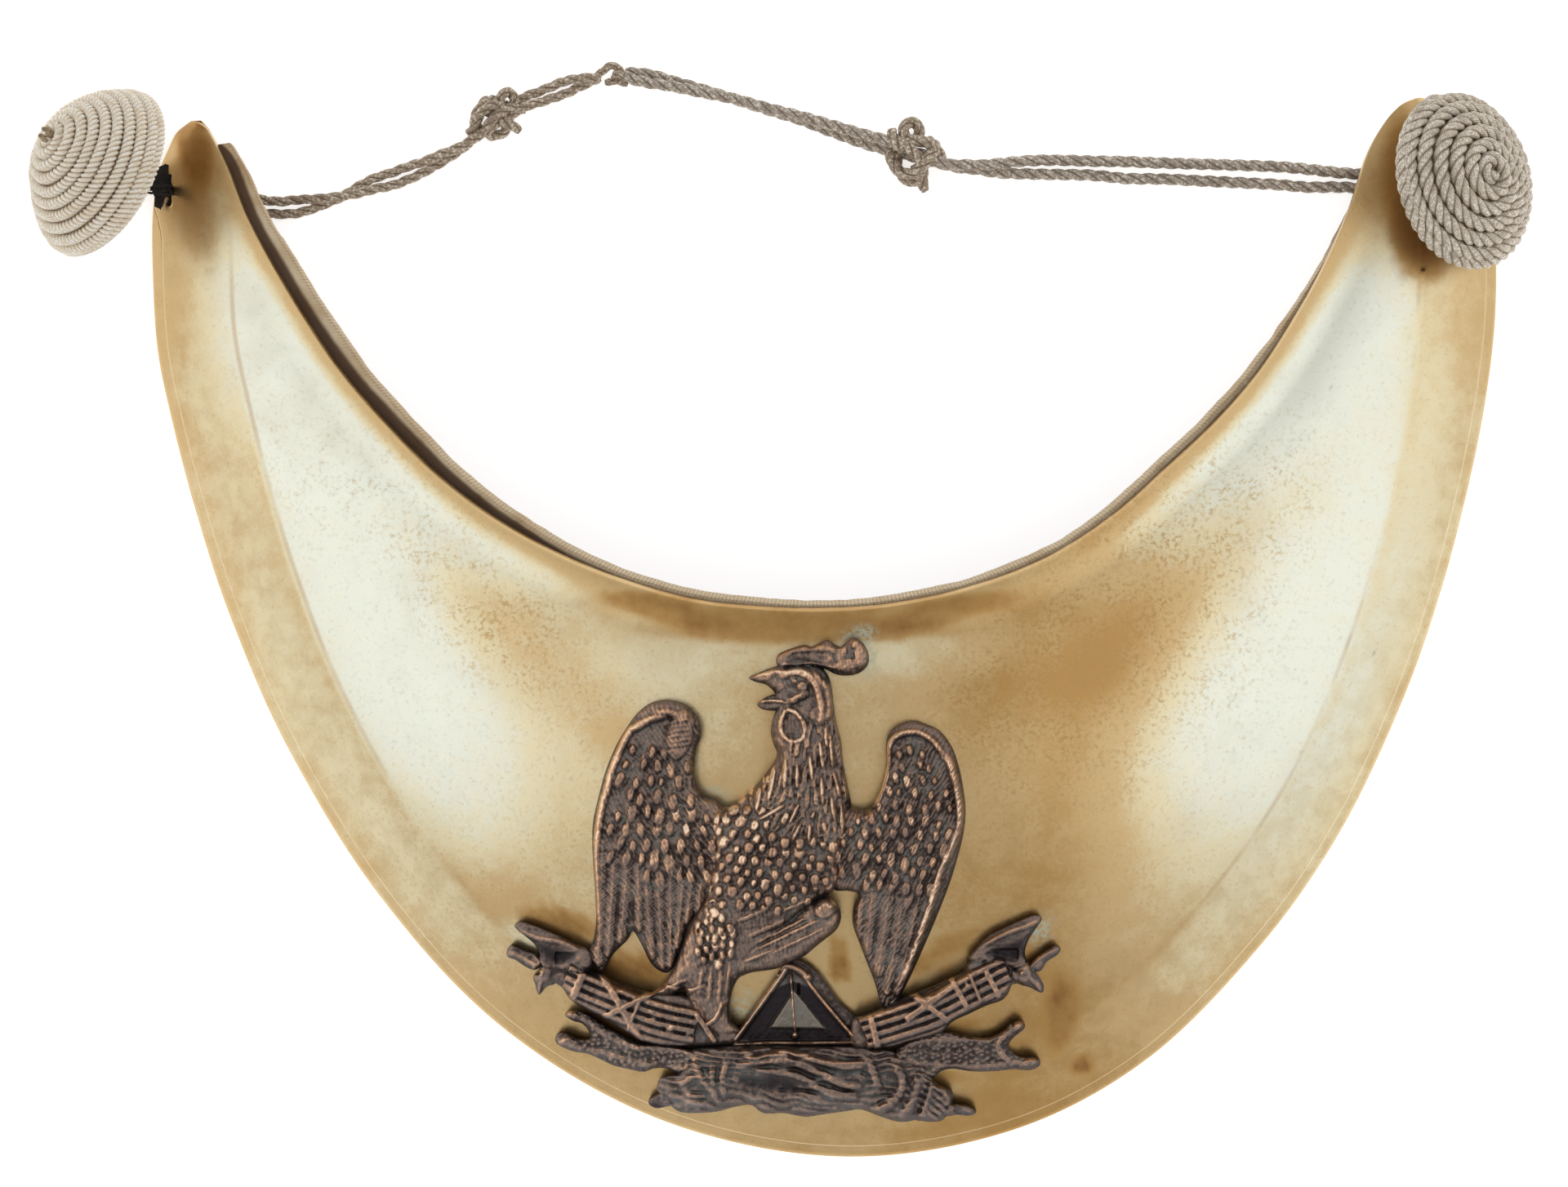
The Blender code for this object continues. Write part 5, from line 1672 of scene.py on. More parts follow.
                self.feather(place - 0.85 * step, place + 0.65 * step, 0.98 * size[0] * growth, plume, wear)

    def hatch(self, heading_deg: float, pitch: float, height: float) -> None:
        """Works fine wavy lines over the whole casting."""
        x, y = self.x, self.y
        across = turned(x, y, heading_deg)[1]
        across += 0.55 * pitch * grain(x, y, 2.2 * pitch, 61) + 0.5 * grain(x, y, 4.0, 62)
        self.detail += height * np.sin(TURN * across / pitch) * (0.7 + 0.5 * grain(x, y, 1.1, 63))

    def hollow(self, outline: Outline, depth: float, slope: float, soot: float) -> None:
        """Sinks an area within a slope of its outline, and paints shade into it."""
        line = closed_outline(outline)
        part = self.window(line, slope)
        share = soft_step(0, slope, depth_inside(self.x[part], self.y[part], line))
        self.level_out(part, -depth, share)
        # Painted shade in the hollow.
        self.sooty[part] = np.maximum(self.sooty[part], soot * share)

    def plate(self, corners: Rows, height: float) -> None:
        """Raises a flat plate with a crust of green."""
        line = np.array(corners)
        part = self.window(line, 0.2)
        share = soft_step(-0.1, 0.1, depth_inside(self.x[part], self.y[part], line))
        self.level_out(part, height, share)
        self.sooty[part] *= 1 - share
        self.green[part] = np.maximum(self.green[part], share)

    def flutes(self, path: Rows, half: float, pitch: float, height: float, wear_and_glint: float) -> None:
        """Bundles round rods along a path.

        Args:
            path: The bundle's middle line.
            half: Half the bundle's width.
            pitch: The distance between two rods.
            height: How deep the grooves between them are.
            wear_and_glint: How bright they are, by wear and painted glint.
        """
        part, away, _, side = self.beside(curve_through(path, 5), half)
        inside = (away < half) & (away - np.abs(side) < 0.02)
        rod = np.sqrt(np.abs(np.cos(math.pi * side / pitch)))
        self.detail[part] = np.where(inside, height * rod, self.detail[part])
        self.wear_and_glint[part] = np.where(inside, wear_and_glint * rod**3, self.wear_and_glint[part])
        # Painted shade in the grooves between the rods.
        self.sooty[part] = np.where(inside, 0.9 * (1 - rod), self.sooty[part])

    def speckle(self, size: float, height: float, seed: int) -> None:
        """Roughens the whole casting."""
        self.detail += height * grain(self.x, self.y, size, seed)
        self.detail += 0.6 * height * grain(self.x, self.y, 0.45 * size, seed + 1)

    def surface(self, fade: float) -> Array:
        """The casting's height over the brass, its details softened and fading towards its edge."""
        for axis in (0, 1):
            beside = np.roll(self.detail, 1, axis) + np.roll(self.detail, -1, axis)
            self.detail = 0.5 * self.detail + 0.25 * beside
        height = self.body + 1.25 * self.detail * soft_step(-0.05, fade, self.depth)
        return np.where(self.depth > -self.pitch, height, self.wall)

    def wear(self, height: Array, dim: float) -> dict[str, Array]:
        """Where the casting shows wear, painted light and glint, painted shade and blackening, hollows and
        green.

        Args:
            height: Its height over the brass.
            dim: How much darker than usual its tone is set.

        Returns:
            The numbers that its finish reads.
        """
        near, wide = max(1, round(0.16 / self.pitch)), max(2, round(0.7 / self.pitch))
        sharp, broad = (height - blurred(height, near)) / 0.09, (height - blurred(height, wide)) / 0.30
        patchy = 0.95 + 0.35 * grain(self.x, self.y, 1.7, 71) + 0.30 * grain(self.x, self.y, 0.38, 72)
        rise, lean = np.gradient(height, self.pitch)
        # Painted light from the upper left: slopes that face it are drawn lighter and the others darker, more
        # so where wear_and_glint is set.
        lit_from_upper_left = (0.64 * lean - 0.77 * rise) / np.sqrt(1 + lean**2 + rise**2)
        # light_and_wear: brighter on crests and darker in hollows, with wear and painted glint where
        # wear_and_glint is set.
        light_and_wear = 0.20 * np.clip(sharp, -1.2, 0.9) + 0.24 * np.clip(broad, -1.3, 1.0) - dim
        light_and_wear += (0.52 * patchy + 0.85 * lit_from_upper_left) * self.wear_and_glint + 0.42 * lit_from_upper_left
        # Painted shade along the casting's edge, where it rolls down.
        light_and_wear -= 0.38 * (1 - soft_step(0.15, 0.75, self.depth)) * (1 - np.clip(self.wear_and_glint, 0, 1))
        sunk = np.clip(-0.5 * sharp - 0.5 * broad + 0.35, 0, 1)
        return {"light_and_wear": light_and_wear, "hollow": sunk, "soot": self.sooty, "crust": self.green}

    def cast(self, finish: Material, fade: float = 0.35, dim: float = 0.04) -> None:
        """Makes the piece.

        Args:
            finish: Its material.
            fade: How far from the edge its details reach their full height.
            dim: How much darker than usual its tone is set.
        """
        height = self.surface(fade)
        bm = bmesh.new()
        verts, across, up = add_lattice(bm, *self.count.tolist())
        at = (np.round(up * self.count[1]).astype(int), np.round(across * self.count[0]).astype(int))
        x, y = self.x[at], self.y[at]
        move_all(verts, np.stack([x, y, self.ground.under(x, y) + height[at]], axis=-1))
        write_numbers(bm, **{name: values[at] for name, values in self.wear(height, dim).items()})
        depth = self.depth[at]
        slope_y, slope_x = (slope[at] for slope in np.gradient(self.depth, self.pitch))
        off = -depth / np.maximum(slope_x**2 + slope_y**2, 0.25) * MM
        shifts = dict(zip(bm.verts, zip(off * slope_x, off * slope_y, strict=True), strict=True))
        deep = (depth >= -0.5 * self.pitch).tolist()
        keep = {vert for vert, whole in zip(bm.verts, deep, strict=True) if whole}
        outside = [f for f in bm.faces if not all(v in keep for v in f.verts)]
        bmesh.ops.delete(bm, geom=outside, context="FACES")
        for vert in bm.verts:
            if vert.is_boundary:
                vert.co.xy += Vector(shifts[vert])
        self.close(bm)
        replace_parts(settle(to_object(self.name, bm, 70.0), finish, Slot.BRONZE), "device")

    def lay(self, verts: Sequence[Vert], gap: float = 0.05) -> None:
        """Puts vertices a gap over the brass."""
        for vert, height in zip(verts, self.ground.under(*flat_places(verts)).tolist(), strict=True):
            vert.co.z = (height + gap) * MM

    def close(self, bm: Mesh) -> None:
        """Gives the casting its walls and its back."""
        rim = [e for e in bm.edges if e.is_boundary]
        copy = bmesh.ops.duplicate(bm, geom=list(bm.faces))["geom"]
        back = [g for g in copy if isinstance(g, Vert)]
        self.lay(back)
        walls = bmesh.ops.extrude_edge_only(bm, edges=rim)["geom"]
        feet = [g for g in walls if isinstance(g, Vert)]
        self.lay(feet)
        bmesh.ops.remove_doubles(bm, verts=back + feet, dist=1e-7)
        back = [v for v in back if v.is_valid]
        flat = list(dict.fromkeys(e for v in back for e in v.link_edges))
        bmesh.ops.dissolve_limit(bm, angle_limit=math.radians(4), verts=back, edges=flat, delimit=set())
        bmesh.ops.recalc_face_normals(bm, faces=bm.faces)


# The wings.
WING_LEFT: Outline = (
    (-12.5, -8.5), (-10.7, -9), (-9.6, -10), (-9, -11.1), (-8.9, -12.5), (-9.4, -13.9), (-9.6, -15.6),
    (-9.6, -17), (-9.1, -18.5), (-8.3, -19.3), (-7, -19.8), (-5.9, -21.6), (-5.9, -27), (-6.8, -30.2),
    (-8.7, -31.8), (-10.1, -33.4), (-11.2, -36.2), (-12.2, -38.5), (-13.2, -38.8), (-14.5, -37.8),
    (-15.6, -35.6), (-16.5, -34.2), (-17.1, -35.2), (-18.7, -36.8), (-19.9, -38.8), (-20.9, -38),
    (-21.5, -36.8), (-20.9, -35.2), (-20.6, -33), (-20.7, -29.9), (-20.9, -26.7), (-21, -24.3),
    (-20.9, -22), (-20.3, -19.3), (-19.5, -16.4), (-18.3, -13.5), (-17.1, -11.5), (-16, -10), (-14.4, -8.8),
)
WING_LEFT_SPINE: Rows = (
    (-12.7, -10.5, 2, 1.1), (-14.2, -16, 2.2, 1.2), (-14, -22, 2.5, 1.4), (-14.5, -28, 2.3, 1.3),
    (-19, -34, 1.8, 0.9), (-12.7, -35, 1.8, 1), (-20, -37.5, 1.3, 0.7), (-12.9, -38, 1.3, 0.7),
    (-8, -21, 2.5, 1.4),
)
LEFT_FIELD: Outline = (
    (-12.8, -13.2), (-16.3, -13.4), (-18.2, -17), (-19.2, -22), (-19.5, -25.6), (-15, -28.2), (-9, -28.6),
    (-6.6, -27), (-6.6, -21.5), (-9.2, -19.4), (-10, -15),
)
LEFT_FLOW: Rows = (
    (-16, -14, -112, 0.75, 0.15), (-11.5, -15, -92, 0.8, 0.3), (-19.5, -23, -100, 0.9, 0.35),
    (-13, -22, -92, 1.1, 1.15), (-7.6, -22, -66, 0.9, 1), (-16, -30, -97, 1.2, 0.35),
    (-10, -30, -80, 1.2, 0.7),
)
LEFT_PRIMARIES: Rows = (
    (-19.8, -24, -20.4, -38.3, 1.18), (-18.4, -24.4, -19.3, -37.2, 1.28), (-17, -26.3, -17.9, -35.7, 1.18),
    (-15.2, -26.8, -14.3, -37.5, 1.28), (-13.8, -26.3, -13.2, -38.5, 1.28),
    (-12.3, -26.8, -12.3, -38.4, 1.28), (-10.7, -26.3, -11.6, -36.2, 1.28),
    (-9.7, -26.8, -10.5, -33.4, 1.18), (-15.9, -26.4, -15.8, -34.3, 1.18), (-8.7, -26.4, -9.2, -32.5, 1.09),
)
LEFT_WING_RIDGE: Rows = (
    (-12.9, -10.2), (-14.6, -10.7), (-15.8, -11.4), (-17, -12.2), (-18.2, -14.8), (-18.9, -16.6),
    (-19.3, -18.4), (-19.9, -20.2), (-20.4, -23.4), (-20.6, -26.6), (-20.4, -30.7), (-20.4, -33.4),
)
WING_HEAD_RIDGES: Rows = ((-14, -10), (-12.6, -9.9), (-11.4, -10.3), (-10.6, -11.2), (-10.3, -12.4))
WING_RIGHT: Outline = (
    (6.6, -20.2), (8.5, -20.6), (9.6, -20.5), (10.3, -19.8), (11.1, -17.9), (11.6, -15.7), (11.6, -13.2),
    (12.2, -11.8), (13.5, -11), (14.8, -10.8), (16, -11.2), (17.5, -11.9), (18.8, -13.6), (19.6, -15.7),
    (20.1, -18.1), (20.4, -20.7), (20.2, -23.1), (19.6, -25.7), (18.8, -28.4), (17.8, -31.1), (16.5, -34.3),
    (14.7, -38.4), (13.4, -41.1), (12.8, -42.4), (11.8, -42.9), (11, -42.2), (10.4, -40.1), (9.4, -37.5),
    (8.6, -35.4), (7.9, -33.4), (8, -31.4), (8.5, -30.1), (7.4, -29.7), (5.9, -29.6), (4.8, -28.4),
    (4.4, -24.8), (5.3, -21.6),
)
WING_RIGHT_SPINE: Rows = (
    (14.8, -12.3, 1.9, 1), (15.5, -16, 2.2, 1.2), (15, -21, 2.5, 1.4), (9, -22, 2.7, 1.4),
    (13, -27, 2.4, 1.3), (13, -33, 2.1, 1.1), (12, -38, 1.7, 0.9), (11.9, -42, 1.2, 0.7),
)
RIGHT_FIELD: Outline = (
    (12.8, -13.6), (16.2, -13.8), (18.4, -17.5), (19, -21), (18.2, -26), (16.2, -30.3), (9, -29.8),
    (6.2, -27.6), (6.4, -21.8), (10.8, -20.2), (12.3, -17),
)
RIGHT_FLOW: Rows = (
    (14, -14, -86, 0.72, 0.6), (18.5, -18, -92, 0.8, 0.8), (12, -19, -86, 0.85, 1.1),
    (7.4, -22.5, -84, 0.8, 0.9), (15, -25, -98, 1, 0.6), (8.5, -28, -96, 1, 0.7), (16, -30, -106, 1.1, 0.4),
)
RIGHT_PRIMARIES: Rows = (
    (8.7, -29.8, 8.3, -35.2, 1.28), (10.1, -29.3, 9.4, -36.9, 1.37), (12.1, -28.9, 10.7, -39.3, 1.46),
    (13.9, -28, 11.7, -41.3, 1.46), (15.8, -28, 12.8, -41.4, 1.46), (17.4, -26.6, 13.8, -40.5, 1.37),
)
RIGHT_WING_RIDGE: Rows = (
    (10.3, -20.2), (11.2, -18.4), (11.8, -15.7), (11.9, -13.8), (12.3, -12.9), (13, -12.4), (14.1, -12.1),
    (15.3, -12.2), (16.8, -13.1), (18, -14.8),
)
RIGHT_WING_EDGE: Rows = (
    (18, -14.8), (18.5, -15.2), (19.3, -17.9), (19.7, -20.2), (19.7, -22.5), (18.9, -24.8), (17.6, -27.5),
    (16.7, -30.7), (14.8, -36.2), (13.3, -40.3),
)
# The cock's body and its head.
TRUNK: Outline = (
    (0.1, -5), (1.6, -4.6), (3.2, -4.5), (4.5, -5), (5.3, -6.1), (5.6, -7.5), (5.8, -9.2), (6.1, -11.1),
    (6.6, -13.2), (6.8, -15.2), (7.2, -17.5), (7.7, -19.8), (7.7, -21.4), (7.5, -23.4), (7.1, -25.2),
    (6.7, -27.2), (6.3, -28.8), (5.4, -30), (3.9, -31.1), (2.4, -32.5), (0.5, -34.6), (-1.3, -36.9),
    (-2.9, -38.6), (-4.5, -39.2), (-5.3, -40.4), (-5.7, -42), (-5.8, -43.4), (-5.4, -44.4), (-4.6, -45.4),
    (-6.6, -46), (-8.7, -45.4), (-9.9, -44.4), (-10.5, -42.7), (-10.8, -40.7), (-12, -41.3), (-13.3, -41.5),
    (-14.5, -41.2), (-13.4, -40.3), (-12.5, -39.1), (-11.7, -37.5), (-11.1, -35.7), (-10.4, -33.5),
    (-9.5, -31.9), (-8.7, -30.5), (-8.1, -28.7), (-7.8, -26.5), (-7.9, -24.1), (-8.1, -22.1), (-7.7, -20.7),
    (-6.4, -20.3), (-5.2, -20), (-3.6, -18.8), (-2.2, -17.2), (-1.1, -15.8), (-0.5, -14.5), (-0.9, -13.4),
    (-1.2, -12.1), (-1, -10.7), (-0.6, -9.4), (-0.7, -7.9), (-0.3, -6.6),
)
RAISED_LEG: Outline = (
    (-5.2, -35.2), (-1.5, -33.6), (0.7, -32.3), (2.5, -31.2), (3.9, -30.5), (5.3, -30.4), (6.3, -31.3),
    (6.6, -32.7), (6.1, -34), (4.8, -35.1), (3.8, -35.9), (2.6, -36.9), (1, -37.7), (-0.7, -38.4),
    (-3.3, -38.8), (-4.9, -39.2), (-5.6, -37.5),
)
COMB: Outline = (
    (-0.6, -4.3), (-0.4, -3.5), (0.5, -3), (1.7, -2.6), (2.6, -2.4), (3.3, -2.6), (4.2, -2.2), (5.1, -1.9),
    (5.8, -2.3), (6.5, -2.6), (7.2, -2.1), (8, -1.6), (9, -2.2), (9.6, -3.3), (9.6, -4.5), (8.8, -5.4),
    (7.6, -5.8), (6.1, -5.7), (4.6, -5), (3, -4.8), (1.2, -5), (0, -5.2),
)
BEAK_UPPER: Outline = (
    (0.3, -4.6), (-1, -4.9), (-2.3, -5.4), (-3.3, -5.8), (-3.6, -6.1), (-2.9, -6.5), (-1.8, -6.8),
    (-1, -7.4), (-0.5, -8), (0.6, -7.9), (1.4, -6.8), (1.2, -5.4),
)
BEAK_LOWER: Outline = (
    (1, -8.1), (0, -7.9), (-0.8, -7.9), (-1.5, -8.1), (-2.2, -8.5), (-2.7, -9), (-2.2, -9.5), (-1.1, -9.7),
    (0, -9.6), (1, -9.1),
)
COCK_SPINE: Rows = (
    (2.5, -6.8, 2.8, 1.6), (2.6, -10.5, 2.9, 1.8), (3, -14.3, 3.2, 2.2), (2, -18, 3.7, 3), (0, -22, 4.2, 4),
    (-0.5, -26, 4.5, 4.6), (-2.5, -30.5, 4.2, 4), (-6, -34.5, 4, 3.4), (-8, -38, 3.2, 2.2),
    (-9.3, -42, 2.6, 1.6), (-11.5, -41, 2.2, 1), (0, -34, 3.6, 2.4), (3.5, -32.6, 3.5, 1.6),
    (5.1, -31.9, 3.2, 1), (1.5, -3.5, 1.4, 0.8), (5, -3.6, 1.6, 0.9), (8.3, -4, 1.8, 1),
    (-2.8, -6, 1.3, 0.5), (-0.5, -6.2, 2.2, 0.9), (-2.2, -8.9, 1.2, 0.4), (0.5, -8.8, 2, 0.7),
)
LEG_STREAKS: Rows = (
    (-4.7, -37.1, 3.9, -33, 0.55), (-4.1, -36.2, 2.6, -32.7, 0.55), (-5.2, -38, -0.6, -36.2, 0.55),
    (-2.9, -37.5, 4.6, -33.9, 0.46), (-4.7, -35.2, 0.3, -33, 0.64), (-5.6, -33.4, -2, -31.8, 0.64),
    (-1.5, -32.5, 3, -30.7, 0.55), (-7.7, -37.1, -8.1, -42.1, 0.64), (-6.6, -36.9, -7, -42.3, 0.64),
    (-5.6, -36.6, -6.1, -41.2, 0.55), (-8.7, -37.5, -9.2, -41.2, 0.55), (-9.7, -39.3, -13.2, -40.7, 0.55),
    (-9.2, -40.7, -12.3, -41.8, 0.46),
)
CHEST: Outline = (
    (-1.8, -16.6), (1.5, -21), (4.5, -23), (7.2, -22.6), (7.3, -26), (5.9, -30), (1, -31.5), (-4, -32.5),
    (-7.5, -31.5), (-8.4, -26.5), (-7.4, -21.8), (-4.6, -18.4),
)
CHEST_FLOW: Rows = (
    (-5.5, -23, -112, 1.12, 1.2), (3.5, -23, -86, 1.05, 0.85), (-6, -29, -105, 1, 0.8),
    (4, -29, -84, 0.95, 0.5),
)
THIGH: Outline = ((-9.6, -33), (-7.4, -31.8), (-4.8, -33.4), (-4.8, -35.8), (-6.6, -37.8), (-9.4, -37.2))
NECK: Outline = (
    (0.2, -13.4), (2.6, -11.6), (5.2, -9.6), (6.4, -12.5), (7, -17), (7.3, -21.5), (4, -23.4), (0, -21.6),
    (-3.2, -20), (-1.2, -16.2),
)
NECK_FLOW: Rows = ((-2, -19, -112, 1, 0.8), (3, -17, -93, 1, 0.6), (6.5, -17, -86, 0.95, 1))
HACKLES: Rows = (
    (1.2, -19.6, -2.5, -21.8, 0.73), (2.3, -19.3, 0.8, -22.3, 0.64), (2.4, -21.6, 1.2, -24.1, 0.64),
    (3.9, -20.2, 2.7, -23.2, 0.64), (4.6, -21.6, 4.8, -23.2, 0.82), (5.4, -18.4, 5.9, -22, 0.73),
    (6.6, -19.3, 6.8, -23.4, 0.73), (3.2, -21.6, 3, -24.3, 0.64), (-2.3, -17.5, -2.8, -20.9, 0.82),
    (-0.6, -14.8, -1.5, -19.8, 0.82), (0.5, -14.1, 0.3, -18.4, 0.82), (1.8, -14.8, 1.7, -18.4, 0.73),
    (3, -13.8, 3.4, -17.5, 0.73), (4.3, -16.1, 4.6, -20.2, 0.73), (5.6, -15.7, 6.5, -19.3, 0.64),
    (6.8, -15.7, 7.2, -19.8, 0.55), (4.1, -12.3, 4.6, -16.1, 0.64), (5.2, -11.1, 5.7, -16.1, 0.64),
    (6.3, -11.6, 6.8, -16.1, 0.64), (4.8, -10.7, 5, -13.8, 0.55), (5.7, -7.9, 6.4, -12.9, 0.64),
)
EYE: Outline = (
    (0.4, -6.7), (1.8, -6.2), (2.9, -6.3), (3.4, -7.2), (3.1, -8.3), (2.4, -8.7), (1.7, -7.5), (0.7, -7.3),
)
EAR: Outline = ((3.5, -8.9), (4, -9.2), (4.1, -10.4), (3.5, -11.3), (2.8, -10.7), (2.9, -9.6))
WATTLE_DISH: Outline = (
    (0.8, -10.2), (0.2, -11.4), (0.3, -12.3), (1.2, -12.8), (2.1, -12.3), (2.2, -11.4), (1.7, -10.4),
)
COMB_HOLLOW: Outline = (
    (0.6, -4), (1.6, -3.5), (3.2, -3.7), (4.5, -4.2), (4.4, -4.7), (2.6, -4.5), (1, -4.3),
)
HEAD_BOSSES: Rows = (
    (2.3, -7, 0.75, 0.6, 20, 0.42), (3.7, -10.2, 1.1, 0.62, 80, 0.3), (-1.9, -5.9, 1.5, 0.5, 14, 0.28),
    (1.3, -6.2, 0.6, 0.35, -40, 0.25),
)
COMB_LOBES: Rows = (
    (8.8, -3.6, 1.5, 0.85, 82, 0.5), (7.2, -4.6, 1.5, 0.7, 10, 0.34), (6.6, -3.4, 1, 0.6, 70, 0.22),
    (5.2, -3.9, 1, 0.6, 100, 0.18), (8.2, -2.4, 0.6, 0.5, 30, 0.3),
)
COCK_FOLDS: tuple[Fold, ...] = (
    # Brows, cheek and wattle.
    (((3.6, -5.7), (4.8, -7), (5.3, -8.4), (5.3, -9.6), (4.9, -10.8)), 0.52, 0.55, 0.45, 0.8),
    (((0.2, -5.7), (1.2, -5.4), (2.3, -5.4), (3.3, -6.1), (4, -7.3), (4.3, -8.7), (4.45, -10.3),
      (4.2, -11.1)), 0.62, 0.7, 0.6, 0.6),
    (((0.9, -8.7), (1.7, -8.3), (2.7, -7.8)), 0.52, 0.52, 0.5, 0.4),
    (((0.5, -9.6), (0, -10.7), (-0.1, -11.8), (0.5, -12.8), (1.4, -13.1), (2.3, -12.8), (2.6, -11.8),
      (2.3, -10.8), (1.5, -9.9), (0.6, -9.5)), 0.38, 0.45, 0.66, 0.05),
    # The rim and the foot of the comb, the beak, the claws and the spur.
    (((0.2, -3.7), (1.2, -3), (2.9, -2.8), (4.6, -2.8), (6.2, -3.2)), 0.5, 0.3, 0.15, 0.5),
    (((0.1, -4.5), (1.6, -4.6), (3.3, -4.5), (4.8, -4.7), (6.3, -5), (7.7, -5.3)), 0.24, 0.2, 0.2, 0.5),
    (((-2.8, -5.9), (-1.7, -5.6), (-0.6, -5.4), (0.5, -5.6)), 0.3, 0.3, 0.75, 0.4),
    (((-2.2, -8.7), (-1.1, -8.6), (0.1, -8.7), (0.8, -9.2)), 0.24, 0.3, 0.75, 0.4),
    (((-6.6, -42.3), (-7.2, -43.7), (-8.1, -44.5), (-9.2, -45.1)), 0.34, 0.5, 0.4, 0.5),
    (((-8.7, -40.3), (-9.9, -40.7), (-11.6, -40.7), (-12.9, -40.2)), 0.3, 0.4, 0.5, 0.5),
)
# The carpenter's level.
LEVEL: Outline = (
    (0.1, -38), (1, -37.3), (2.5, -37.7), (3.9, -38.8), (5.1, -40.3), (6.6, -42.4), (8.5, -44.1),
    (9.2, -45.4), (9, -47.3), (-5.2, -47.4), (-6.1, -46.7), (-4.9, -45.3), (-3.4, -43.3), (-2, -41.3),
    (-0.8, -39.5),
)
LEVEL_PLATE: Rows = ((1.4, -40.7), (-1.3, -45), (4.9, -45.1))
LEVEL_FOLDS: tuple[Fold, ...] = (
    (((0.6, -38.3), (-1.5, -41.3), (-3.6, -44.2), (-5.3, -46.5)), 0.42, 0.75, 0.75, 0.3),
    (((2.4, -39.1), (4.2, -41.5), (6.2, -43.9), (8.1, -46.1)), 0.34, 0.75, 0.75, 0.3),
    (((-1, -38.8), (0.1, -38.1), (1.5, -38.3), (3.2, -39.5)), 0.46, 0.8, 0.5, 0.3),
    (((-5.3, -46.9), (-1.5, -46.7), (2.6, -46.7), (8.1, -46.6)), 0.3, 0.6, 0.15, 0.3),
    (((1, -38.9), (1.2, -41.6), (1.5, -45.4)), 0.19, 0.62, 0.75, 0.2),
)
# The ribbons.
RIBBON_LEFT: Outline = (
    (-24.1, -43.7), (-23.7, -43.2), (-22.9, -43.1), (-21.8, -43.4), (-20.7, -44.1), (-19.2, -45.1),
    (-17.7, -45.9), (-15.8, -46.7), (-13.6, -46.9), (-11.1, -47.2), (-9, -47.8), (-8.1, -48.9), (-9.6, -50),
    (-11.2, -50.3), (-12.8, -49.6), (-14.2, -49.6), (-15.4, -50), (-17, -49.7), (-18.7, -49.3),
    (-20.2, -48.6), (-21.6, -48), (-23, -47.8), (-24.1, -47.4), (-25, -46.9), (-25.2, -46.2),
    (-24.8, -45.7), (-24, -45.7), (-23, -46.2), (-21.9, -46.4), (-21.3, -46.2), (-21.5, -45.4),
    (-22.2, -44.6), (-23.2, -44.3),
)
RIBBON_RIGHT: Outline = (
    (27, -44.5), (26.3, -44.2), (25.4, -44.6), (24.5, -45.4), (23, -46.1), (21.2, -46), (19.4, -45.6),
    (17.6, -45.4), (15.8, -45.8), (13.9, -46.6), (12.5, -48), (13.2, -49.5), (15, -50.5), (16.7, -50.7),
    (17.7, -49.9), (19, -49.6), (21.2, -49.9), (23.5, -49.9), (25.8, -49.7), (27.6, -49.8), (28.7, -49.3),
    (28.7, -48.6), (27.9, -48.3), (26.7, -48.3), (25.8, -47.9), (25.2, -47.1), (25.6, -46.3), (26.4, -45.6),
    (27, -45.1),
)
RIBBON_SPINE: Rows = (
    (-23, -43.6, 1.3, 0.5), (-23.5, -47, 1.3, 0.5), (-19, -46.8, 1.2, 0.5), (-14, -48.4, 1.4, 0.6),
    (-9.5, -48.8, 1.8, 0.8), (26.2, -44.9, 1.3, 0.5), (27.2, -49, 1.3, 0.5), (22, -47.6, 1.2, 0.5),
    (17, -47.9, 1.4, 0.6), (11, -48.4, 1.9, 0.8),
)
RIBBON_EDGES: tuple[Rows, ...] = (
    ((-23.4, -43.7), (-21.4, -44.5), (-19.3, -46.1), (-16.6, -47.2), (-13.4, -47.4), (-9.7, -47.6)),
    ((-24.5, -46.6), (-22.3, -47.4), (-19.3, -48), (-16.1, -48.9), (-13.2, -49.6), (-9.7, -49.6)),
    ((26.4, -44.8), (25.3, -45.5), (23.5, -46.3), (21.2, -46.4), (18.5, -46.3), (14.8, -46.7),
     (11.7, -47.1)),
    ((27.8, -49.1), (25.8, -48.9), (23.5, -49.3), (20.8, -49.5), (17.6, -49.2), (13.9, -48.9)),
)
RIBBON_FOLDS: tuple[Rows, ...] = (
    ((-17.9, -46.6), (-15.7, -47.3), (-13.4, -46.8), (-10.7, -47.5), (-9.3, -48.9)),
    ((25.4, -45.4), (24.1, -46.6), (24.5, -48), (25.6, -48.9)),
)
RIBBON_TIPS: Rows = (
    (-23.2, -43.7, 0.9, 0.5, -30, 0.5), (-24.1, -46.7, 0.9, 0.5, 10, 0.5),
    (26.4, -44.8, 0.9, 0.5, 35, 0.55), (27.6, -48.9, 0.9, 0.5, 5, 0.55),
)
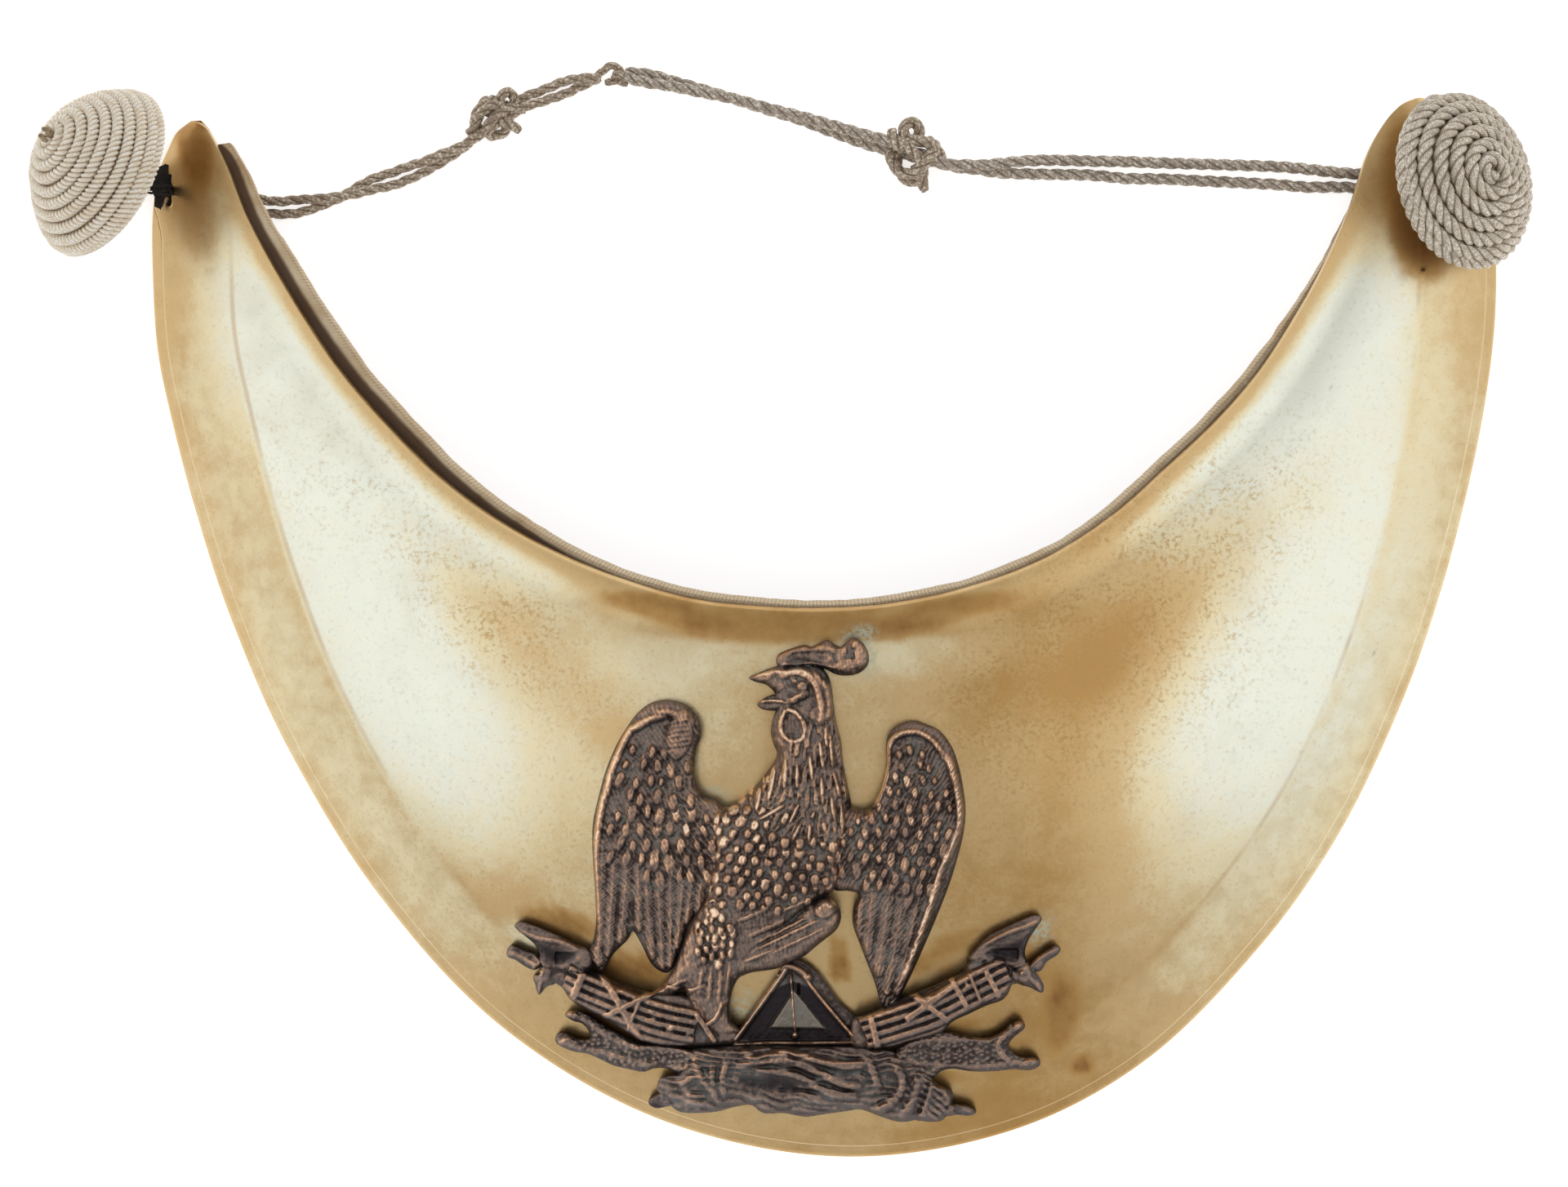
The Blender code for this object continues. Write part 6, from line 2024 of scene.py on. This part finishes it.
# The hands and sleeves over a third bundle.
HANDS: Outline = (
    (-10.2, -47.5), (-7.9, -47.1), (-4.7, -46.9), (-0.6, -46.9), (3.9, -47), (8.5, -47), (11.9, -47.4),
    (14.1, -48.5), (15.9, -49.6), (16.8, -50.9), (16.3, -53), (15.4, -55), (13.4, -55.6), (11.1, -55),
    (8.9, -54.2), (7, -54.4), (4.8, -54.7), (2.6, -55), (0.3, -54.6), (-2, -54.6), (-3.4, -53.7),
    (-5.2, -53.9), (-7, -54.4), (-8.8, -54.6), (-10.8, -54.6), (-11.9, -54.2), (-12.9, -53), (-13.8, -52.2),
    (-13.8, -51.3), (-13.2, -50.5), (-11.6, -50.1), (-10.5, -48.9),
)
ROD_END_LEFT: Outline = (
    (-12.3, -52.6), (-13.2, -52.3), (-14, -52.6), (-14.7, -53), (-14.8, -53.6), (-14, -54.1),
    (-12.8, -53.9), (-11.7, -53.6),
)
ROD_END_RIGHT: Outline = (
    (16.3, -50.9), (17.6, -51.4), (18.9, -52.1), (19.1, -53), (18.7, -54.4), (17.7, -55.5), (15.8, -55.5),
    (14.7, -55.1), (15.4, -53),
)
SPIKE_RIGHT: Outline = (
    (18.1, -53.6), (19.8, -53.6), (21.2, -53.9), (21.7, -54.5), (20.9, -54.9), (19.6, -54.8), (18.1, -54.9),
)
HANDS_SPINE: Rows = (
    (-13, -52.3, 1.8, 0.9), (-9.7, -51.4, 2.6, 1.6), (-5, -50.6, 2.7, 2), (0, -50.7, 2.9, 2.2),
    (5, -50.8, 2.9, 2.2), (9, -51.2, 2.7, 1.8), (13.5, -52.3, 2.4, 1.5), (17, -53.4, 1.9, 1),
    (20.8, -54.2, 1.2, 0.5), (-13.9, -53.4, 1.2, 0.5),
)
PALM_SHADE: Outline = ((-4.7, -49.8), (0.5, -50), (2.4, -51.4), (2, -52.9), (-2.5, -52.7), (-5, -51.5))
HAND_FOLDS: tuple[Fold, ...] = (
    (((-4.1, -47.7), (-2.9, -48.5), (-1.1, -48), (0.7, -47.8), (3, -48.3), (5.3, -48.9), (7.6, -49.2),
      (9.6, -48.9)), 0.612, 0.605, 0.495, 0.9),
    (((-4.7, -49.2), (-2.5, -48.7), (0.3, -48.6), (2.6, -49.2), (4.8, -50.3), (6.6, -51.2),
      (8.5, -51.6)), 0.54, 0.55, 0.33, 0.9),
    (((-2.5, -50), (0.3, -50), (2.6, -50.7), (3.9, -51.6), (5.7, -52.4),
      (8, -52.7)), 0.54, 0.495, 0.2475, 0.9),
    (((-5.2, -50.7), (-2.9, -51.5), (-0.2, -52.2), (2.6, -52.6), (4.8, -53.3)), 0.54, 0.385, 0.165, 0.9),
    (((-6.1, -48.9), (-6.6, -50.5), (-6.5, -52.6)), 0.54, 0.44, 0.22, 0.9),
    (((9.6, -48.7), (10.3, -50.2), (10.7, -51.6)), 0.612, 0.55, 0.275, 0.9),
    (((12.6, -48.9), (13.5, -51.2), (12.6, -53), (10.3, -54.4)), 0.648, 0.605, 0.3025, 0.9),
    (((15.3, -50.7), (14.7, -53), (13.5, -54.8)), 0.612, 0.55, 0.2475, 0.9),
    (((-9.7, -49.2), (-8.8, -50.7), (-7, -53)), 0.54, 0.55, 0.2475, 0.9),
    (((-7.7, -49.4), (-7.7, -51.2), (-7, -51.6)), 0.54, 0.55, 0.275, 0.9),
    (((-11.1, -51.2), (-9.7, -50.5), (-7.9, -50.4)), 0.432, 0.44, 0.2475, 0.9),
    (((-10.7, -52.1), (-9.9, -52.8), (-8.8, -52.6)), 0.432, 0.44, 0.22, 0.9),
    (((-12.5, -52.4), (-10.8, -53), (-9, -53.6)), 0.396, 0.33, 0.1375, 0.9),
    (((16.7, -51.2), (16.3, -53), (15.6, -55.1)), 0.432, 0.44, 0.1925, 0.9),
    (((17.6, -51.6), (18.5, -53), (18.9, -54.6)), 0.432, 0.385, 0.1925, 0.9),
    (((19.6, -53.6), (21.6, -54.5)), 0.36, 0.22, 0.11, 0.9),
)
LONG_PLUME = Plume(
    lift=0.46, crown=0.75, bead=0.0, flutes=0.0, shaft=0.12, barbs=0.09, barb_pitch=0.42, wear_and_glint=0.0
)
COVERT_PLUME = Plume(lift=0.32, crown=0.4, bead=0.36, bead_width=0.62, bead_reach=0.33, barbs=0.06, wear_and_glint=0.70)
SCALE_PLUME = Plume(lift=0.22, crown=0.6, bead=0.46, bead_width=0.76, bead_reach=0.30, wear_and_glint=0.95)
THIGH_PLUME = Plume(lift=0.24, crown=0.6, bead=0.42, bead_width=0.88, flute_count=2, wear_and_glint=1.15)
HACKLE = Plume(lift=0.20, crown=0.7, bead=0.42, bead_width=0.9, bead_reach=0.40, flutes=0.0, wear_and_glint=0.90)
STREAK = Plume(lift=0.08, crown=0.7, bead=0.24, bead_width=0.85, bead_reach=0.42, flutes=0.0, wear_and_glint=0.34)
PEBBLE = Plume(lift=0.06, crown=0.4, bead=0.20, bead_width=0.8, flutes=0.0, wear_and_glint=0.12)


@dataclass(frozen=True)
class RodBundle:
    """A bundle of rods round an axe, bound with straps."""

    outlines: tuple[Outline, ...]  # the rods, the axe, the pike and the hook
    spine: Rows
    axis: Rows
    straps: Rows
    hub: tuple[float, float]
    squares: Rows
    axe_hollow: Outline
    ridges: tuple[Rows, ...]


BUNDLES = {
    Side.LEFT: RodBundle(
        outlines=(
            ((-26.7, -38), (-24.3, -38.5), (-22.3, -38.6), (-20.2, -38.9), (-18.8, -39.7), (-16.9, -40.4),
             (-14.7, -41), (-12.3, -41.1), (-9.7, -41.6), (-7, -43), (-5.2, -44.8), (-5, -46.7),
             (-8.8, -47.1), (-12.5, -47.1), (-15.2, -46.7), (-16.8, -45.8), (-18.4, -44.8), (-20.2, -43.8),
             (-22.3, -42.7), (-23.6, -41.8), (-24.3, -40.7), (-25.2, -40.1), (-26.7, -39.9)),
            ((-29.7, -33.6), (-28.9, -33.2), (-27.5, -33.6), (-26, -34.2), (-24.1, -35), (-22.7, -35.7),
             (-21.3, -36.4), (-20.9, -38), (-21.9, -39.1), (-24.3, -38.9), (-26.1, -38.6), (-27, -37.8),
             (-27, -36.7), (-27.5, -35.7), (-28.4, -34.9), (-29.3, -34.2)),
            ((-30.6, -36.6), (-30.2, -35.9), (-29.5, -36), (-28.4, -36.5), (-27.3, -36.9), (-26.5, -37.8),
             (-27.4, -38.6), (-28.4, -38.3), (-29.6, -37.5), (-30.4, -37.2)),
            ((-27.5, -39.1), (-27.4, -40.3), (-27, -41.4), (-26.2, -40.5), (-25.2, -40.1), (-25.4, -38.9)),
        ),
        spine=((-28, -34.6, 1.3, 0.5), (-25.2, -36, 1.5, 0.7), (-29.5, -37, 1.2, 0.5),
               (-26.7, -38.9, 1.9, 0.9), (-26.8, -41, 1.1, 0.5), (-23, -39.5, 2, 1.2),
               (-18, -42.2, 2.3, 1.7), (-12, -44.2, 2.3, 1.7), (-7, -45.4, 2, 1.4)),
        axis=((-24.3, -40.3), (-21.9, -41.5), (-17.9, -43.1), (-13.8, -44.5), (-9.7, -45.4)),
        straps=((-19.9, -39.1, -15.7, -46.4, 0.64), (-19.6, -43.8, -14.1, -41, 0.55),
                (-22.1, -39.1, -23.4, -42.2, 0.73), (-9.3, -43.7, -7.5, -46.4, 0.55),
                (-15.8, -42.1, -17.2, -45.4, 0.36)),
        hub=(-26.7, -38.9),
        squares=(
            (-14.5, -44.1, 0.6, 0.3, 15, 0.6), (-12.3, -45, 0.7, 0.5, 30, 0.7),
            (-10.3, -45.6, 0.4, 0.4, 0, 0.6),
        ),
        axe_hollow=((-28.5, -34.3), (-25.7, -35.3), (-22.5, -36.4), (-23.1, -37.9), (-25.6, -38.4),
                    (-27.1, -37.1)),
        ridges=(
            ((-28.9, -34.2), (-27.5, -34.9), (-26, -35.2), (-24.3, -35.5), (-22.7, -36.2)),
            ((-28.9, -34.2), (-27.8, -36.2), (-26.7, -37.8), (-25.6, -38.5)),
            ((-30.1, -36.7), (-28.9, -37.2), (-27.5, -38), (-26.5, -38.7)),
            ((-26.9, -41), (-26.8, -40.2), (-26.4, -39.3)),
        ),
    ),
    Side.RIGHT: RodBundle(
        outlines=(
            ((7.7, -44.2), (9.4, -43.5), (11.2, -42.7), (13, -41.8), (14.8, -41.1), (16.8, -40.3),
             (18.5, -39.5), (20.2, -38.7), (20.8, -37.7), (22.1, -37.2), (24.1, -37.3), (25.8, -38.3),
             (27, -39.1), (26.3, -40), (25.6, -40.2), (25.1, -41.3), (24.3, -42), (22.8, -42.5),
             (20.9, -43.4), (19, -44.3), (17.8, -45.5), (15.8, -46.2), (13.9, -46.7), (11.7, -47.3),
             (8, -47.4)),
            ((28.9, -32.8), (28.1, -32.4), (26.5, -33), (24.7, -33.8), (23, -34.7), (21.8, -35.9),
             (20.8, -37.2), (21.7, -38.2), (23.8, -38), (25.8, -38.6), (27.2, -38), (27, -36.6),
             (27.4, -35.2), (28.1, -34.1)),
            ((27.4, -38.3), (28.3, -37.2), (29.4, -36.4), (30.4, -35.8), (31, -36.2), (30.6, -36.9),
             (29.5, -37.6), (28.7, -38.7)),
            ((25.8, -38.5), (27.2, -37.6), (28.1, -38.7), (29.1, -40.2), (28.9, -41.1), (27.6, -40.5),
             (26.2, -40)),
        ),
        spine=((28, -33.6, 1.3, 0.5), (25.3, -35.4, 1.5, 0.7), (29.9, -36.7, 1.2, 0.5),
               (26.7, -38.9, 1.9, 0.9), (28.5, -40.6, 1.1, 0.5), (23.5, -40, 2, 1.2), (18, -42.4, 2.3, 1.7),
               (12, -44.6, 2.3, 1.7), (9, -45.5, 2, 1.4)),
        axis=((9.4, -46), (13, -44.9), (17.6, -43.3), (21.7, -41.1), (25.3, -39.3)),
        straps=((14.1, -43.9, 19, -40.3, 0.64), (14.1, -40.9, 18.5, -44.2, 0.55),
                (9.9, -43.9, 10.8, -47.6, 0.64), (18.9, -39.6, 20.5, -42.5, 0.55),
                (22.8, -38.9, 24.1, -41.4, 0.55), (20.9, -39.1, 22.1, -42, 0.36)),
        hub=(26.7, -38.9),
        squares=((20.6, -40.2, 0.3, 0.9, 30, 0.5),),
        axe_hollow=((22.2, -36.8), (24.6, -35.2), (27.8, -34.1), (27.5, -35.9), (26.9, -37.7), (24.6, -38)),
        ridges=(
            ((28.5, -33.1), (27.1, -33.7), (25.6, -34.2), (24, -34.9), (22.6, -35.7)),
            ((28.5, -33.1), (28.1, -34.9), (27.6, -36.6), (26.9, -38.2)),
            ((30.5, -36.3), (29.1, -36.9), (27.8, -37.8), (26.7, -38.9)),
            ((28.8, -40.9), (28.3, -40.1), (27.2, -39.1)),
        ),
    ),
}


@dataclass(frozen=True)
class CockBadge:
    """A cock with open wings on a carpenter's level, two bundles of rods, ribbons and joined hands."""

    ground: Ground
    finish: Material
    pitch: float = 0.092
    wall: float = 0.85
    low_wall: float = 0.75

    def relief(self, name: str, wall: float, *outlines: Outline) -> Relief:
        """Starts a casting."""
        return Relief(f"badge_{name}", self.ground, outlines, self.pitch, wall)

    def wing_left(self) -> None:
        """The wing on the left."""
        wing = self.relief("wing_left", self.wall, WING_LEFT)
        wing.mass(WING_LEFT_SPINE)
        wing.shafts(LEFT_PRIMARIES, LONG_PLUME)
        wing.field(LEFT_FIELD, LEFT_FLOW, (1.66, 1.72), COVERT_PLUME)
        wing.ridge(LEFT_WING_RIDGE, half=0.55, height=0.60, wear_and_glint=0.50, taper=1.5)
        wing.boss(((-11.3, -12.4, 2.9, 1.5, 78, 0.75),), wear_and_glint=0.25)
        for k in range(7):
            y = -10.4 - 0.55 * k
            wing.ridge(((-12.6, y - 0.25), (-10.2, y)), half=0.16, height=-0.12, wear_and_glint=0.0, taper=0.2)
        wing.ridge(WING_HEAD_RIDGES, half=0.50, height=0.50, wear_and_glint=0.45, taper=0.8)
        wing.hatch(heading_deg=-58, pitch=0.44, height=0.10)
        wing.speckle(size=0.55, height=0.10, seed=41)
        wing.cast(self.finish, dim=0.0)

    def wing_right(self) -> None:
        """The wing on the right."""
        wing = self.relief("wing_right", self.wall, WING_RIGHT)
        wing.mass(WING_RIGHT_SPINE)
        wing.shafts(RIGHT_PRIMARIES, LONG_PLUME)
        wing.field(RIGHT_FIELD, RIGHT_FLOW, (1.52, 1.50), COVERT_PLUME)
        wing.ridge(RIGHT_WING_RIDGE, half=0.42, height=0.62, wear_and_glint=0.62, taper=0.8)
        wing.ridge(RIGHT_WING_EDGE, half=0.56, height=0.74, wear_and_glint=0.85, taper=2.5)
        wing.hatch(heading_deg=-120, pitch=0.44, height=0.09)
        wing.speckle(size=0.55, height=0.10, seed=43)
        wing.cast(self.finish)

    def cock(self) -> None:
        """The head, neck, body and legs."""
        bird = self.relief("cock", self.wall, TRUNK, RAISED_LEG, COMB, BEAK_UPPER, BEAK_LOWER)
        bird.mass(COCK_SPINE)
        bird.shafts(LEG_STREAKS, STREAK)
        bird.field(CHEST, CHEST_FLOW, (1.42, 1.30), SCALE_PLUME)
        bird.field(THIGH, ((-7.0, -34.0, -78, 1.0, 1.1),), (0.95, 0.98), THIGH_PLUME)
        bird.field(NECK, NECK_FLOW, (0.92, 2.6), STREAK)
        bird.shafts(HACKLES, HACKLE)
        bird.hollow(EYE, depth=0.55, slope=0.4, soot=0.65)
        bird.hollow(EAR, depth=0.35, slope=0.3, soot=0.45)
        bird.hollow(WATTLE_DISH, depth=0.10, slope=0.4, soot=0.25)
        bird.hollow(COMB_HOLLOW, depth=0.55, slope=0.5, soot=0.85)
        bird.boss(HEAD_BOSSES, wear_and_glint=0.10)
        bird.boss(COMB_LOBES, wear_and_glint=0.30)
        bird.folds(COCK_FOLDS)
        bird.boss(((4.9, -31.5, 1.5, 1.15, 40, 0.85),), wear_and_glint=0.4)
        bird.boss(((5.5, -31.3, 0.55, 0.55, 0, 1.15), (4.3, -31.6, 0.45, 0.6, 20, 1.05)), wear_and_glint=0.95)
        bird.hatch(heading_deg=-80, pitch=0.42, height=0.06)
        bird.speckle(size=0.50, height=0.10, seed=45)
        bird.cast(self.finish, dim=-0.06)

    def rods(self, side: Side) -> None:
        """The bundle of rods on one side."""
        bundle = BUNDLES[side]
        rods = self.relief(f"rods_{side.value}", self.wall, *bundle.outlines)
        rods.mass(bundle.spine)
        rods.flutes(bundle.axis, half=2.6, pitch=1.0, height=0.62, wear_and_glint=0.22)
        rods.hollow(bundle.axe_hollow, depth=0.4, slope=1.1, soot=0.9)
        rods.straps(bundle.straps, height=0.85, wear_and_glint=0.36)
        for path in bundle.ridges:
            rods.ridge(path, half=0.34, height=0.30, wear_and_glint=0.34, taper=0.6)
        rods.boss(((*bundle.hub, 1.15, 1.15, 0, 0.5),), wear_and_glint=0.1)
        rods.boss(((*bundle.hub, 0.42, 0.42, 0, 0.95),), wear_and_glint=0.6)
        rods.boss(bundle.squares, wear_and_glint=0.6)
        rods.speckle(size=0.45, height=0.07, seed=47)
        rods.cast(self.finish, dim=0.14)

    def level(self) -> None:
        """The carpenter's level with its plumb line."""
        level = self.relief("level", self.low_wall, LEVEL)
        level.mass(((0.0, -40.0, 0.85, 0.4), (1.5, -45.0, 0.85, 0.4)))
        level.hollow(((1.3, -39.6), (-4.8, -46.3), (7.8, -46.2)), depth=0.35, slope=0.3, soot=0.95)
        level.plate(LEVEL_PLATE, height=0.30)
        level.folds(LEVEL_FOLDS)
        level.boss(((-0.8, -38.9, 0.5, 0.45, 0, 1.1), (3.0, -39.3, 0.55, 0.4, -40, 1.1)), wear_and_glint=0.7)
        level.boss(((1.5, -45.8, 0.42, 0.42, 0, 1.0),), wear_and_glint=0.9)
        level.speckle(size=0.35, height=0.05, seed=49)
        level.cast(self.finish, fade=0.12)

    def ribbons(self) -> None:
        """The two ribbons."""
        ribbons = self.relief("ribbons", self.low_wall, RIBBON_LEFT, RIBBON_RIGHT)
        ribbons.mass(RIBBON_SPINE)
        ribbons.field(RIBBON_LEFT, ((-18.0, -47.0, -20, 0.8, 1.0),), (0.62, 0.62), PEBBLE)
        ribbons.field(RIBBON_RIGHT, ((20.0, -48.0, 0, 0.8, 1.0),), (0.62, 0.62), PEBBLE)
        for path in RIBBON_EDGES:
            ribbons.ridge(path, half=0.42, height=0.28, wear_and_glint=0.16, taper=0.6)
        for path in RIBBON_FOLDS:
            ribbons.ridge(path, half=0.50, height=0.46, wear_and_glint=0.28, taper=0.6)
        ribbons.boss(RIBBON_TIPS, wear_and_glint=0.5)
        ribbons.speckle(size=0.42, height=0.12, seed=51)
        ribbons.cast(self.finish, dim=0.26)

    def hands(self) -> None:
        """The joined hands over a third bundle."""
        hands = self.relief("hands", self.wall, HANDS, ROD_END_LEFT, ROD_END_RIGHT, SPIKE_RIGHT)
        hands.mass(HANDS_SPINE)
        hands.flutes(((14.4, -51.2), (18.6, -54.6)), half=1.5, pitch=0.7, height=0.35, wear_and_glint=0.14)
        hands.folds(HAND_FOLDS)
        hands.hatch(heading_deg=-7, pitch=0.78, height=0.13)
        hands.hollow(PALM_SHADE, depth=0.35, slope=1.2, soot=0.7)
        hands.speckle(size=0.5, height=0.09, seed=53)
        hands.cast(self.finish, dim=0.32)

    def build(self) -> None:
        """Casts the badge."""
        for part in (self.cock, self.wing_left, self.wing_right, self.level, self.ribbons, self.hands):
            part()
        for side in Side:
            self.rods(side)


def main() -> None:
    """Builds the studio and the gorget."""
    logging.basicConfig(level=logging.INFO, format="%(name)s %(message)s")
    studio = Studio()
    studio.camera()
    studio.table()
    studio.lights()
    NeckTie().build({Side.LEFT: LEFT_CORD.make(), Side.RIGHT: RIGHT_CORD.make()})
    ground = BrassPlate().build(WornBrass().make())
    LeatherLining().build(OldLeather().make())
    linen, black = LINEN.make(), BLACK.make()
    for button, winding in zip(BUTTONS, (LEFT_WINDING, RIGHT_WINDING), strict=True):
        button.build_winding(winding.make())
        button.build_core(linen)
        slit = SLITS[button.side]
        top_height = ground.above(slit.middle[0] + slit.width, slit.middle[1])
        ButtonThread(button, slit, top_height).build(black)
    BUTTONS[0].build_tip(linen)
    CockBadge(ground, PatinatedBronze().make()).build()


if __name__ == "__main__":
    main()
